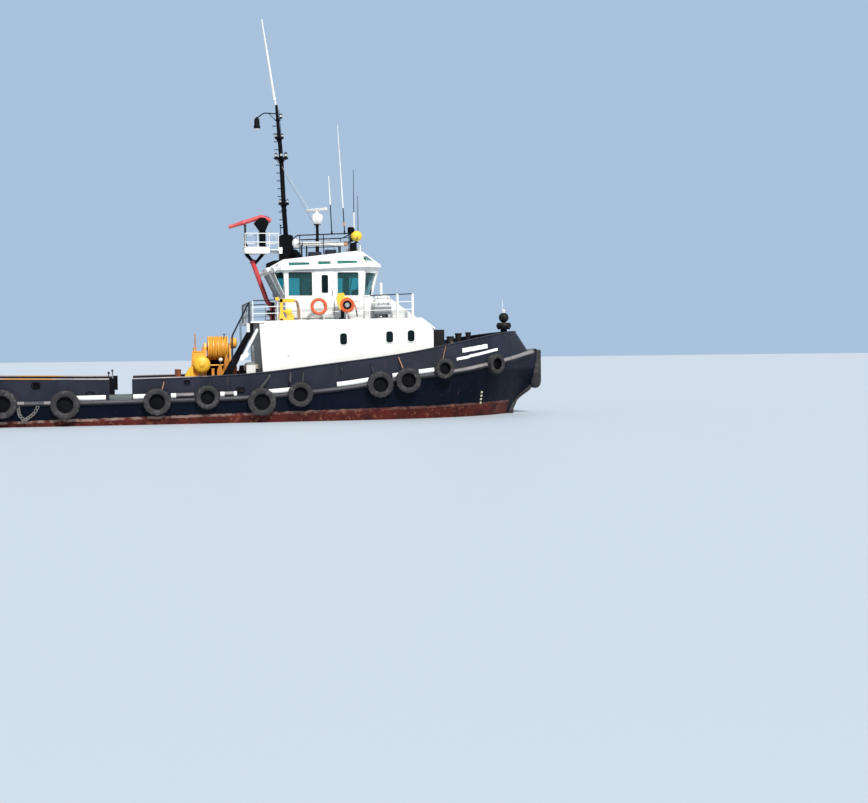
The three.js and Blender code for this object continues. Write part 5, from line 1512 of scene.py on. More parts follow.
ROOF_LIGHTS = [(1.16, 2.07), (2.44, 3.0), (3.29, 4.17)]
panes, pane_frames = [], []
for side in (-1, 1):
    for x0, x1 in ROOF_LIGHTS:
        low, high = ((h - FASCIA) / (roof_z(x0) - eave_z(x0) - FASCIA) for h in (0.165, 0.325))
        corners = ((low, -0.035), (high, -0.035), (high, -0.012), (low, -0.012))
        ends = [[roof_side(x, share, side, out) for share, out in corners] for x in (x0 + 0.005, x1 - 0.005)]
        panes.append(handed(loft(ends), side))
        start, end = roof_side(x0, low, side, 0.0), roof_side(x1, low, side, 0.0)
        matrix = plane(start, (end - start) * -side, roof_side(x0, high, side) - start)
        origin = 0.0 if side < 0 else -(end - start).length
        frame_shape = flat_frame(origin, origin + (end - start).length, 0.0,
                                 (roof_side(x0, high, side) - start).length, 0.03, 0.028, 0.012, 0.01)
        pane_frames.append(placed(frame_shape, matrix))
for side in (-1, 1):
    low = [Vector((x, side * y, eave_z(x) + FASCIA)) for x, y in ((4.6, EAVE_Y), (5.43, 1.33))]
    high = [Vector((x, side * y, roof_z(x))) for x, y in ((4.18, TOP_Y), (4.63, 1.05))]
    outward = (low[1] - low[0]).cross(high[0] - low[0]).normalized()
    outward = outward if outward.z > 0 else -outward
    for grow, lift, finish_list in ((0.0, 0.01, panes), (0.045, 0.004, pane_frames)):
        left, right, foot, head = 0.26 - grow, 0.74 + grow, 0.3 - grow, 0.62 + grow
        corners = [low[0].lerp(low[1], along).lerp(high[0].lerp(high[1], along), share)
                   for along, share in ((left, foot), (right, foot), (right, head), (left, head))]
        finish_list.append(loft([[corner + outward * out for corner in corners] for out in (-0.012, lift)]))
piece("roof_lights", {"roof_glass": panes}, slot="window_glass")
piece("roof_light_frames", {"white": pane_frames}, smooth=50)
EAVE = mirrored([(0.24, -1.4), (0.82, -2.56), (4.6, -2.56), (5.43, -1.33)])
lip = tube([(x, y, eave_z(x) + 0.006) for x, y in EAVE], 0.02, 8, closed=True)
piece("eave_lip", {"white": [lip]})
GRAB = [(3.3, 2.4), (3.3, 2.47), (4.25, 2.47), (4.25, 2.4)]
grab = [tube(bend([(x, side * y, 5.22) for x, y in GRAB], 0.03), 0.013, 8) for side in (-1, 1)]
piece("grab_rails", {"white": grab}, smooth=60)
print("roof lights:", len(panes))

# %% [markdown]
# Inside the wheelhouse.
# Through the tinted glass one sees shapes, not details: a desk with screens, a wheel, a chair, and a box
# of radios under the roof. They are still made as real things, because they are what gives the windows
# depth. The chair's cushions are stuffed, so they are crowned and pulled in at the seams.

# %% Desk, wheel, screens and floor
DESK_HALF = 1.15
desk_outline = [(4.05, 4.39), (4.05, 5.15), (4.12, 5.19), (4.3, 5.42), (4.8, 5.42), (4.8, 4.39)]
desk = [prism(desk_outline, -DESK_HALF, DESK_HALF)]
slope_up = Vector((0.18, 0.0, 0.23)).normalized()
desk_plane = plane((4.125, DESK_HALF, 5.195), (0, -1, 0), slope_up)
screens, trims, knobs = [], [], []
for left in (0.12, 0.62, 1.42, 1.86):
    screens.append(placed(prism(round_rect(left, left + 0.34, 0.03, 0.24, 0.02), 0.002, 0.012, "z"), desk_plane))
    trims.append(placed(flat_frame(left, left + 0.34, 0.03, 0.24, 0.02, 0.018, 0.018), desk_plane))
for b in (0.06, 0.18):
    for a in (1.02 + 0.045 * k for k in range(7)):
        knobs.append(placed(bar((a, b, 0.0), (a, b, 0.02), 0.01, 8), desk_plane))
for y in (-0.92, -0.84):
    knobs += [bar((4.5, y, 5.42), (4.44, y, 5.6), 0.012, 8), ball((4.44, y, 5.61), 0.03, 12)]
hub = Vector((3.99, -0.7, 5.18))
wheel = [hoop(hub, 0.24, 0.016, (1, 0, 0.25), 28, 8), bar(hub, hub + Vector((0.1, 0.0, 0.02)), 0.04)]
side, up = across((1, 0, 0.25))
wheel += [bar(hub, hub + (side * cos(t) + up * sin(t)) * 0.24, 0.01, 6) for t in turns(6)]
MONITORS_Y = (-0.75, -0.15, 0.45)
monitors = [box(4.36, 4.41, y - 0.24, y + 0.24, 5.46, 5.78) for y in MONITORS_Y]
monitor_feet = [bar((4.42, y, 5.42), (4.4, y, 5.6), 0.025) for y in MONITORS_Y]
overhead = [box(4.3, 4.62, -1.1, 1.1, 6.44, 6.6), box(3.0, 3.8, 0.6, 1.5, 6.5, 6.66)]
side_desk = [box(1.15, 2.1, 1.55, 2.28, 4.39, 5.3), box(1.2, 1.6, -2.26, -1.8, 4.39, 5.1)]
piece("helm_desk", {"desk": [*desk, *overhead, *side_desk], "screen": screens}, slot="black_paint",
      replaces=["helm_console"], bevel=0.01)
piece("desk_trims", {"seal": [*trims, *knobs], "black": [*monitors, *monitor_feet]}, slot="black_paint", bevel=0.003)
piece("ships_wheel", {"seal": wheel}, slot="black_paint", smooth=60)
floor_outline = mirrored([(1.02, -1.25), (1.07, -2.33), (4.38, -2.33), (4.94, -1.22)])
floor_rings = [[(x, y, boat_deck_z(x) + h) for x, y in floor_outline] for h in (0.001, 0.016)]
piece("cabin_floor", {"cabin_lining": [loft(floor_rings)]}, slot="deck_paint")
print("screens:", len(screens))

# %% Helm chair
def cushion(name, low, high, crown, lean=0.0, pivot=(0, 0, 0), channels=3):
    """A stuffed pad: a box whose faces swell, whose corners pull in, and that is quilted across."""
    columns, lines = 16, 14
    points, faces = [], []
    size = [h - l for l, h in zip(low, high)]
    for top in (0, 1):
        for i in range(columns + 1):
            for j in range(lines + 1):
                u, v = i / columns * 2 - 1, j / lines * 2 - 1
                pull = 1.0 - 0.05 * (abs(u) ** 6 * abs(v) ** 6)
                swell = (1 - abs(u) ** 3.5) * (1 - abs(v) ** 3.5)
                quilt = 1.0 - 0.2 * exp(-((sin(pi * channels * (u + 1) / 2) / 0.22) ** 2)) * top
                z = (crown * swell * quilt + size[2] * 0.3) * (1 if top else -0.6)
                points.append((low[0] + size[0] * (u * pull + 1) / 2, low[1] + size[1] * (v * pull + 1) / 2,
                               (low[2] + high[2]) / 2 + z))
    across_count = lines + 1
    half = (columns + 1) * across_count
    for i in range(columns):
        for j in range(lines):
            a = i * across_count + j
            faces.append((a, a + 1, a + across_count + 1, a + across_count))
            faces.append((half + a, half + a + across_count, half + a + across_count + 1, half + a + 1))
    rim = [i * across_count for i in range(columns + 1)] + [columns * across_count + j for j in range(1, across_count)]
    rim += [i * across_count + lines for i in range(columns - 1, -1, -1)] + [j for j in range(lines - 1, 0, -1)]
    for a, b in zip(rim, rim[1:] + rim[:1]):
        faces.append((a, b, half + b, half + a))
    shape = turned((points, faces), lean, (0, 1, 0), pivot) if lean else (points, faces)
    made = piece(name, {"chair": [shape]}, slot="chair_cover", smooth=80)
    made.modifiers.new("round", "SUBSURF").levels = 1
    return made


seat = cushion("chair_seat", (3.24, -0.95, 4.86), (3.7, -0.45, 4.98), 0.045)
back = cushion("chair_back", (3.16, -0.93, 4.98), (3.86, -0.47, 5.08), 0.04, -84.0, (3.22, -0.7, 5.0))
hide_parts("helm_chair")
pedestal = [lathe([(0.0, 0.0), (0.2, 0.0), (0.19, 0.03), (0.06, 0.05), (0.045, 0.42), (0.11, 0.45), (0.0, 0.46)],
                  (3.45, -0.7, 4.38), sides=24)]
pedestal.append(box(3.24, 3.68, -0.92, -0.48, 4.835, 4.865))
pedestal += [tube(bend([(3.26, y, 4.86), (3.24, y, 5.14), (3.55, y, 5.16)], 0.05), 0.017, 8) for y in (-0.965, -0.435)]
piece("chair_frame", {"bare_steel": pedestal}, slot="wire", bevel=0.004)
print("chair is", round(back.dimensions.z, 2), "m high in the back")

# %% [markdown]
# Wheelhouse doors.
# The doors slide aft along the outside of the wheelhouse on two rails. Only the door moves; the rails and
# their brackets stay on the wall. So they are two pieces on two bodies, with a running gap between them.

# %% Sliding doors and their rails
SLIDE_X, SLIDE_Z = (2.25, 3.18), (4.48, 6.47)
SLIDE_Y = 2.408


def sliding_door():
    """Plate, pressed panel, narrow window, handle and hangers, in the plane of the door."""
    width, height = SLIDE_X[1] - SLIDE_X[0], SLIDE_Z[1] - SLIDE_Z[0]
    window = (0.35, 0.61, 1.08, 1.84)
    grown = (0.348, 0.612, 1.078, 1.842)
    outline = round_rect(0.0, width, 0.0, height, 0.05)
    hole = round_rect(*window, 0.05)
    skins = ((hole, 0.0), (outline, 0.0), (outline, 0.036), (hole, 0.036), (hole, 0.0))
    plate = loft([[(a, b, c) for a, b in line] for line, c in skins], capped=False)
    steel = [plate, flat_frame(*window, 0.05, 0.03, 0.048, -0.034)]
    seal = [flat_frame(*window, 0.05, 0.016, 0.054, -0.034)]
    steel.append(prism(round_rect(0.1, width - 0.1, 0.12, 0.86, 0.04), 0.03, 0.041, "z"))
    steel += [box(a - 0.04, a + 0.04, height - 0.02, height + 0.035, 0.006, 0.03) for a in (0.18, width - 0.18)]
    handle = tube(bend([(0.8, 0.95, 0.036), (0.8, 0.95, 0.085), (0.8, 1.2, 0.085), (0.8, 1.2, 0.036)], 0.03), 0.011, 8)
    pane = prism(round_rect(*grown, 0.05), 0.012, 0.022, "z")
    return {"white": steel, "black": [handle], "seal": seal, "dark_glass_and_shade": [pane]}


for side, word in SIDES:
    matrix = plane((SLIDE_X[0], -SLIDE_Y, SLIDE_Z[0]), (1, 0, 0), (0, 0, 1))
    door = {finish: [placed(s, matrix) for s in shapes] for finish, shapes in sliding_door().items()}
    if side > 0:
        door = {finish: [ported(s) for s in shapes] for finish, shapes in door.items()}
    piece(f"sliding_door_{word}", door, body=f"door_{word}", slot="white_paint",
          replaces=[f"wheelhouse_door_{word}"], bevel=0.003)
    y = side * 2.4
    edge = y + side * 0.055
    track = [box(1.38, 3.22, y, edge, z, z + 0.012) for z in (6.512, 4.452)]
    track.append(box(1.38, 3.22, y + side * 0.049, edge, 6.486, 6.524))
    track += [box(x - 0.03, x + 0.03, y, edge, 6.5, 6.535) for x in (1.42, 2.0, 2.6, 3.18)]
    piece(f"door_track_{word}", {"white": track})
print("door:", [round(b - a, 2) for a, b in (SLIDE_X, SLIDE_Z)], "m")

# %% [markdown]
# The mast.
# The mast is a steel tube that rakes aft and steps inwards as it climbs, with a casing at its foot, lamp
# shelves on the way and one long pale whip on top. Lamps are turned shapes: base, ribbed lens and cap.
# Small ones stand on the shelves and a large one hangs from a bracket. The lens finish has a clear coat, so
# that it glints at any angle.

# %% Lamps
def lamp(x, y, z, size=1.0):
    """A navigation lamp standing on its base: black housing, ribbed lens, cap and eye."""
    s = size
    lens_profile = [(0.0, 0.06)] + [(0.055 + 0.006 * (k % 2), 0.06 + 0.012 * k) for k in range(9)] + [(0.0, 0.156)]
    foot = [(0.075 * s, 0.0), (0.075 * s, 0.02 * s), (0.062 * s, 0.03 * s), (0.062 * s, 0.06 * s)]
    hood = [(0.0, 0.156 * s), (0.066 * s, 0.156 * s), (0.07 * s, 0.175 * s), (0.045 * s, 0.205 * s),
            (0.012 * s, 0.215 * s), (0.0, 0.235 * s)]
    housing = [lathe(profile, (x, y, z), sides=16) for profile in (foot, hood)]
    housing += studs("z", z + 0.05 * s, z + 0.165 * s, (x, y), 0.064 * s, 0.004 * s, turns(4, 0.4))
    return housing, [lathe([(r * s, h * s) for r, h in lens_profile], (x, y, z), sides=18)]


print("lamp parts:", len(lamp(0, 0, 0)[0]))

# %% Mast tube, casing, shelves, whip and stays
# x, z, radius
MAST = [(1.31, 8.22, 0.11), (1.24, 9.4, 0.105), (1.14, 11.64, 0.09), (1.01, 13.43, 0.072), (0.96, 14.1, 0.058)]
MAST_TOP = 17.9
RUNG = [(0.09, 0.11), (0.24, 0.11), (0.24, -0.11), (0.09, -0.11)]  # how far aft of the mast, y


def mast_x(z):
    """x of the mast's centre line at a height."""
    return float(np.interp(z, [row[1] for row in MAST], [row[0] for row in MAST]))


steel = [tube([(x, 0, z) for x, z, r in MAST], [r for x, z, r in MAST], 20)]
for z in (9.38, 11.62, 13.42):
    steel.append(lathe([(0.135, -0.02), (0.135, 0.02)], (mast_x(z), 0, z), sides=20))
CASING_X = 1.3
casing = mirrored([(1.0, -0.3), (1.6, -0.3)])
steel.append(loft([[(x, y, z) for x, y in casing] for z in (7.04, 8.2)]))
steel.append(loft([[(x * k + CASING_X * (1 - k), y * k, z) for x, y in casing] for z, k in ((8.2, 1.0), (8.27, 0.62))]))
steel.append(prism([(1.58, 7.04), (2.01, 7.1), (2.01, 7.3), (1.775, 7.575), (1.58, 7.62)], -0.297, 0.297))
steel += [box(0.992, 1.0, -0.22, 0.22, z, z + 0.03) for z in (7.45, 7.55, 7.65, 7.75)]
steel += [bar((1.05, -0.25, 8.27), (1.05, -0.25, 8.62), 0.018, 8), ball((1.05, -0.25, 8.67), 0.045, 14)]
for z, radius in ((9.65, 0.25), (11.7, 0.33), (12.6, 0.2)):
    x = mast_x(z)
    steel.append(lathe([(radius - 0.02, -0.025), (radius, -0.012), (radius, 0.025), (radius - 0.015, 0.025),
                        (radius - 0.015, -0.008)], (x, 0, z), sides=24))
    for t in turns(4, pi / 4):
        steel.append(bar((x, 0, z - 0.3), (x + (radius - 0.04) * cos(t), (radius - 0.04) * sin(t), z - 0.02), 0.012, 6))
steel += [tube(bend([(mast_x(z) - dx, y, z) for dx, y in RUNG], 0.02, 2), 0.011, 6)
          for z in np.arange(8.6, 13.2, 0.35)]
steel.append(tube(bend([(0.98, 0, 13.7), (0.4, 0, 13.73), (0.1, 0, 13.5)], 0.12), 0.026, 10))
steel.append(bar((0.99, 0, 13.35), (0.62, 0, 13.7), 0.016, 8))
steel.append(tube([(mast_x(z) + 0.1, 0.03, z) for z in np.linspace(8.3, 13.9, 12)], 0.014, 6))
hanging = [lathe([(0.05, 0.5), (0.12, 0.4), (0.125, 0.14), (0.15, 0.1), (0.15, 0.04), (0.13, 0.0)],
                 (0.08, 0, 13.02), sides=20), hoop((0.08, 0, 13.5), 0.04, 0.01, (0, 1, 0), 14, 6)]
pearl = [lathe([(0.0, 0.0), (0.1, 0.01), (0.125, 0.05), (0.1, 0.09), (0.0, 0.1)], (0.08, 0, 12.96), sides=20)]
lenses = []
# shelf height, x from the mast, y, z, size
MAST_LAMPS = [(9.65, -0.15, 0.0, 9.68, 0.9), (9.65, 0.17, 0.0, 9.68, 0.9), (11.7, 0.22, 0.0, 11.73, 1.2),
              (11.7, -0.22, 0.0, 11.73, 1.0), (11.7, 0.0, 0.22, 11.73, 1.0), (11.7, 0.0, -0.22, 11.73, 1.0),
              (12.6, 0.14, 0.0, 12.63, 0.9), (12.6, -0.14, 0.0, 12.63, 0.9), (13.5, 0.15, 0.0, 13.5, 1.0)]
for shelf, dx, y, z, size in MAST_LAMPS:
    housing, glass = lamp(mast_x(shelf) + dx, y, z, size)
    steel, lenses = steel + housing, lenses + glass
steel.append(bar((mast_x(13.5), 0, 13.49), (mast_x(13.5) + 0.18, 0, 13.49), 0.016, 8))
pale = [tube([(0.95, 0, 14.05), (0.88, 0, 14.38)], 0.045, 14),
        lathe([(0.0, 0.0), (0.075, 0.0), (0.075, 0.1), (0.0, 0.12)], (0.885, 0, 14.3), sides=16)]
pale.append(tube([(0.88, 0, 14.38), (0.62, 0, 16.15), (0.36, 0, MAST_TOP)], [0.056, 0.048, 0.03], 14))
piece("mast_steel", {"black": steel}, replaces=["mast"], smooth=40)
piece("mast_lenses", {"lamp_glass": lenses + pearl}, slot="white_plastic")
piece("mast_hanging_lamp", {"black": hanging})
piece("mast_whip", {"gelcoat": pale})
for side, word in SIDES:
    top, foot = Vector((1.17, side * 0.118, 11.3)), Vector((3.5, side * 0.9, 7.42))
    shackle, rod, turnbuckle, wire_end = (foot.lerp(top, share) for share in (0.02, 0.03, 0.1, 0.16))
    wire = [bar(wire_end, top, 0.008, 8), bar(turnbuckle, wire_end, 0.018, 10), bar(rod, turnbuckle, 0.01, 8),
            hoop(shackle, 0.04, 0.01, (1, 0, 0), 14, 6), box(3.44, 3.56, foot.y - 0.006, foot.y + 0.006, 7.24, 7.42)]
    piece(f"stay_wire_{word}", {"wire": wire}, slot="wire", replaces=[f"stay_{word}"])
print("mast top at", MAST_TOP, "m")

# %% [markdown]
# Radar, roof rail, aerials, dome and searchlight.
# The scanner turns, so everything above its gearbox rides on the radar body, and the gearbox does not.
# The rail round the roof is two bent pipes on short posts, with four fibreglass whips clamped to it.

# %% Radar
RADAR_X, RADAR_TOP = 2.74, 9.33
post = [lathe([(0.16, 0.0), (0.16, 0.03), (0.07, 0.06), (0.065, 1.4), (0.15, 1.42), (0.15, 1.46)],
              (RADAR_X, 0, 7.3), sides=24)]
post += [prism([(RADAR_X - 0.2, 7.28), (RADAR_X - 0.06, 7.28), (RADAR_X - 0.06, 7.55)], -0.006, 0.006),
         prism([(RADAR_X + 0.2, 7.3), (RADAR_X + 0.06, 7.3), (RADAR_X + 0.06, 7.55)], -0.006, 0.006)]
gear_outline = round_rect(RADAR_X - 0.25, RADAR_X + 0.25, -0.18, 0.18, 0.06)
gear = [loft([[(RADAR_X + (x - RADAR_X) * k, y * k, z) for x, y in gear_outline]
              for k, z in ((0.55, 8.765), (0.8, 8.84), (0.96, 8.95), (1.0, 9.06), (0.95, 9.14), (0.8, 9.19),
                           (0.5, 9.22))]),
        lathe([(0.11, 0.0), (0.09, 0.11)], (RADAR_X, 0, 9.215), sides=24)]
gear += [box(RADAR_X - 0.26, RADAR_X - 0.245, -0.14, 0.14, 8.82 + 0.05 * k, 8.84 + 0.05 * k) for k in range(5)]
piece("radar_post", {"black": post}, replaces=["radar_pedestal"], smooth=45)
piece("radar_gearbox", {"gelcoat": gear}, bevel=0.006)
SCANNER_HALF = 0.62
profile = [(-0.06, -0.036), (-0.06, 0.036), (-0.042, 0.066), (0.0, 0.073), (0.042, 0.066), (0.06, 0.036),
           (0.06, -0.036), (0.032, -0.072), (-0.032, -0.072)]
scan_rings = [[(along, y * k, z * k + RADAR_TOP + 0.083) for y, z in profile]
              for along, k in ((-SCANNER_HALF, 0.75), (-SCANNER_HALF + 0.02, 1.0), (SCANNER_HALF - 0.02, 1.0),
                               (SCANNER_HALF, 0.75))]
scanner = [turned(shifted(loft(scan_rings), RADAR_X), -48.0, (0, 0, 1), (RADAR_X, 0, 0)),
           lathe([(0.085, 0.0), (0.07, 0.03)], (RADAR_X, 0, RADAR_TOP + 0.006), sides=24)]
piece("radar_bar", {"gelcoat": scanner}, body="radar", slot="white_paint", replaces=["radar_scanner"], bevel=0.003)
print("radar bar is", 2 * SCANNER_HALF, "m long")

# %% Roof rail and whip aerials
RAIL_X, RAIL_HALF = (1.68, 4.08), 1.35


def roof_rail_z(x):
    """Height of the pipe rail round the roof."""
    return 8.13 + 0.045 * (x - 1.46)


corners = mirrored([(x, -RAIL_HALF) for x in RAIL_X])
middle = (sum(RAIL_X) / 2, -RAIL_HALF)
rail_parts = []
for drop, radius in ((0.0, 0.026), (0.38, 0.018)):
    line = [(x, y, roof_rail_z(x) - drop) for x, y in (middle, *corners[1:], corners[0], middle)]
    rail_parts.append(tube(bend(line, 0.14, 5), radius, 10))
for side in (-1, 1):
    for x in (RAIL_X[0] + 0.1, 2.84, RAIL_X[1] - 0.1):
        rail_parts.append(bar((x, side * RAIL_HALF, roof_z(x) - 0.02), (x, side * RAIL_HALF, roof_rail_z(x)), 0.02, 10))
        rail_parts.append(lathe([(0.06, 0.0), (0.06, 0.012), (0.022, 0.03)],
                                (x, side * RAIL_HALF, roof_z(x) - 0.004), sides=14))
# foot x, y, foot z, top z, top x
WHIPS = [(3.29, -0.8, 8.25, 10.85, 3.18), (3.87, -0.8, 8.25, 13.14, 3.61), (4.55, 0.8, 8.25, 11.35, 4.55),
         (4.69, 0.5, 8.25, 10.12, 4.69)]
# for each whip its lengths: from z, to z, radius at both ends, finish
WHIP_LENGTHS = [[(8.39, 9.6, 0.024, 0.022, "black"), (9.57, 10.85, 0.036, 0.02, "gelcoat")],
                [(8.39, 9.45, 0.024, 0.022, "black"), (8.62, 8.8, 0.036, 0.036, "tan"),
                 (9.43, 13.14, 0.034, 0.014, "gelcoat")],
                [(8.39, 8.65, 0.024, 0.024, "black"), (8.63, 9.4, 0.038, 0.034, "gelcoat"),
                 (9.38, 11.35, 0.018, 0.01, "black")],
                [(8.39, 10.12, 0.018, 0.01, "black")]]
whips = {"gelcoat": [], "black": [], "tan": []}
for k, (x, y, low, high, top_x) in enumerate(WHIPS):
    start = (min(x, RAIL_X[1]), copysign(RAIL_HALF, y), roof_rail_z(min(x, RAIL_X[1])))
    rail_parts.append(bar(start, (x, y, low + 0.06), 0.018, 10))
    rail_parts += [bar((x, y, low), (x, y, low + 0.16), 0.034, 14),
                   lathe([(0.05, 0.0), (0.05, 0.03)], (x, y, low + 0.04), sides=14)]
    foot, tip = Vector((x, y, low + 0.14)), Vector((top_x, y, high))
    for z0, z1, thick, end_thick, finish in WHIP_LENGTHS[k]:
        ends = [foot.lerp(tip, (z - foot.z) / (tip.z - foot.z)) for z in (z0, z1)]
        whips[finish].append(bar(*ends, thick, 12, end_thick))
piece("roof_pipe_rail", {"black": rail_parts}, replaces=["roof_rail"], smooth=50)
piece("whip_aerials", whips, slot="white_plastic", smooth=60)
print("whips:", len(WHIPS))

# %% Dome, tube, boxes on the roof and the searchlight
dome = [lathe([(0.0, -0.215), (0.1, -0.2), (0.19, -0.13), (0.212, -0.06), (0.215, 0.0), (0.205, 0.07), (0.17, 0.135),
               (0.11, 0.185), (0.0, 0.213)], (1.69, -1.0, 7.83), sides=32),
        hoop((1.69, -1.0, 7.79), 0.215, 0.008, (0, 0, 1), 36, 6)]
drum = [lathe([(0.095, 0.0), (0.108, 0.02), (0.108, 1.98), (0.095, 2.0)], (1.95, -1.0, 7.8), (1, 0, 0), 24)]
drum += [lathe([(0.116, 0.0), (0.116, 0.05)], (x, -1.0, 7.8), (1, 0, 0), 24) for x in (2.1, 2.85, 3.55)]
tan_end = [lathe([(0.1, 0.0), (0.112, 0.03), (0.112, 0.2)], (3.76, -1.0, 7.8), (1, 0, 0), 24)]
legs = [box(x - 0.03, x + 0.03, -1.05, -0.95, roof_z(x) - 0.01, 7.72) for x in (1.9, 2.12, 3.58)]
legs += [box(1.9, 2.04, -1.03, -0.97, 7.7, 7.76)]
crates = [box(2.2, 2.75, -1.3, -0.85, roof_z(2.2) - 0.01, 7.42),
          box(2.95, 3.42, -1.28, -0.8, roof_z(2.95) - 0.01, 7.52)]
piece("roof_dome", {"gelcoat": dome}, replaces=["satellite_dome"], smooth=60)
piece("roof_tube", {"gelcoat": drum, "tan": tan_end}, smooth=40)
piece("roof_tube_legs", {"black": legs, "slate": crates}, bevel=0.006)
LAMP = Vector((4.43, -0.6, 8.2))
lamp_post = [lathe([(0.0, 0.0), (0.19, 0.0), (0.19, 0.02), (0.165, 0.03), (0.156, 0.455), (0.0, 0.465)],
                   (LAMP.x - 0.14, LAMP.y, 7.42), sides=28),
             lathe([(0.0, 0.0), (0.11, 0.0), (0.11, 0.035), (0.0, 0.04)], (LAMP.x, LAMP.y, 7.888), sides=24)]
small_post = [bar((4.6, -0.6, 7.28), (4.6, -0.6, 7.77), 0.034, 14), box(0.57, 1.11, -0.4, -0.34, 7.565, 7.6),
              box(0.95, 1.1, -0.42, -0.28, 7.4, 7.68)]
lamp_post.append(prism([(0.32, 6.7), (0.96, 7.03), (0.96, 7.07), (0.62, 7.03), (0.34, 6.92)], -1.25, -0.55))
piece("searchlight_stand", {"black": lamp_post, "white": small_post}, replaces=["searchlight_post"], smooth=45)
cover = [ball(LAMP - Vector((0, 0, 0.015)), 0.272, 30, 0.89),
         hoop(LAMP + Vector((0.02, 0, -0.015)), 0.236, 0.01, (1, 0, 0), 36, 6)]
FORK = [(0.252, 0.0), (0.252, -0.2), (-0.252, -0.2), (-0.252, 0.0)]
yoke = [tube(bend([LAMP + Vector((0.0, y, z)) for y, z in FORK], 0.08), 0.02, 8)]
yoke.append(bar(LAMP + Vector((0, 0, -0.262)), LAMP + Vector((0, 0, -0.19)), 0.06, 18))
yoke.append(lathe([(0.0, 0.1), (0.1, 0.1), (0.15, 0.13), (0.155, 0.33), (0.145, 0.37), (0.11, 0.39), (0.0, 0.392)],
                  LAMP + Vector((-0.24, 0.0, 0.0)), (0, 0, 1), 26))
yoke.append(bar(LAMP + Vector((-0.225, 0.0, -0.27)), LAMP + Vector((-0.225, 0.0, 0.14)), 0.075, 16))
yoke.append(box(LAMP.x - 0.24, LAMP.x - 0.1, LAMP.y - 0.05, LAMP.y + 0.05, LAMP.z + 0.12, LAMP.z + 0.2))
piece("searchlight_cover", {"bright_yellow": cover}, body="light", slot="yellow_paint", replaces=["searchlight"],
      smooth=60)
piece("searchlight_yoke", {"black": yoke}, body="light", smooth=50)
print("searchlight at", [round(v, 2) for v in LAMP])

# %% [markdown]
# The fire monitor.
# A water cannon stands on a small railed platform over the after end of the boat deck, at the head of a
# raking red main. Its head trains and its tube elevates, so the head, the tube and the fixed column are
# three sets of pieces on three bodies. Flanges with bolts mark each joint, because pipe is joined that way.

# %% Flanges, and the platform with its rails
def flange(centre, axis, radius, thick=0.03, bolts=8, bolt=0.012):
    """A pipe flange with a ring of bolts through it."""
    side, up = across(axis)
    along = Vector(axis).normalized()
    centre = Vector(centre)
    shapes = [lathe([(radius, -thick / 2), (radius, thick / 2)], centre, axis, 24)]
    for place_at in circle(centre, side, up, radius - 1.8 * bolt, bolts):
        shapes.append(bar(place_at - along * (thick / 2 + bolt), place_at + along * (thick / 2 + bolt), bolt, 6))
    return shapes


STAND_Z, STAND_FOOT = 7.69, 7.394
COLUMN_X = 0.25
stand = [prism(round_rect(-0.597, 0.537, STAND_FOOT, STAND_Z, 0.1), -0.517, 0.517)]
stand += [box(x - 0.035, x + 0.035, y - 0.012, y + 0.012, STAND_FOOT + 0.03, STAND_Z - 0.04) for x in (-0.22, 0.16)
          for y in (-0.51, 0.51)]
stand += [box(0.52, 0.985, -0.3, 0.3, 7.46, 7.5)]
stand += [box(0.52, 0.985, y - 0.006, y + 0.006, 7.455, 7.52) for y in (-0.294, 0.294)]
column = [bar((COLUMN_X, 0, STAND_Z), (COLUMN_X, 0, 8.35), 0.148, 28), *flange((COLUMN_X, 0, 7.72), (0, 0, 1), 0.205),
          *flange((COLUMN_X, 0, 8.355), (0, 0, 1), 0.185, 0.035)]
GUARD_AFT, GUARD_Y, GUARD_TOP = -0.555, 0.495, 8.29
guard = []
for x in (GUARD_AFT, 0.0, 0.515):
    for y in (-GUARD_Y, GUARD_Y):
        guard.append(bar((x, y, STAND_Z - 0.02), (x, y, GUARD_TOP), 0.014, 12))
        guard.append(lathe([(0.05, 0.0), (0.05, 0.012), (0.028, 0.03)], (x, y, STAND_Z), sides=12))
corners = mirrored([(0.94, -GUARD_Y), (GUARD_AFT, -GUARD_Y)])
for z in (7.9, GUARD_TOP):
    guard.append(tube(bend([(x, y, z) for x, y in corners], 0.08), 0.019, 12))
guard += [bar((0.92, y, 7.5), (0.92, y, GUARD_TOP), 0.016, 12) for y in (-GUARD_Y, GUARD_Y)]
guard += [bar((0.92, copysign(GUARD_Y, y), 7.5), (0.92, y, 7.5), 0.02, 8) for y in (-0.29, 0.29)]
CRUTCH_X = -0.52
crutch = [bar((CRUTCH_X, 0, STAND_Z), (CRUTCH_X, 0, 8.66), 0.046, 14), box(-0.59, -0.45, -0.06, 0.06, 8.684, 8.697),
          bar((CRUTCH_X, 0, 8.64), (CRUTCH_X, 0, 8.69), 0.045, 14)]
crutch += [box(-0.56, -0.48, y - 0.008, y + 0.008, 8.69, 8.712) for y in (-0.06, 0.06)]
crutch += [prism([(-0.5, STAND_Z), (-0.38, STAND_Z), (-0.5, 8.0)], -0.006, 0.006)]
treads = [box(-0.57 + 0.055 * k, -0.55 + 0.055 * k, -0.5, 0.5, STAND_Z, STAND_Z + 0.006) for k in range(20)]
piece("monitor_stand", {"white": stand, "deck": treads}, replaces=["monitor_platform"], bevel=0.005)
piece("monitor_guard", {"white": guard}, smooth=60)
piece("monitor_column", {"black": column, "rusty_black": crutch}, smooth=50)
print("stand parts:", len(stand) + len(guard))

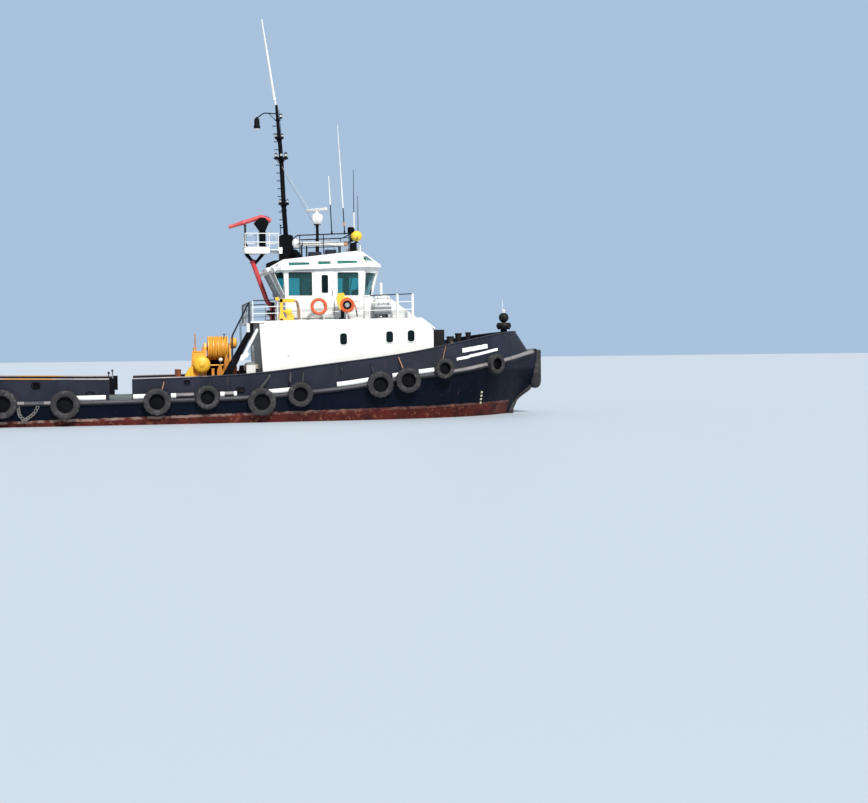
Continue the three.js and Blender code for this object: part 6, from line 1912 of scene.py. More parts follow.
# %% Raking fire main and its brackets
MAIN_X = 0.65
RAKE_FOOT, RAKE_TOP = Vector((0.42, 0, 5.26)), Vector((-0.23, 0, 7.1))
main_line = bend([(0.64, 0, 5.02), (0.56, 0, 5.12), RAKE_FOOT, RAKE_TOP], 0.14, 5)
red_main = [bar((MAIN_X, 0, 4.36), (MAIN_X, 0, 5.02), 0.116, 24), tube(main_line, 0.106, 24),
            *flange((MAIN_X, 0, 4.62), (0, 0, 1), 0.175), *flange((MAIN_X, 0, 4.98), (0, 0, 1), 0.17)]
red_main += flange(RAKE_FOOT.lerp(RAKE_TOP, 0.97), RAKE_TOP - RAKE_FOOT, 0.152, 0.028)
red_main.append(box(0.34, 0.78, -0.22, 0.22, 4.33, 4.42))
valve = [bar((MAIN_X, 0.1, 4.8), (MAIN_X, 0.235, 4.8), 0.018, 10)]
wheel = [hoop((MAIN_X, 0.236, 4.8), 0.075, 0.01, (0, 1, 0), 20, 8)]
wheel += [bar((MAIN_X, 0.236, 4.8), (MAIN_X + 0.075 * cos(t), 0.236, 4.8 + 0.075 * sin(t)), 0.006, 6)
          for t in (0.3, 2.394, 4.489)]
struts = [bar((-0.2, 0, 7.06), (-0.48, 0, 7.385), 0.065, 18, 0.088),
          bar((-0.16, 0, 6.9), (0.25, 0, 7.385), 0.058, 18, 0.078)]
struts += [prism([(-0.235, 7.02), (-0.12, 6.9), (-0.02, 7.12), (-0.3, 7.2)], -0.01, 0.01)]
struts += [box(x - 0.1, x + 0.1, -0.1, 0.1, 7.362, 7.389) for x in (-0.47, 0.24)]
valve_gear = [box(0.3, 0.7, -1.0, -0.7, 4.33, 4.42), box(0.32, 0.68, -1.0, -0.72, 4.62, 4.82),
              box(0.5, 0.66, -0.96, -0.76, 4.95, 5.2), bar((0.58, -0.86, 4.33), (0.58, -0.86, 5.0), 0.035, 12)]
piece("valve_gear", {"black": valve_gear}, bevel=0.006)
piece("fire_main_pipe", {"red": red_main}, slot="red_paint", replaces=["fire_main"], smooth=45)
piece("fire_main_struts", {"black": struts, "rusty_black": valve, "red": wheel}, smooth=45)
print("main rises to", round(main_line[-1].z, 2))

# %% Monitor head and tube
head_outline = [(0.1, 8.462), (0.4, 8.462), (0.525, 8.77), (0.52, 8.8), (0.385, 9.005), (0.36, 9.02), (0.14, 9.02),
                (0.115, 9.005), (-0.115, 8.8), (-0.12, 8.77)]
head = [prism(head_outline, *sorted((y, y + copysign(0.036, y)))) for y in (-0.125, 0.125)]
head += [lathe([(0.145, 0.0), (0.148, 0.02), (0.148, 0.055), (0.1, 0.078)], (COLUMN_X, 0, 8.392), sides=32)]
head += [lathe([(0.05, 0.0), (0.05, 0.02), (0.03, 0.026)], (COLUMN_X, copysign(0.14, y), 8.93), (0, y, 0), 18)
         for y in (-1, 1)]
head += studs("z", 8.44, 8.485, (COLUMN_X, 0), 0.125, 0.01, turns(8, 0.2))
gear_box = [box(0.16, 0.34, 0.128, 0.162, 8.55, 8.72)]
piece("monitor_head_yoke", {"black": head, "rusty_black": gear_box}, body="monitor_head",
      replaces=["monitor_swivel"], bevel=0.004, smooth=45)
PIVOT = Vector((COLUMN_X, 0, 8.93))
muzzle, knee, tail = Vector((-1.24, 0, 8.6)), Vector((0.23, 0, 9.07)), Vector((0.64, 0, 8.89))
out = (muzzle - knee).normalized()
pipe_length = (muzzle - knee).length
red_tube = [tube(bend([tail, knee, muzzle.lerp(knee, 0.55)], 0.06, 5), 0.1, 22)]
nozzle_profile = [(0.0, 0.0), (0.098, 0.0), (0.098, 0.12), (0.106, 0.14), (0.106, 0.2), (0.098, 0.22), (0.082, 0.6),
                  (0.076, 0.76), (0.09, 0.78), (0.09, 0.835), (0.066, 0.835), (0.064, 0.7), (0.0, 0.7)]
red_tube.append(lathe(nozzle_profile, muzzle - out * 0.84, out, 26))
red_tube += flange(knee.lerp(muzzle, 0.22), out, 0.105, 0.026, 8, 0.009)
red_tube += flange(tail + (knee - tail).normalized() * 0.03, tail - knee, 0.108, 0.03, 8, 0.009)
red_tube.append(lathe([(0.055, -0.112), (0.08, -0.09), (0.08, 0.09), (0.055, 0.112)], PIVOT, (0, 1, 0), 24))
lever = [tube(bend([knee + Vector((0.1, 0.03, 0.03)), knee + Vector((0.22, 0.03, 0.045)),
                    knee + Vector((0.36, 0.03, -0.03))], 0.04), 0.01, 8)]
piece("monitor_pipe", {"red": red_tube, "black": lever}, body="monitor_tube", slot="red_paint",
      replaces=["monitor_barrel"], smooth=45)
print("monitor tube is", round(pipe_length, 2), "m long")

# %% [markdown]
# Boat deck rails.
# Rails are pipe, welded up on board: posts on small pads, a top rail and two lower ones, with a small
# collar for each weld. Lifebuoys hang outboard on hooks, with a grab line round them, caught by four red
# bands. The line hangs slack between the bands, as rope does.

# %% Rails along the boat deck
POSTS_X = [-0.47, 0.6, 1.62, 2.6, 3.6, 4.6, 5.85, 6.53]
RAIL_SHARES = (0.36, 0.68, 1.0)
RAIL_Y = 2.96
BUOY_X, BUOY_Y, BUOY_Z = 2.38, 3.033, 4.93


def rail_top(x):
    """Height of the boat deck's top rail."""
    return 5.19 + 0.042 * (x + 0.47)


def rail_posts(places, top_of):
    """Posts with a pad at the foot."""
    shapes = []
    for x, y in places:
        foot, top = boat_deck_z(x), top_of(x)
        thick = 0.06 if x > 5.2 else 0.024
        shapes.append(bar((x, y, foot), (x, y, top), thick, 12))
        shapes.append(lathe([(0.052, 0.0), (0.052, 0.01), (0.024, 0.014), (0.022, 0.035)],
                            (x, y, foot - 0.002), sides=14))
    return shapes


for side, word in SIDES:
    y, front_rails = side * RAIL_Y, []
    shapes = rail_posts([(x, y) for x in POSTS_X], rail_top)
    for share in RAIL_SHARES:
        line = [(x, y, boat_deck_z(x) + (rail_top(x) - boat_deck_z(x)) * share) for x in POSTS_X]
        if share < 1.0:
            shapes.append(tube(line, 0.018, 10))
        else:
            shapes.append(tube([p for p in line if 0.5 < p[0] < 4.7], 0.022, 10))
            front_rails.append(tube([p for p in line if p[0] < 0.7], 0.024, 10))
            front_rails.append(tube([p for p in line if p[0] > 4.5], 0.024, 10))
        shapes += [bar((x - 0.03, y, z), (x + 0.03, y, z + 0.0025), 0.026, 10) for x, _, z in line[1:-1]]
    shapes += [bar((BUOY_X + dx, y, low), (BUOY_X + dx, y + side * out, high), 0.008, 8)
               for low, out, high in ((5.16, 0.1, 5.19), (4.7, 0.05, 4.66)) for dx in (-0.14, 0.14)]
    piece(f"deck_rail_{word}", {"white": shapes, "slate": front_rails}, replaces=[f"railing_{word}"], smooth=60)
AFT_POSTS_Y = (-2.15, -1.0, 0.0, 1.0, 2.0, 2.89)
shapes = rail_posts([(-0.5, y) for y in AFT_POSTS_Y], lambda x: 5.18)
shapes += [bar((-0.5, -2.15, z), (-0.5, 2.89, z), 0.018, 10) for z in (4.627, 4.908)]
piece("deck_rail_aft", {"grey": shapes, "black": [tube([(-0.5, y, 5.187) for y in (-2.17, 0.0, 2.91)], 0.018, 12)]},
      slot="white_paint", replaces=["railing_aft"], smooth=60)
print("rail posts:", 2 * len(POSTS_X) + len(AFT_POSTS_Y))

# %% Lifebuoys with bands and slack grab lines
BUOY_R, BUOY_THICK = 0.3, 0.058


def buoy_section(centre, t, wide, deep):
    """The ring's section at one angle round it."""
    section = []
    for s in turns(14):
        reach = BUOY_R + BUOY_THICK * wide * cos(s)
        section.append((centre[0] + reach * cos(t), centre[1] + BUOY_THICK * deep * sin(s),
                        centre[2] + reach * sin(t)))
    return section


def lifebuoy(centre):
    """A ring of flattened section and four bands round it."""
    foam = loft([buoy_section(centre, 2 * pi * k / 40, 1.1, 0.9) for k in range(41)], capped=False)
    bands = [loft([buoy_section(centre, middle + step, 1.18, 1.0) for step in (-0.11, -0.055, 0.0, 0.055, 0.11)])
             for middle in turns(4, pi / 4)]
    return [foam], bands


ring_foam, ring_bands, ring_lines = [], [], []
for side in (-1, 1):
    foam, bands = lifebuoy((BUOY_X, side * BUOY_Y, BUOY_Z))
    ring_foam, ring_bands = ring_foam + foam, ring_bands + bands
    line = []
    for k in range(33):
        t = pi / 4 + 2 * pi * k / 32
        sag = 0.028 * sin(pi * ((k % 8) / 8)) ** 2
        reach = 0.3694 + sag
        line.append((BUOY_X + reach * cos(t), side * BUOY_Y, BUOY_Z + reach * sin(t) - sag * 0.6))
    ring_lines.append(tube(line[:-1], 0.007, 6, closed=True))
piece("lifebuoy_rings", {"buoy_orange": ring_foam, "reel_red": ring_bands, "rope": ring_lines}, slot="red_paint",
      smooth=70)
print("lifebuoys:", len(ring_foam))

# %% [markdown]
# Stairs, life rafts and hose stations.
# A ship's stair is two plate stringers with chequered treads and thin bent handrails. A raft canister is
# two glass-fibre shells clipped together round the middle and lashed into a cradle. The hose stations are
# plain yellow steelwork, much repainted.

# %% Stair on the starboard side
STAIR_TOP, STAIR_FOOT = Vector((-0.43, 0, 4.18)), Vector((-2.12, 0, 1.1))
STAIR_Y = (-2.95, -2.28)
TREADS = 10
black, worn, handrails = [], [], []
cheek = [(-0.45, 4.26), (-0.45, 3.9), (-1.866, 1.15), (-2.19, 1.15), (-2.19, 1.245)]
for y in (STAIR_Y[0] + 0.004, STAIR_Y[1] - 0.016):
    black.append(prism(cheek, y, y + 0.012))
    black += [bar((a[0], y + 0.006, a[1]), (b[0], y + 0.006, b[1]), 0.013, 8)
              for a, b in ((cheek[0], cheek[4]), (cheek[1], cheek[2]))]
for k in range(TREADS):
    middle = STAIR_TOP.lerp(STAIR_FOOT, (k + 1) / (TREADS + 1))
    x0, x1, z = middle.x - 0.08, middle.x + 0.12, middle.z
    black.append(box(x0, x1, STAIR_Y[0] + 0.015, STAIR_Y[1] - 0.015, z - 0.008, z))
    black += [box(x, x + 0.006, STAIR_Y[0] + 0.015, STAIR_Y[1] - 0.015, z - 0.038, z) for x in (x0, x1 - 0.006)]
    worn += [bar((x, STAIR_Y[0] + 0.04, z + 0.002), (x, STAIR_Y[1] - 0.04, z + 0.002), 0.004, 6)
             for x in (x0 + 0.02 + 0.035 * m for m in range(5))]
for y in (-2.935, -2.295):
    rail_path = bend([(-0.6, y, 3.9), (-0.6, y, 5.15), (-1.35, y, 3.68), (-1.35, y, 2.48)], 0.1, 5)
    handrails.append(tube(rail_path, 0.02, 10))
    handrails.append(bar((-0.98, y, 4.4), (-0.98, y, 3.16), 0.012, 8))
piece("stair_steps", {"black": black, "rusty_steel": worn}, replaces=["stair_starboard"], smooth=50)
piece("stair_handrails", {"slate": handrails}, slot="black_paint", smooth=60)
brace = [bar((-0.27, -2.9, 3.98), (-0.83, -2.9, 2.91), 0.07, 14),
         bar((-0.67, -2.9, 3.85), (-0.67, -2.9, 4.22), 0.08, 16),
         prism([(-1.08, 2.64), (-0.96, 2.61), (-0.7, 2.8), (-0.66, 2.94), (-0.78, 3.0), (-1.0, 2.86)], -2.96, -2.9)]
piece("deck_brace", {"white": brace}, bevel=0.006)
print("treads:", TREADS)

# %% Life rafts in their cradles
RAFT, RAFT_R = Vector((5.24, -2.53, 5.09)), 0.352
RAFT_DECK = boat_deck_z(5.2)
shell = [(0.0, -0.398), (0.19, -0.38), (0.285, -0.335), (0.333, -0.285), (RAFT_R - 0.008, -0.24)]
for k in range(5):
    z = -0.2 + 0.1 * k
    shell += [(RAFT_R - 0.008, z - 0.03), (RAFT_R, z - 0.02), (RAFT_R, z + 0.02), (RAFT_R - 0.008, z + 0.03)]
shell += [(RAFT_R - 0.008, 0.24), (0.333, 0.285), (0.285, 0.335), (0.19, 0.38), (0.0, 0.398)]
raft = [lathe(shell, RAFT, (1, 0, 0), 40)]
seam = []
for y in (-1, 1):
    line = [(RAFT.x + x, RAFT.y + y * (RAFT_R + 0.004), RAFT.z) for x in (-0.28, 0.0, 0.28)]
    seam.append(tube(line, 0.014, 8))
    seam += [box(RAFT.x + x - 0.02, RAFT.x + x + 0.02, RAFT.y + y * (RAFT_R - 0.004), RAFT.y + y * (RAFT_R + 0.004),
                 RAFT.z - 0.05, RAFT.z + 0.05) for x in (-0.2, 0.0, 0.2)]
straps = [hoop(RAFT + Vector((x, 0, 0)), RAFT_R + 0.003, 0.006, (1, 0, 0), 44, 6)
          for x in (-0.235, -0.205, 0.205, 0.235)]
cradle = []
for x in (-0.23, 0.23):
    arc = [(RAFT.y + 0.36 * sin(t), RAFT.z - 0.36 * cos(t)) for t in np.linspace(-0.95, 0.95, 15)]
    under = [(RAFT.y + 0.27, RAFT_DECK), (RAFT.y - 0.27, RAFT_DECK)]
    cradle.append(prism([*arc, *under], RAFT.x + x - 0.012, RAFT.x + x + 0.012, "x"))
    cradle.append(tube([(RAFT.x + x, a, b) for a, b in arc], 0.011, 6))
cradle += [box(RAFT.x - 0.25, RAFT.x + 0.25, RAFT.y + y - 0.02, RAFT.y + y + 0.02, RAFT_DECK - 0.005, RAFT_DECK + 0.05)
           for y in (-0.28, 0.28)]
saddle = [prism([(RAFT.y - 0.335, RAFT.z - 0.06), (RAFT.y + 0.335, RAFT.z - 0.06), (RAFT.y + 0.3, 4.6),
                 (RAFT.y - 0.3, 4.6)], RAFT.x - 0.36, RAFT.x + 0.36, "x")]
release = [lathe([(0.045, 0.0), (0.045, 0.05), (0.03, 0.06)], (RAFT.x - 0.1, RAFT.y - 0.29, 4.46), sides=16),
           bar((RAFT.x - 0.07, RAFT.y - 0.2, RAFT.z + 0.25), (RAFT.x - 0.07, RAFT.y - 0.2, 5.9), 0.072, 16),
           ball((RAFT.x - 0.07, RAFT.y - 0.2, 5.9), 0.078, 16)]
for word, flip in (("starboard", lambda s: s), ("port", ported)):
    piece(f"raft_canister_{word}", {"raft": [flip(s) for s in raft + saddle], "grey": [flip(s) for s in seam + straps]},
          slot="white_plastic", replaces=[f"liferaft_{word}"], smooth=35)
    piece(f"raft_cradle_{word}", {"grey": [flip(s) for s in cradle], "gelcoat": [flip(s) for s in release]},
          slot="black_paint", bevel=0.003)
print("raft is", round(shell[-1][1] - shell[0][1], 2), "m long")

# %% Hose stations on the starboard side
STATION = -3.023  # y of their middle


def station_box(x0, x1, z0, z1, half=0.033):
    """A box in line with the hose stations."""
    return box(x0, x1, STATION - half, STATION + half, z0, z1)


yellow = [station_box(0.692, 0.818, boat_deck_z(0.7), 5.27), station_box(0.692, 1.328, 5.115, 5.268),
          station_box(0.692, 1.288, boat_deck_z(1.0) - 0.02, 4.42), station_box(0.818, 1.0, 4.7, 4.78, 0.02),
          station_box(0.5, 0.66, 5.2, 5.34, 0.03)]
yellow += [station_box(1.0, 1.29, 4.36, 4.6, 0.03), station_box(0.66, 0.86, boat_deck_z(0.7), 4.62, 0.03)]
yellow += [prism([(0.818, 4.42), (0.95, 4.42), (0.818, 4.6)], STATION - 0.01, STATION + 0.01)]
pale_ball = [lathe([(0.0, -0.072), (0.05, -0.07), (0.1, -0.052), (0.137, -0.02), (0.149, 0.0), (0.149, 0.028),
                    (0.0, 0.03)], (1.06, STATION + 0.005, 4.7), (0, 1, 0), 30),
             hoop((1.06, STATION - 0.062, 4.7), 0.05, 0.01, (0, 1, 0), 20, 8)]
# x, its growth from turn to turn, growth outboard, z
COIL = [(1.33, 0.0, 0.01, 5.17), (1.385, 0.02, 0.015, 5.16), (1.44, 0.02, 0.015, 5.02), (1.47, 0.025, 0.015, 4.75),
        (1.49, 0.02, 0.01, 4.5), (1.48, 0.02, 0.0, 4.39)]
coil = [tube(smooth_path([(x + dx * k, STATION - dy * k, z) for x, dx, dy, z in COIL], 0.05), 0.034, 8)
        for k in range(3)]
piece("hose_station_frame", {"yellow": yellow}, replaces=["hose_box_starboard"], bevel=0.006)
piece("hose_station_ball", {"bright_yellow": pale_ball}, slot="yellow_paint", smooth=60)
piece("hose_coil", {"hose": coil}, slot="chair_cover", smooth=60)
REEL = Vector((3.61, -3.052, 4.99))
reel_core = [lathe([(0.095, -0.05), (0.105, -0.035), (0.105, 0.0)], REEL, (0, 1, 0), 30)]
reel_hose = [hoop(REEL + Vector((0, -0.024 + 0.032 * k, 0)), 0.213 + 0.044 * layer + 0.006 * (k % 2), 0.024, (0, 1, 0),
                  44, 8) for layer in range(3) for k in range(3)]
reel_hose.append(tube(smooth_path([(3.9, REEL.y, 5.06), (3.985, REEL.y, 4.9), (4.01, REEL.y, 4.76)], 0.05), 0.026, 8))
reel_black = [tube(smooth_path([(4.01, REEL.y, 4.78), (4.03, REEL.y, 4.64), (4.05, REEL.y, 4.48)], 0.05), 0.024, 8),
              lathe([(0.185, -0.03), (0.19, -0.02), (0.19, 0.062)], REEL, (0, 1, 0), 36),
              station_box(3.265, 3.51, boat_deck_z(3.4) - 0.01, 4.45), station_box(3.335, 3.485, 4.44, 4.78, 0.022)]
hood_turns = [radians(t) for t in range(78, 214, 9)]
hood_reach = [(0.372, -0.05), (0.372, 0.055), (0.345, 0.055), (0.345, -0.034), (0.318, -0.034), (0.318, -0.05)]
arch = [loft([[(REEL.x + r * cos(t), REEL.y + y, REEL.z + r * sin(t)) for r, y in hood_reach] for t in hood_turns]),
        prism([(3.14, 5.3), (3.22, 5.5), (3.46, 5.53), (3.52, 5.4), (3.44, 5.3), (3.3, 5.1), (3.25, 4.98), (3.2, 5.02)],
              STATION - 0.04, STATION + 0.03)]
piece("hose_reel_frame", {"yellow": arch, "grey": reel_core, "black": reel_black},
      replaces=["hose_reel_starboard"], smooth=50)
piece("hose_reel_hose", {"reel_red": reel_hose}, slot="red_paint", smooth=60)
hook_chain = chain(Vector((3.05, -3.03, 5.13)), Vector((3.05, -3.03, 4.58)), 0.06, 0.008)
piece("hose_reel_chain", {"black": hook_chain})
print("turns in the coil:", len(coil))

# %% [markdown]
# The towing winch.
# The winch is the boat's strongest thing: thick frames, a wide ribbed drum and two hydraulic motors. An
# orange hawser lies on the drum in layers, and each turn touches the next, so it is made as one long helix
# for each bay between two ribs, stepping back over itself at the ribs.

# %% Winch frame and motor
WINCH_Z = 3.18  # the shaft
MOTOR_X, MOTOR_Z = -2.57, 2.46


def rimmed_plate(outline, x0, x1):
    """A thick upright plate across the boat with a flat bar welded round its edge."""
    plate = prism(outline, (x0 + x1) / 2 - 0.012, (x0 + x1) / 2 + 0.012, "x")
    rim = []
    for (y0, z0), (y1, z1) in zip(outline, outline[1:] + outline[:1]):
        run = Vector((y1 - y0, z1 - z0))
        inward = Vector((-run.y, run.x)).normalized() * 0.014
        rim.append(loft([[(x, y0, z0), (x, y1, z1), (x, y1 + inward.x, z1 + inward.y),
                          (x, y0 + inward.x, z0 + inward.y)] for x in (x0, x1)]))
    return [plate, *rim]


side_outline = [(-0.42, 1.3), (0.42, 1.3), (0.41, 2.3), (0.3, 3.22), (0.2, 3.41), (-0.2, 3.41), (-0.3, 3.22),
                (-0.41, 2.3)]
orange = [*rimmed_plate(side_outline, -2.45, -2.345), *rimmed_plate(side_outline, -1.34, -1.26)]
orange += [box(-3.05, -1.15, y0, y1, 1.12, 1.32) for y0, y1 in ((-0.85, -0.72), (0.72, 0.85), (-0.12, 0.12))]
orange += [box(x0, x1, -0.85, 0.85, 1.22, 1.32)
           for x0, x1 in ((-3.05, -2.9), (-2.46, -2.32), (-1.36, -1.24), (-1.8, -1.66))]
for x in (-2.4, -1.3):
    orange.append(lathe([(0.2, -0.038), (0.2, 0.038)], (x, 0, WINCH_Z), (1, 0, 0), 28))
    orange += studs("x", x - 0.044, x + 0.044, (0, WINCH_Z), 0.155, 0.018, turns(6))
orange += [box(-2.94, -2.46, -0.62, 0.62, 1.32, 3.02), box(-2.96, -2.44, -0.65, 0.65, 3.02, 3.06)]
orange += [box(x, x + 0.04, -0.6, 0.6, 3.06, 3.235) for x in (-2.9, -2.52)]
orange += [prism([(-2.95, 1.33), (-2.95, 1.6), (-3.03, 1.33)], y - 0.01, y + 0.01) for y in (-0.55, 0.0, 0.55)]
orange += [bar((-2.36, y, z), (-1.27, y, z), r, 14)
           for y, z, r in ((-0.36, 1.85, 0.045), (0.36, 1.85, 0.045), (-0.3, 2.42, 0.035))]
ribs = [box(-2.945, -2.935, y - 0.012, y + 0.012, 1.36, 3.0) for y in (-0.45, -0.15, 0.15, 0.45)]
legs = [box(-2.14, -2.02, -0.62, -0.5, 1.32, 2.28),
        prism([(-1.9, 1.32), (-1.66, 1.32), (-1.66, 2.2), (-1.72, 2.44), (-1.79, 2.44), (-1.9, 2.2)], -0.62, -0.48),
        prism([(-1.64, 1.32), (-1.56, 1.32), (-1.4, 2.3), (-1.38, 2.66), (-1.43, 2.76), (-1.53, 2.76), (-1.59, 2.6),
               (-1.57, 2.32)], -0.72, -0.62)]
doors = [placed(prism(round_rect(0.1, 0.42, 0.15, 0.8, 0.05), 0.0, 0.016, "z"),
                plane((-2.94, -0.62, 1.6), (1, 0, 0), (0, 0, 1)))]
guard = [bar((-2.96, -0.62, 3.05), (-3.04, -0.62, 1.91), 0.028, 12),
         bar((-1.47, -0.55, 2.89), (-1.64, -0.55, 1.98), 0.03, 12),
         bar((-1.28, -0.5, 2.6), (-1.24, -0.5, 1.34), 0.03, 12)]
motor = [lathe([(0.09, 0.0), (0.11, 0.012), (0.12, 0.035), (0.22, 0.05), (0.31, 0.09), (0.355, 0.14), (0.375, 0.2),
                (0.375, 0.31), (0.36, 0.34), (0.3, 0.35), (0.3, 0.46)], (MOTOR_X, -1.0, MOTOR_Z), (0, 1, 0), 36)]
motor += studs("y", -0.875, -0.83, (MOTOR_X, MOTOR_Z), 0.34, 0.014, turns(12))
second = [lathe([(0.0, 0.0), (0.245, 0.0), (0.25, 0.03), (0.242, 0.05), (0.235, 0.21), (0.2, 0.265), (0.1, 0.29),
                 (0.0, 0.292)], (-1.27, -0.15, 3.4), (1, 0, 0), 32)]
second += studs("x", -1.262, -1.225, (-0.15, 3.4), 0.185, 0.013, turns(10))
hoses = [tube(smooth_path([(MOTOR_X + dx, -0.8, 2.12), (-2.6 + dx, -0.86, 1.95), (-2.66 + dx, -0.8, 1.8),
                           (-2.72 + dx, -0.64, 1.76)], 0.05), 0.018, 8) for dx in (-0.08, 0.06)]
pole = [bar((-2.84, -0.5, 3.2), (-2.84, -0.5, 3.8), 0.032, 12), ball((-2.84, -0.5, 3.8), 0.036, 14),
        box(-2.9, -2.78, -0.56, -0.44, 3.06, 3.22)]
dark = [bar((-3.03, -0.3, 2.4), (-2.46, -0.3, 2.4), 0.03, 14), bar((-1.55, -0.3, 3.4), (-1.55, -0.3, 3.76), 0.014, 8),
        ball((-1.55, -0.3, 3.79), 0.04, 14), bar((-1.55, -0.3, 3.4), (-1.3, -0.3, 3.36), 0.016, 8)]
lump = [prism([(-3.44, 1.24), (-2.96, 1.24), (-2.96, 2.38), (-3.12, 2.34), (-3.3, 2.02), (-3.44, 1.6)], -0.95, -0.55)]
# painted shade: black plates between the drum and the legs, for the shade under the drum
plates = [box(-2.34, -1.345, 0.45, 0.48, 1.32, 2.83), box(-2.34, -1.345, -0.25, 0.25, 1.32, 2.05)]
piece("winch_frames", {"orange": orange + ribs + doors + guard, "tan": pole, "yellow": lump, "black": plates,
                       "ochre": legs}, slot="yellow_paint", replaces=["winch_frame"], bevel=0.005, smooth=40)
piece("winch_motors", {"yellow": motor, "orange": second}, smooth=40)
piece("winch_fittings", {"black": dark, "seal": hoses,
                         "gelcoat": [ball((-1.74, -0.72, 2.66), 0.095, 16),
                                     bar((-1.74, -0.68, 2.66), (-1.74, -0.3, 2.45), 0.02)]}, smooth=50)
print("winch frame parts:", len(orange))

# %% Drum and wound hawser
CORE_R, RIB_R = 0.462, 0.556
RIBS_X = [-2.2575, -2.0425, -1.8325, -1.6225, -1.4125]
drum_parts = [lathe([(CORE_R - 0.03, 0.0), (CORE_R - 0.03, 0.88)], (-2.278, 0, WINCH_Z), (1, 0, 0), 40),
              bar((-2.336, 0, WINCH_Z), (-1.35, 0, WINCH_Z), 0.088, 24)]
for x in RIBS_X:
    # the hawser lies nearly flush with the inner ribs
    edge = RIB_R if x in (RIBS_X[0], RIBS_X[-1]) else RIB_R - 0.012
    drum_parts.append(lathe([(edge - 0.006, -0.021), (edge, -0.015), (edge, 0.015), (edge - 0.006, 0.021)],
                            (x, 0, WINCH_Z), (1, 0, 0), 48))
WIRE_R = 0.026
LAYER_TURNS = 2
STEPS_PER_TURN = 20
STEPS = LAYER_TURNS * STEPS_PER_TURN
turns_of_wire = []
for first, last in zip(RIBS_X, RIBS_X[1:]):
    low, high = first + 0.048, last - 0.048
    line = []
    for layer in range(2):
        radius = CORE_R - 0.018 + WIRE_R * (1 + 1.8 * layer)
        for k in range(STEPS + 1):
            share = k / STEPS
            x = low + (high - low) * (share if layer == 0 else 1 - share)
            t = 2 * pi * k / STEPS_PER_TURN
            line.append((x, radius * cos(t), WINCH_Z + radius * sin(t)))
    turns_of_wire.append(tube(line, WIRE_R, 6))
piece("drum_body", {"orange": drum_parts}, body="tow_drum", slot="yellow_paint", replaces=["winch_drum"], smooth=35)
piece("drum_hawser", {"hawser": turns_of_wire}, body="tow_drum", slot="wire", smooth=80)
print("turns of wire per bay:", 2 * LAYER_TURNS)

# %% Towing bitt, vent, and small gear on the aft deck
TOW_X = -3.6  # the towing bitt
VENT_X, VENT_Y = -0.48, -1.85
FLOAT_X, FLOAT_Y = -1.245, -1.98
bitt = []
for y in (-0.45, 0.45):
    bitt.append(lathe([(0.0, 0.0), (0.125, 0.0), (0.125, 1.1), (0.145, 1.11), (0.145, 1.135), (0.125, 1.145),
                       (0.1, 1.155), (0.0, 1.158)], (TOW_X, y, 1.1), sides=30))
    bitt += [prism([(TOW_X + s * a, z) for a, z in ((0.12, 1.17), (0.2, 1.17), (0.12, 1.42))], y - 0.012, y + 0.012)
             for s in (-1, 1)]
bitt.append(lathe([(0.085, -0.648), (0.088, -0.63), (0.088, 0.63), (0.085, 0.648)], (TOW_X, 0, 1.95), (0, 1, 0), 24))
bitt.append(box(-3.8, -3.4, -0.65, 0.65, 1.09, 1.18))
piece("towing_bitt", {"rusty_orange": bitt}, slot="rusty_paint", replaces=["tow_bitt"], bevel=0.004)
mushroom = [lathe([(0.16, 0.0), (0.16, 0.03), (0.145, 0.045), (0.145, 0.98)], (VENT_X, VENT_Y, 1.17), sides=30),
            lathe([(0.145, 0.97), (0.145, 1.04), (0.325, 1.02), (0.33, 1.05), (0.33, 1.22), (0.3, 1.3), (0.2, 1.36),
                   (0.05, 1.385), (0.0, 1.386)], (VENT_X, VENT_Y, 1.17), sides=36)]
mushroom.append(hoop((VENT_X, VENT_Y, 2.24), 0.329, 0.01, (0, 0, 1), 40, 6))
mushroom += [box(-0.5, -0.46, -1.87, -1.83, 2.545, 2.56)]
piece("mushroom_vent", {"white": mushroom[:1], "grey": mushroom[1:]}, replaces=["vent_starboard"], smooth=45)


def hatch(name, x0, x1, y0, y1, z):
    """A low watertight hatch: coaming, crowned lid, hinges, dogs."""
    x, y = (x0 + x1) / 2, (y0 + y1) / 2
    outline = round_rect(x0, x1, y0, y1, 0.1)
    coaming, crown = ([(x + (a - x) * k, y + (b - y) * k) for a, b in outline] for k in (0.94, 0.8))
    steel = [prism(coaming, z - 0.02, z + 0.13, "z"),
             loft([[(a, b, z + h) for a, b in ring] for ring, h in ((outline, 0.13), (outline, 0.16), (crown, 0.19))])]
    dogs = [bar((a, b, z + 0.12), (a, b, z + 0.185), 0.016, 8) for a, b in outline[3::6]]
    dogs.append(bar((x0 + 0.1, y - 0.08, z + 0.19), (x0 + 0.1, y + 0.08, z + 0.19), 0.014, 8))
    piece(name, {"grey": steel, "rusty_black": dogs}, slot="deck_paint", bevel=0.004)


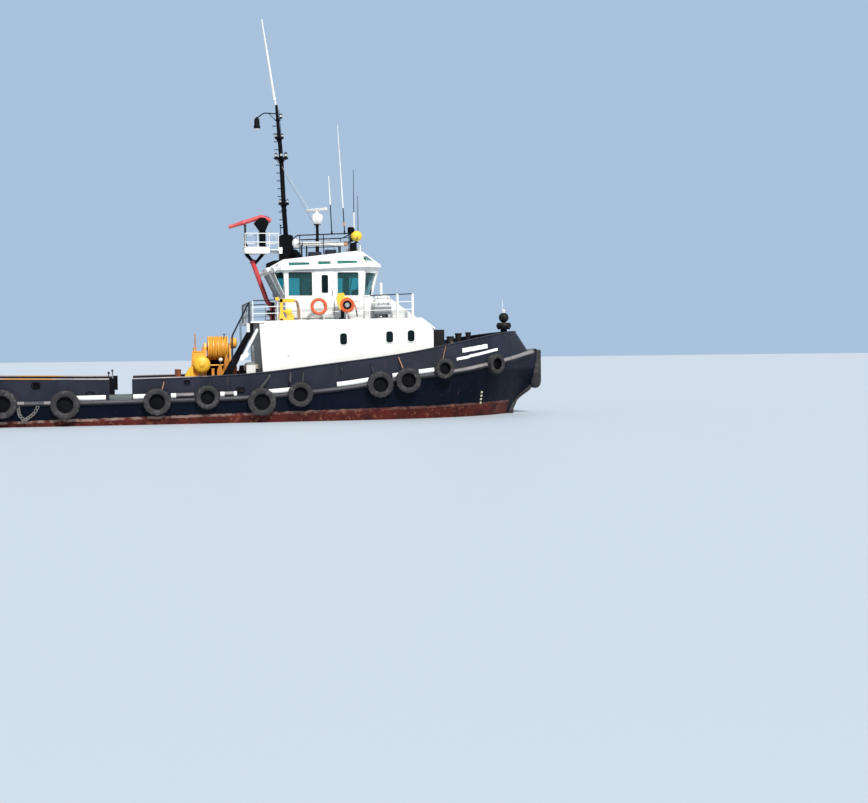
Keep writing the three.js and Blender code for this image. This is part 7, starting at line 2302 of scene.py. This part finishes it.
gear_mass = [box(-1.08, -0.62, -1.45, -0.95, 1.15, 2.02),
             prism([(-1.0, 2.02), (-0.66, 2.02), (-0.66, 2.3), (-0.8, 2.42), (-0.94, 2.4)], -1.4, -1.0)]
drum_float = [lathe([(0.12, 0.0), (0.135, 0.02), (0.135, 0.4), (0.12, 0.43)], (FLOAT_X, FLOAT_Y, 1.97), sides=26)]
stand_foot = [bar((FLOAT_X, FLOAT_Y, 1.15), (FLOAT_X, FLOAT_Y, 1.97), 0.035, 12)]
wall_boxes = [box(-0.72, -0.33, -2.22, -1.98, 2.0, 2.42)]
wall_tan = [box(-0.33, -0.085, -2.2, -2.0, 2.26, 2.47)]
piece("aft_deck_gear", {"rusty_black": gear_mass + stand_foot, "red_orange": drum_float, "white": wall_boxes,
                        "cream": wall_tan}, bevel=0.008, smooth=45)
hatch("hatch_after", -5.6, -4.9, -0.35, 0.35, deck_z(-5.2) + 0.015)
hatch("hatch_steering", -8.4, -7.7, -0.35, 0.35, deck_z(-8.0) + 0.015)
low_bitts = []
for x, y in ((-9.3, -3.35), (-9.3, 3.35), (-4.4, -3.4), (-4.4, 3.4), (1.9, -3.5), (1.9, 3.5)):
    z = deck_z(x) + 0.01
    low_bitts.append(box(x - 0.36, x + 0.36, y - 0.11, y + 0.11, z, z + 0.03))
    for dx in (-0.2, 0.2):
        low_bitts.append(lathe([(0.0, 0.0), (0.075, 0.0), (0.075, 0.36), (0.095, 0.37), (0.095, 0.39), (0.07, 0.405),
                                (0.0, 0.41)], (x + dx, y, z + 0.02), sides=24))
piece("side_bitts", {"rusty_black": low_bitts}, smooth=40)
locker = [box(-0.55, -0.215, 1.75, 2.35, deck_z(-0.5) + 0.02, deck_z(-0.5) + 0.8)]
extinguisher = [lathe([(0.07, 0.0), (0.075, 0.02), (0.075, 0.42), (0.05, 0.47), (0.018, 0.49), (0.018, 0.54)],
                      (-0.3, -0.35, 1.6), sides=20)]
piece("deck_locker", {"grey": locker, "red": extinguisher}, slot="white_paint", bevel=0.005)
print("bitts and their pads:", len(low_bitts))

# %% Foredeck: box, bollards, bow bitt
box_parts = [box(8.02, 8.5, -0.48, 0.48, 2.14, 3.9), box(8.02, 8.5, -0.48, 0.48, 3.905, 3.93)]
box_parts += [box(8.1, 8.42, -0.482, -0.472, z, z + 0.56) for z in (2.35, 3.1)]
box_trim = [bar((8.4, -0.478, z), (8.4, -0.478, z + 0.14), 0.008, 8) for z in (2.55, 3.3)]
piece("fore_locker_box", {"rusty_black": box_parts + box_trim}, replaces=["fore_locker"], bevel=0.008)
BITT_X = 11.46
# x, top z, radius, finish
BOLLARDS = [(8.88, 3.63, 0.157, "tan_black"), (9.27, 3.77, 0.147, "rusty_black"), (9.74, 3.81, 0.122, "rusty_black")]
bollards = {"tan_black": [], "rusty_black": [box(8.65, 9.95, -0.23, 0.23, 2.22, 2.45)]}
low = 2.44  # inside the plinth
for x, top, radius, finish in BOLLARDS:
    bollards[finish].append(lathe([(radius, low), (radius, top - 0.075), (radius + 0.02, top - 0.06),
                                   (radius + 0.025, top - 0.04), (radius + 0.02, top - 0.012), (radius, top)],
                                  (x, 0, 0), sides=30))
    bollards[finish].append(lathe([(radius + 0.06, low), (radius + 0.03, low + 0.03), (radius, low + 0.05)], (x, 0, 0),
                                  sides=30))
piece("deck_bollards", bollards, slot="black_paint", replaces=["fore_bollards"], smooth=40)
bow = [lathe([(0.22, 2.7), (0.22, 2.73), (0.16, 2.78), (0.155, 4.08)], (BITT_X, 0, 0), sides=32),
       lathe([(0.0, 3.93), (0.285, 3.93), (0.345, 4.06), (0.353, 4.1), (0.345, 4.14), (0.3, 4.235), (0.0, 4.26)],
             (BITT_X, 0, 0), sides=40),
       ball((BITT_X, 0, 4.48), 0.232, 32),
       bar((BITT_X, -0.31, 3.55), (BITT_X, 0.31, 3.55), 0.05, 18)]
bow += [prism([(BITT_X + s * 0.15, 2.72), (BITT_X + s * 0.32, 2.72), (BITT_X + s * 0.15, 3.05)], -0.012, 0.012)
        for s in (-1, 1)]
piece("bow_tow_bitt", {"rusty_black": bow}, replaces=["bow_bitt"], smooth=42)
line = [(BITT_X + 0.19 * cos(t), 0.19 * sin(t), 2.95 + 0.04 * t / (2 * pi)) for t in np.arange(0.0, 2 * pi * 7, 0.35)]
piece("bow_bitt_turns", {"rope": [tube(line, 0.02, 8)]}, slot="chair_cover", smooth=80)
staff = [bar((BITT_X, 0, 4.64), (BITT_X, 0, 4.72), 0.055, 14), bar((11.41, 0, 4.66), (11.4, 0, 5.31), 0.014, 10, 0.01)]
housing, glass = lamp(11.47, 0.0, 4.66, 0.9)
piece("bow_staff", {"white": [*staff, *housing], "lamp_glass": glass}, smooth=50)
print("bollards:", len(BOLLARDS))

# %% [markdown]
# The stem.
# An upright rubber cylinder guards the top of the stem and a band of rubber runs down its curve to a round
# knob at the waterline. Heavy steel rings hold the cylinder, and they stand a few millimetres proud of it.

# %% Stem fender and the rubber band below it
STEM_X = 12.955
stem_rubber = [lathe([(0.0, -1.8), (0.1, -1.79), (0.2, -1.73), (0.265, -1.62), (0.292, -1.48), (0.292, -0.04),
                      (0.28, -0.01), (0.25, 0.0), (0.0, 0.0)], (STEM_X, 0, 2.955), sides=36)]
bands = [hoop((STEM_X, 0, z), 0.287, 0.012, (0, 0, 1), 40, 8) for z in (1.72, 1.8, 2.32, 2.4, 2.82)]
band_line = [(12.74, 0, 1.3), (12.6, 0, 1.12), (12.3, 0, 0.92), (12.02, 0, 0.68), (11.88, 0, 0.4), (11.74, 0, 0.14)]
path = smooth_path(band_line, 0.08)
section = [(-0.1, -0.09), (0.04, -0.1), (0.09, -0.06), (0.1, 0.0), (0.09, 0.06), (0.04, 0.1), (-0.1, 0.09)]
ring_list = []
for i, point in enumerate(path):
    ahead = (Vector(path[min(i + 1, len(path) - 1)]) - Vector(path[max(i - 1, 0)])).normalized()
    outward = Vector((-ahead.z, 0, ahead.x)) * (1 if ahead.z < 0 else -1)
    ring_list.append([Vector(point) + outward * a + Vector((0, b, 0)) for a, b in section])
stem_rubber.append(loft(ring_list))
stem_rubber.append(ball((11.74, 0, 0.12), 0.17, 20))
piece("stem_rubber", {"rubber": stem_rubber, "rusty_black": bands}, slot="rubber", replaces=["stem_fender"], smooth=50)
print("stem band from", band_line[0][2], "to", band_line[-1][2], "m")

# %% [markdown]
# Below the water.
# Each screw turns in a steel nozzle, and a plate rudder hangs behind it. A propeller blade is the one
# shape here that is truly twisted: near the hub it stands almost edge-on to the water, at the tip it is
# nearly flat. It is built from cuts at seven radii, each a thin leaf turned by its own pitch angle.

# %% Propellers
PROP_X, TIP_R, PITCH, BLADES = -10.02, 0.826, 1.75, 4


def blade(turn):
    """One blade: cuts from hub to tip, each a lens-shaped leaf at its own pitch, wrapped round the shaft."""
    rings = []
    for share, chord, thick in ((0.17, 0.3, 0.07), (0.32, 0.42, 0.052), (0.5, 0.52, 0.036), (0.68, 0.56, 0.024),
                                (0.84, 0.5, 0.015), (0.95, 0.32, 0.01), (1.0, 0.1, 0.006)):
        radius = TIP_R * share
        angle = atan(PITCH / (2 * pi * radius))
        ring = []
        for t in turns(16):
            along, off = chord / 2 * cos(t), thick / 2 * sin(t) * (1 - 0.35 * cos(t))
            skew = 0.16 * share ** 2
            round_by = (along * cos(angle) - off * sin(angle)) / radius + skew + turn
            x = PROP_X + along * sin(angle) + off * cos(angle) - 0.05 * share
            ring.append((x, radius * cos(round_by), SHAFT_Z + radius * sin(round_by)))
        rings.append(ring)
    return loft(rings)


screw = [blade(turn + 0.5) for turn in turns(BLADES)]
screw.append(lathe([(0.0, -10.645), (0.05, -10.63), (0.09, -10.55), (0.125, -10.4), (0.165, -10.2), (0.17, -9.85),
                    (0.16, -9.62), (0.12, -9.6), (0.11, -9.455), (0.0, -9.455)], (0, 0, SHAFT_Z), (1, 0, 0), 32))
for side, word in SIDES:
    shapes = [shifted(s, 0, side * SHAFT_Y, 0) for s in (screw if side < 0 else [ported(s) for s in screw])]
    piece(f"screw_{word}_bronze", {"bronze": shapes}, body=f"screw_{word}", slot="bronze",
          replaces=[f"propeller_{word}"], smooth=45)
print("blades:", 2 * BLADES)

# %% Nozzles and rudders
nozzle_profile = [(0.875, -10.745), (0.985, -10.74), (1.0, -10.7), (1.045, -10.05), (1.048, -9.92), (1.02, -9.86),
                  (0.97, -9.852), (0.92, -9.9), (0.885, -10.02), (0.876, -10.2), (0.874, -10.55), (0.875, -10.745)]
for side, word in SIDES:
    rings = []
    for k in range(49):
        t = 2 * pi * k / 48
        rings.append([(x, side * SHAFT_Y + r * cos(t), SHAFT_Z + r * sin(t)) for r, x in nozzle_profile[:-1]])
    ring = loft(rings, capped=False)
    stays_of = [loft([[(-10.7, side * SHAFT_Y + w, z), (-9.95, side * SHAFT_Y + w, z), (-9.95, side * SHAFT_Y - w, z),
                       (-10.7, side * SHAFT_Y - w, z)] for z, w in ((-0.8, 0.22), (-0.535, 0.3))])]
    piece(f"nozzle_ring_{word}", {"hull": [ring, *stays_of]}, slot="red_paint", replaces=[f"nozzle_{word}"],
          bevel=0.004, smooth=45)
    y = side * SHAFT_Y
    foil = [(-11.165, 0.0), (-11.2, 0.045), (-11.3, 0.072), (-11.48, 0.083), (-11.8, 0.066), (-12.1, 0.034),
            (-12.295, 0.01)]
    outline = [(x, y + h) for x, h in foil] + [(x, y - h) for x, h in reversed(foil[1:])]
    shrunk = [(-11.48 + (x + 11.48) * 0.985, y + (v - y) * 0.8) for x, v in outline]
    rudder = [loft([[(a, b, -2.745) for a, b in shrunk], [(a, b, -2.72) for a, b in outline],
                    [(a, b, -0.79) for a, b in outline], [(a, b, -0.765) for a, b in shrunk]]),
              bar((-11.48, y, -0.77), (-11.48, y, -0.398), 0.088, 24)]
    rudder += [box(-12.28, -11.18, y - 0.082, y + 0.082, z - 0.012, z) for z in (-0.78, -2.72)]
    rudder += flange((-11.48, y, -0.7), (0, 0, 1), 0.135, 0.04, 6, 0.014)
    blocks = [box(-11.95, -11.7, y + s * 0.068 - 0.012, y + s * 0.068 + 0.012, z - 0.06, z + 0.06) for s in (-1, 1)
              for z in (-1.2, -2.3)]
    piece(f"rudder_plate_{word}", {"hull": rudder, "zinc": blocks}, body=f"steering_{word}", slot="red_paint",
          replaces=[f"rudder_{word}"], bevel=0.004, smooth=45)
print("nozzle sections:", len(nozzle_profile))

# %% [markdown]
# Lamps and boards on the wheelhouse and the bow.
# Floodlights hang under the after eave, the side lights stand on small shelves at the edge of the roof, and
# two blank white boards lie along each bow, welded to the bulwark so that they follow its flare.

# %% Floodlights, side lights, horn, blank boards
FLOOD = round_rect(-0.13, 0.13, -0.1, 0.1, 0.03)
flood, flood_glass, brackets_of = [], [], []
for x, y, z, aim in ((0.54, -2.28, 6.6, -155), (0.3, -1.75, 6.6, -165), (0.3, 1.75, 6.6, 165), (0.54, 2.28, 6.6, 155)):
    base = Matrix.Translation((x, y, z)) @ Matrix.Rotation(radians(aim), 4, "Z") @ Matrix.Rotation(radians(28), 4, "Y")
    flood.append(placed(loft([[(out, a * k, b * k) for a, b in FLOOD]
                              for out, k in ((-0.1, 0.6), (0.06, 1), (0.09, 1))]), base))
    flood_glass.append(placed(prism(round_rect(-0.11, 0.11, -0.08, 0.08, 0.02), 0.091, 0.096, "x"), base))
    brackets_of.append(bar((x, y, z + 0.02), (x + 0.16, y, z + 0.2), 0.016, 8))
piece("eave_floodlights", {"white": flood, "lamp_glass": flood_glass, "black": brackets_of}, slot="white_plastic",
      bevel=0.004)
for side, word, lens in ((-1, "starboard", "green_lens"), (1, "port", "red_lens")):
    screen = [box(4.46, 4.64, side * 2.14, side * 2.3, 6.9, 6.93)]
    housing, glass = lamp(4.55, side * 2.22, 6.93, 0.85)
    piece(f"side_light_{word}", {"black": screen + housing, lens: glass})
HORNS_Y = (0.1, -0.12)
horn = [lathe([(0.0, 0.0), (0.05, 0.0), (0.05, 0.1), (0.025, 0.14), (0.03, 0.42), (0.05, 0.52), (0.095, 0.6),
               (0.1, 0.61), (0.085, 0.6), (0.0, 0.5)], (4.0, y, 7.62), (1, 0, 0), 22) for y in HORNS_Y]
horn += [bar((4.15, y, roof_z(4.15)), (4.15, y, 7.6), 0.018, 10) for y in HORNS_Y]
piece("horns", {"gelcoat": horn}, smooth=60)
boards = []
# first and last x, middle z at each, half height
for x0, x1, z0, z1, half in ((8.62, 10.02, 2.95, 3.16, 0.095), (8.4, 10.52, 2.58, 3.0, 0.06)):
    for side in (-1, 1):
        rows = []
        for k in range(17):
            x = x0 + (x1 - x0) * k / 16
            path = nearest(x, side)
            middle, foot, row = z0 + (z1 - z0) * k / 16, deck_z(path[0]) - 0.03, []
            for rise, proud in ((-half, 0.002), (-half, 0.018), (half, 0.018), (half, 0.002)):
                reach = path[3] * (middle + rise - foot) / (path[2] - foot)
                row.append((path[0], path[1] - side * (reach - proud), middle + rise))
            rows.append(row)
        boards.append(loft(rows))
piece("bow_boards", {"white": boards}, bevel=0.004)
print("floodlights:", len(flood), "boards:", len(boards))
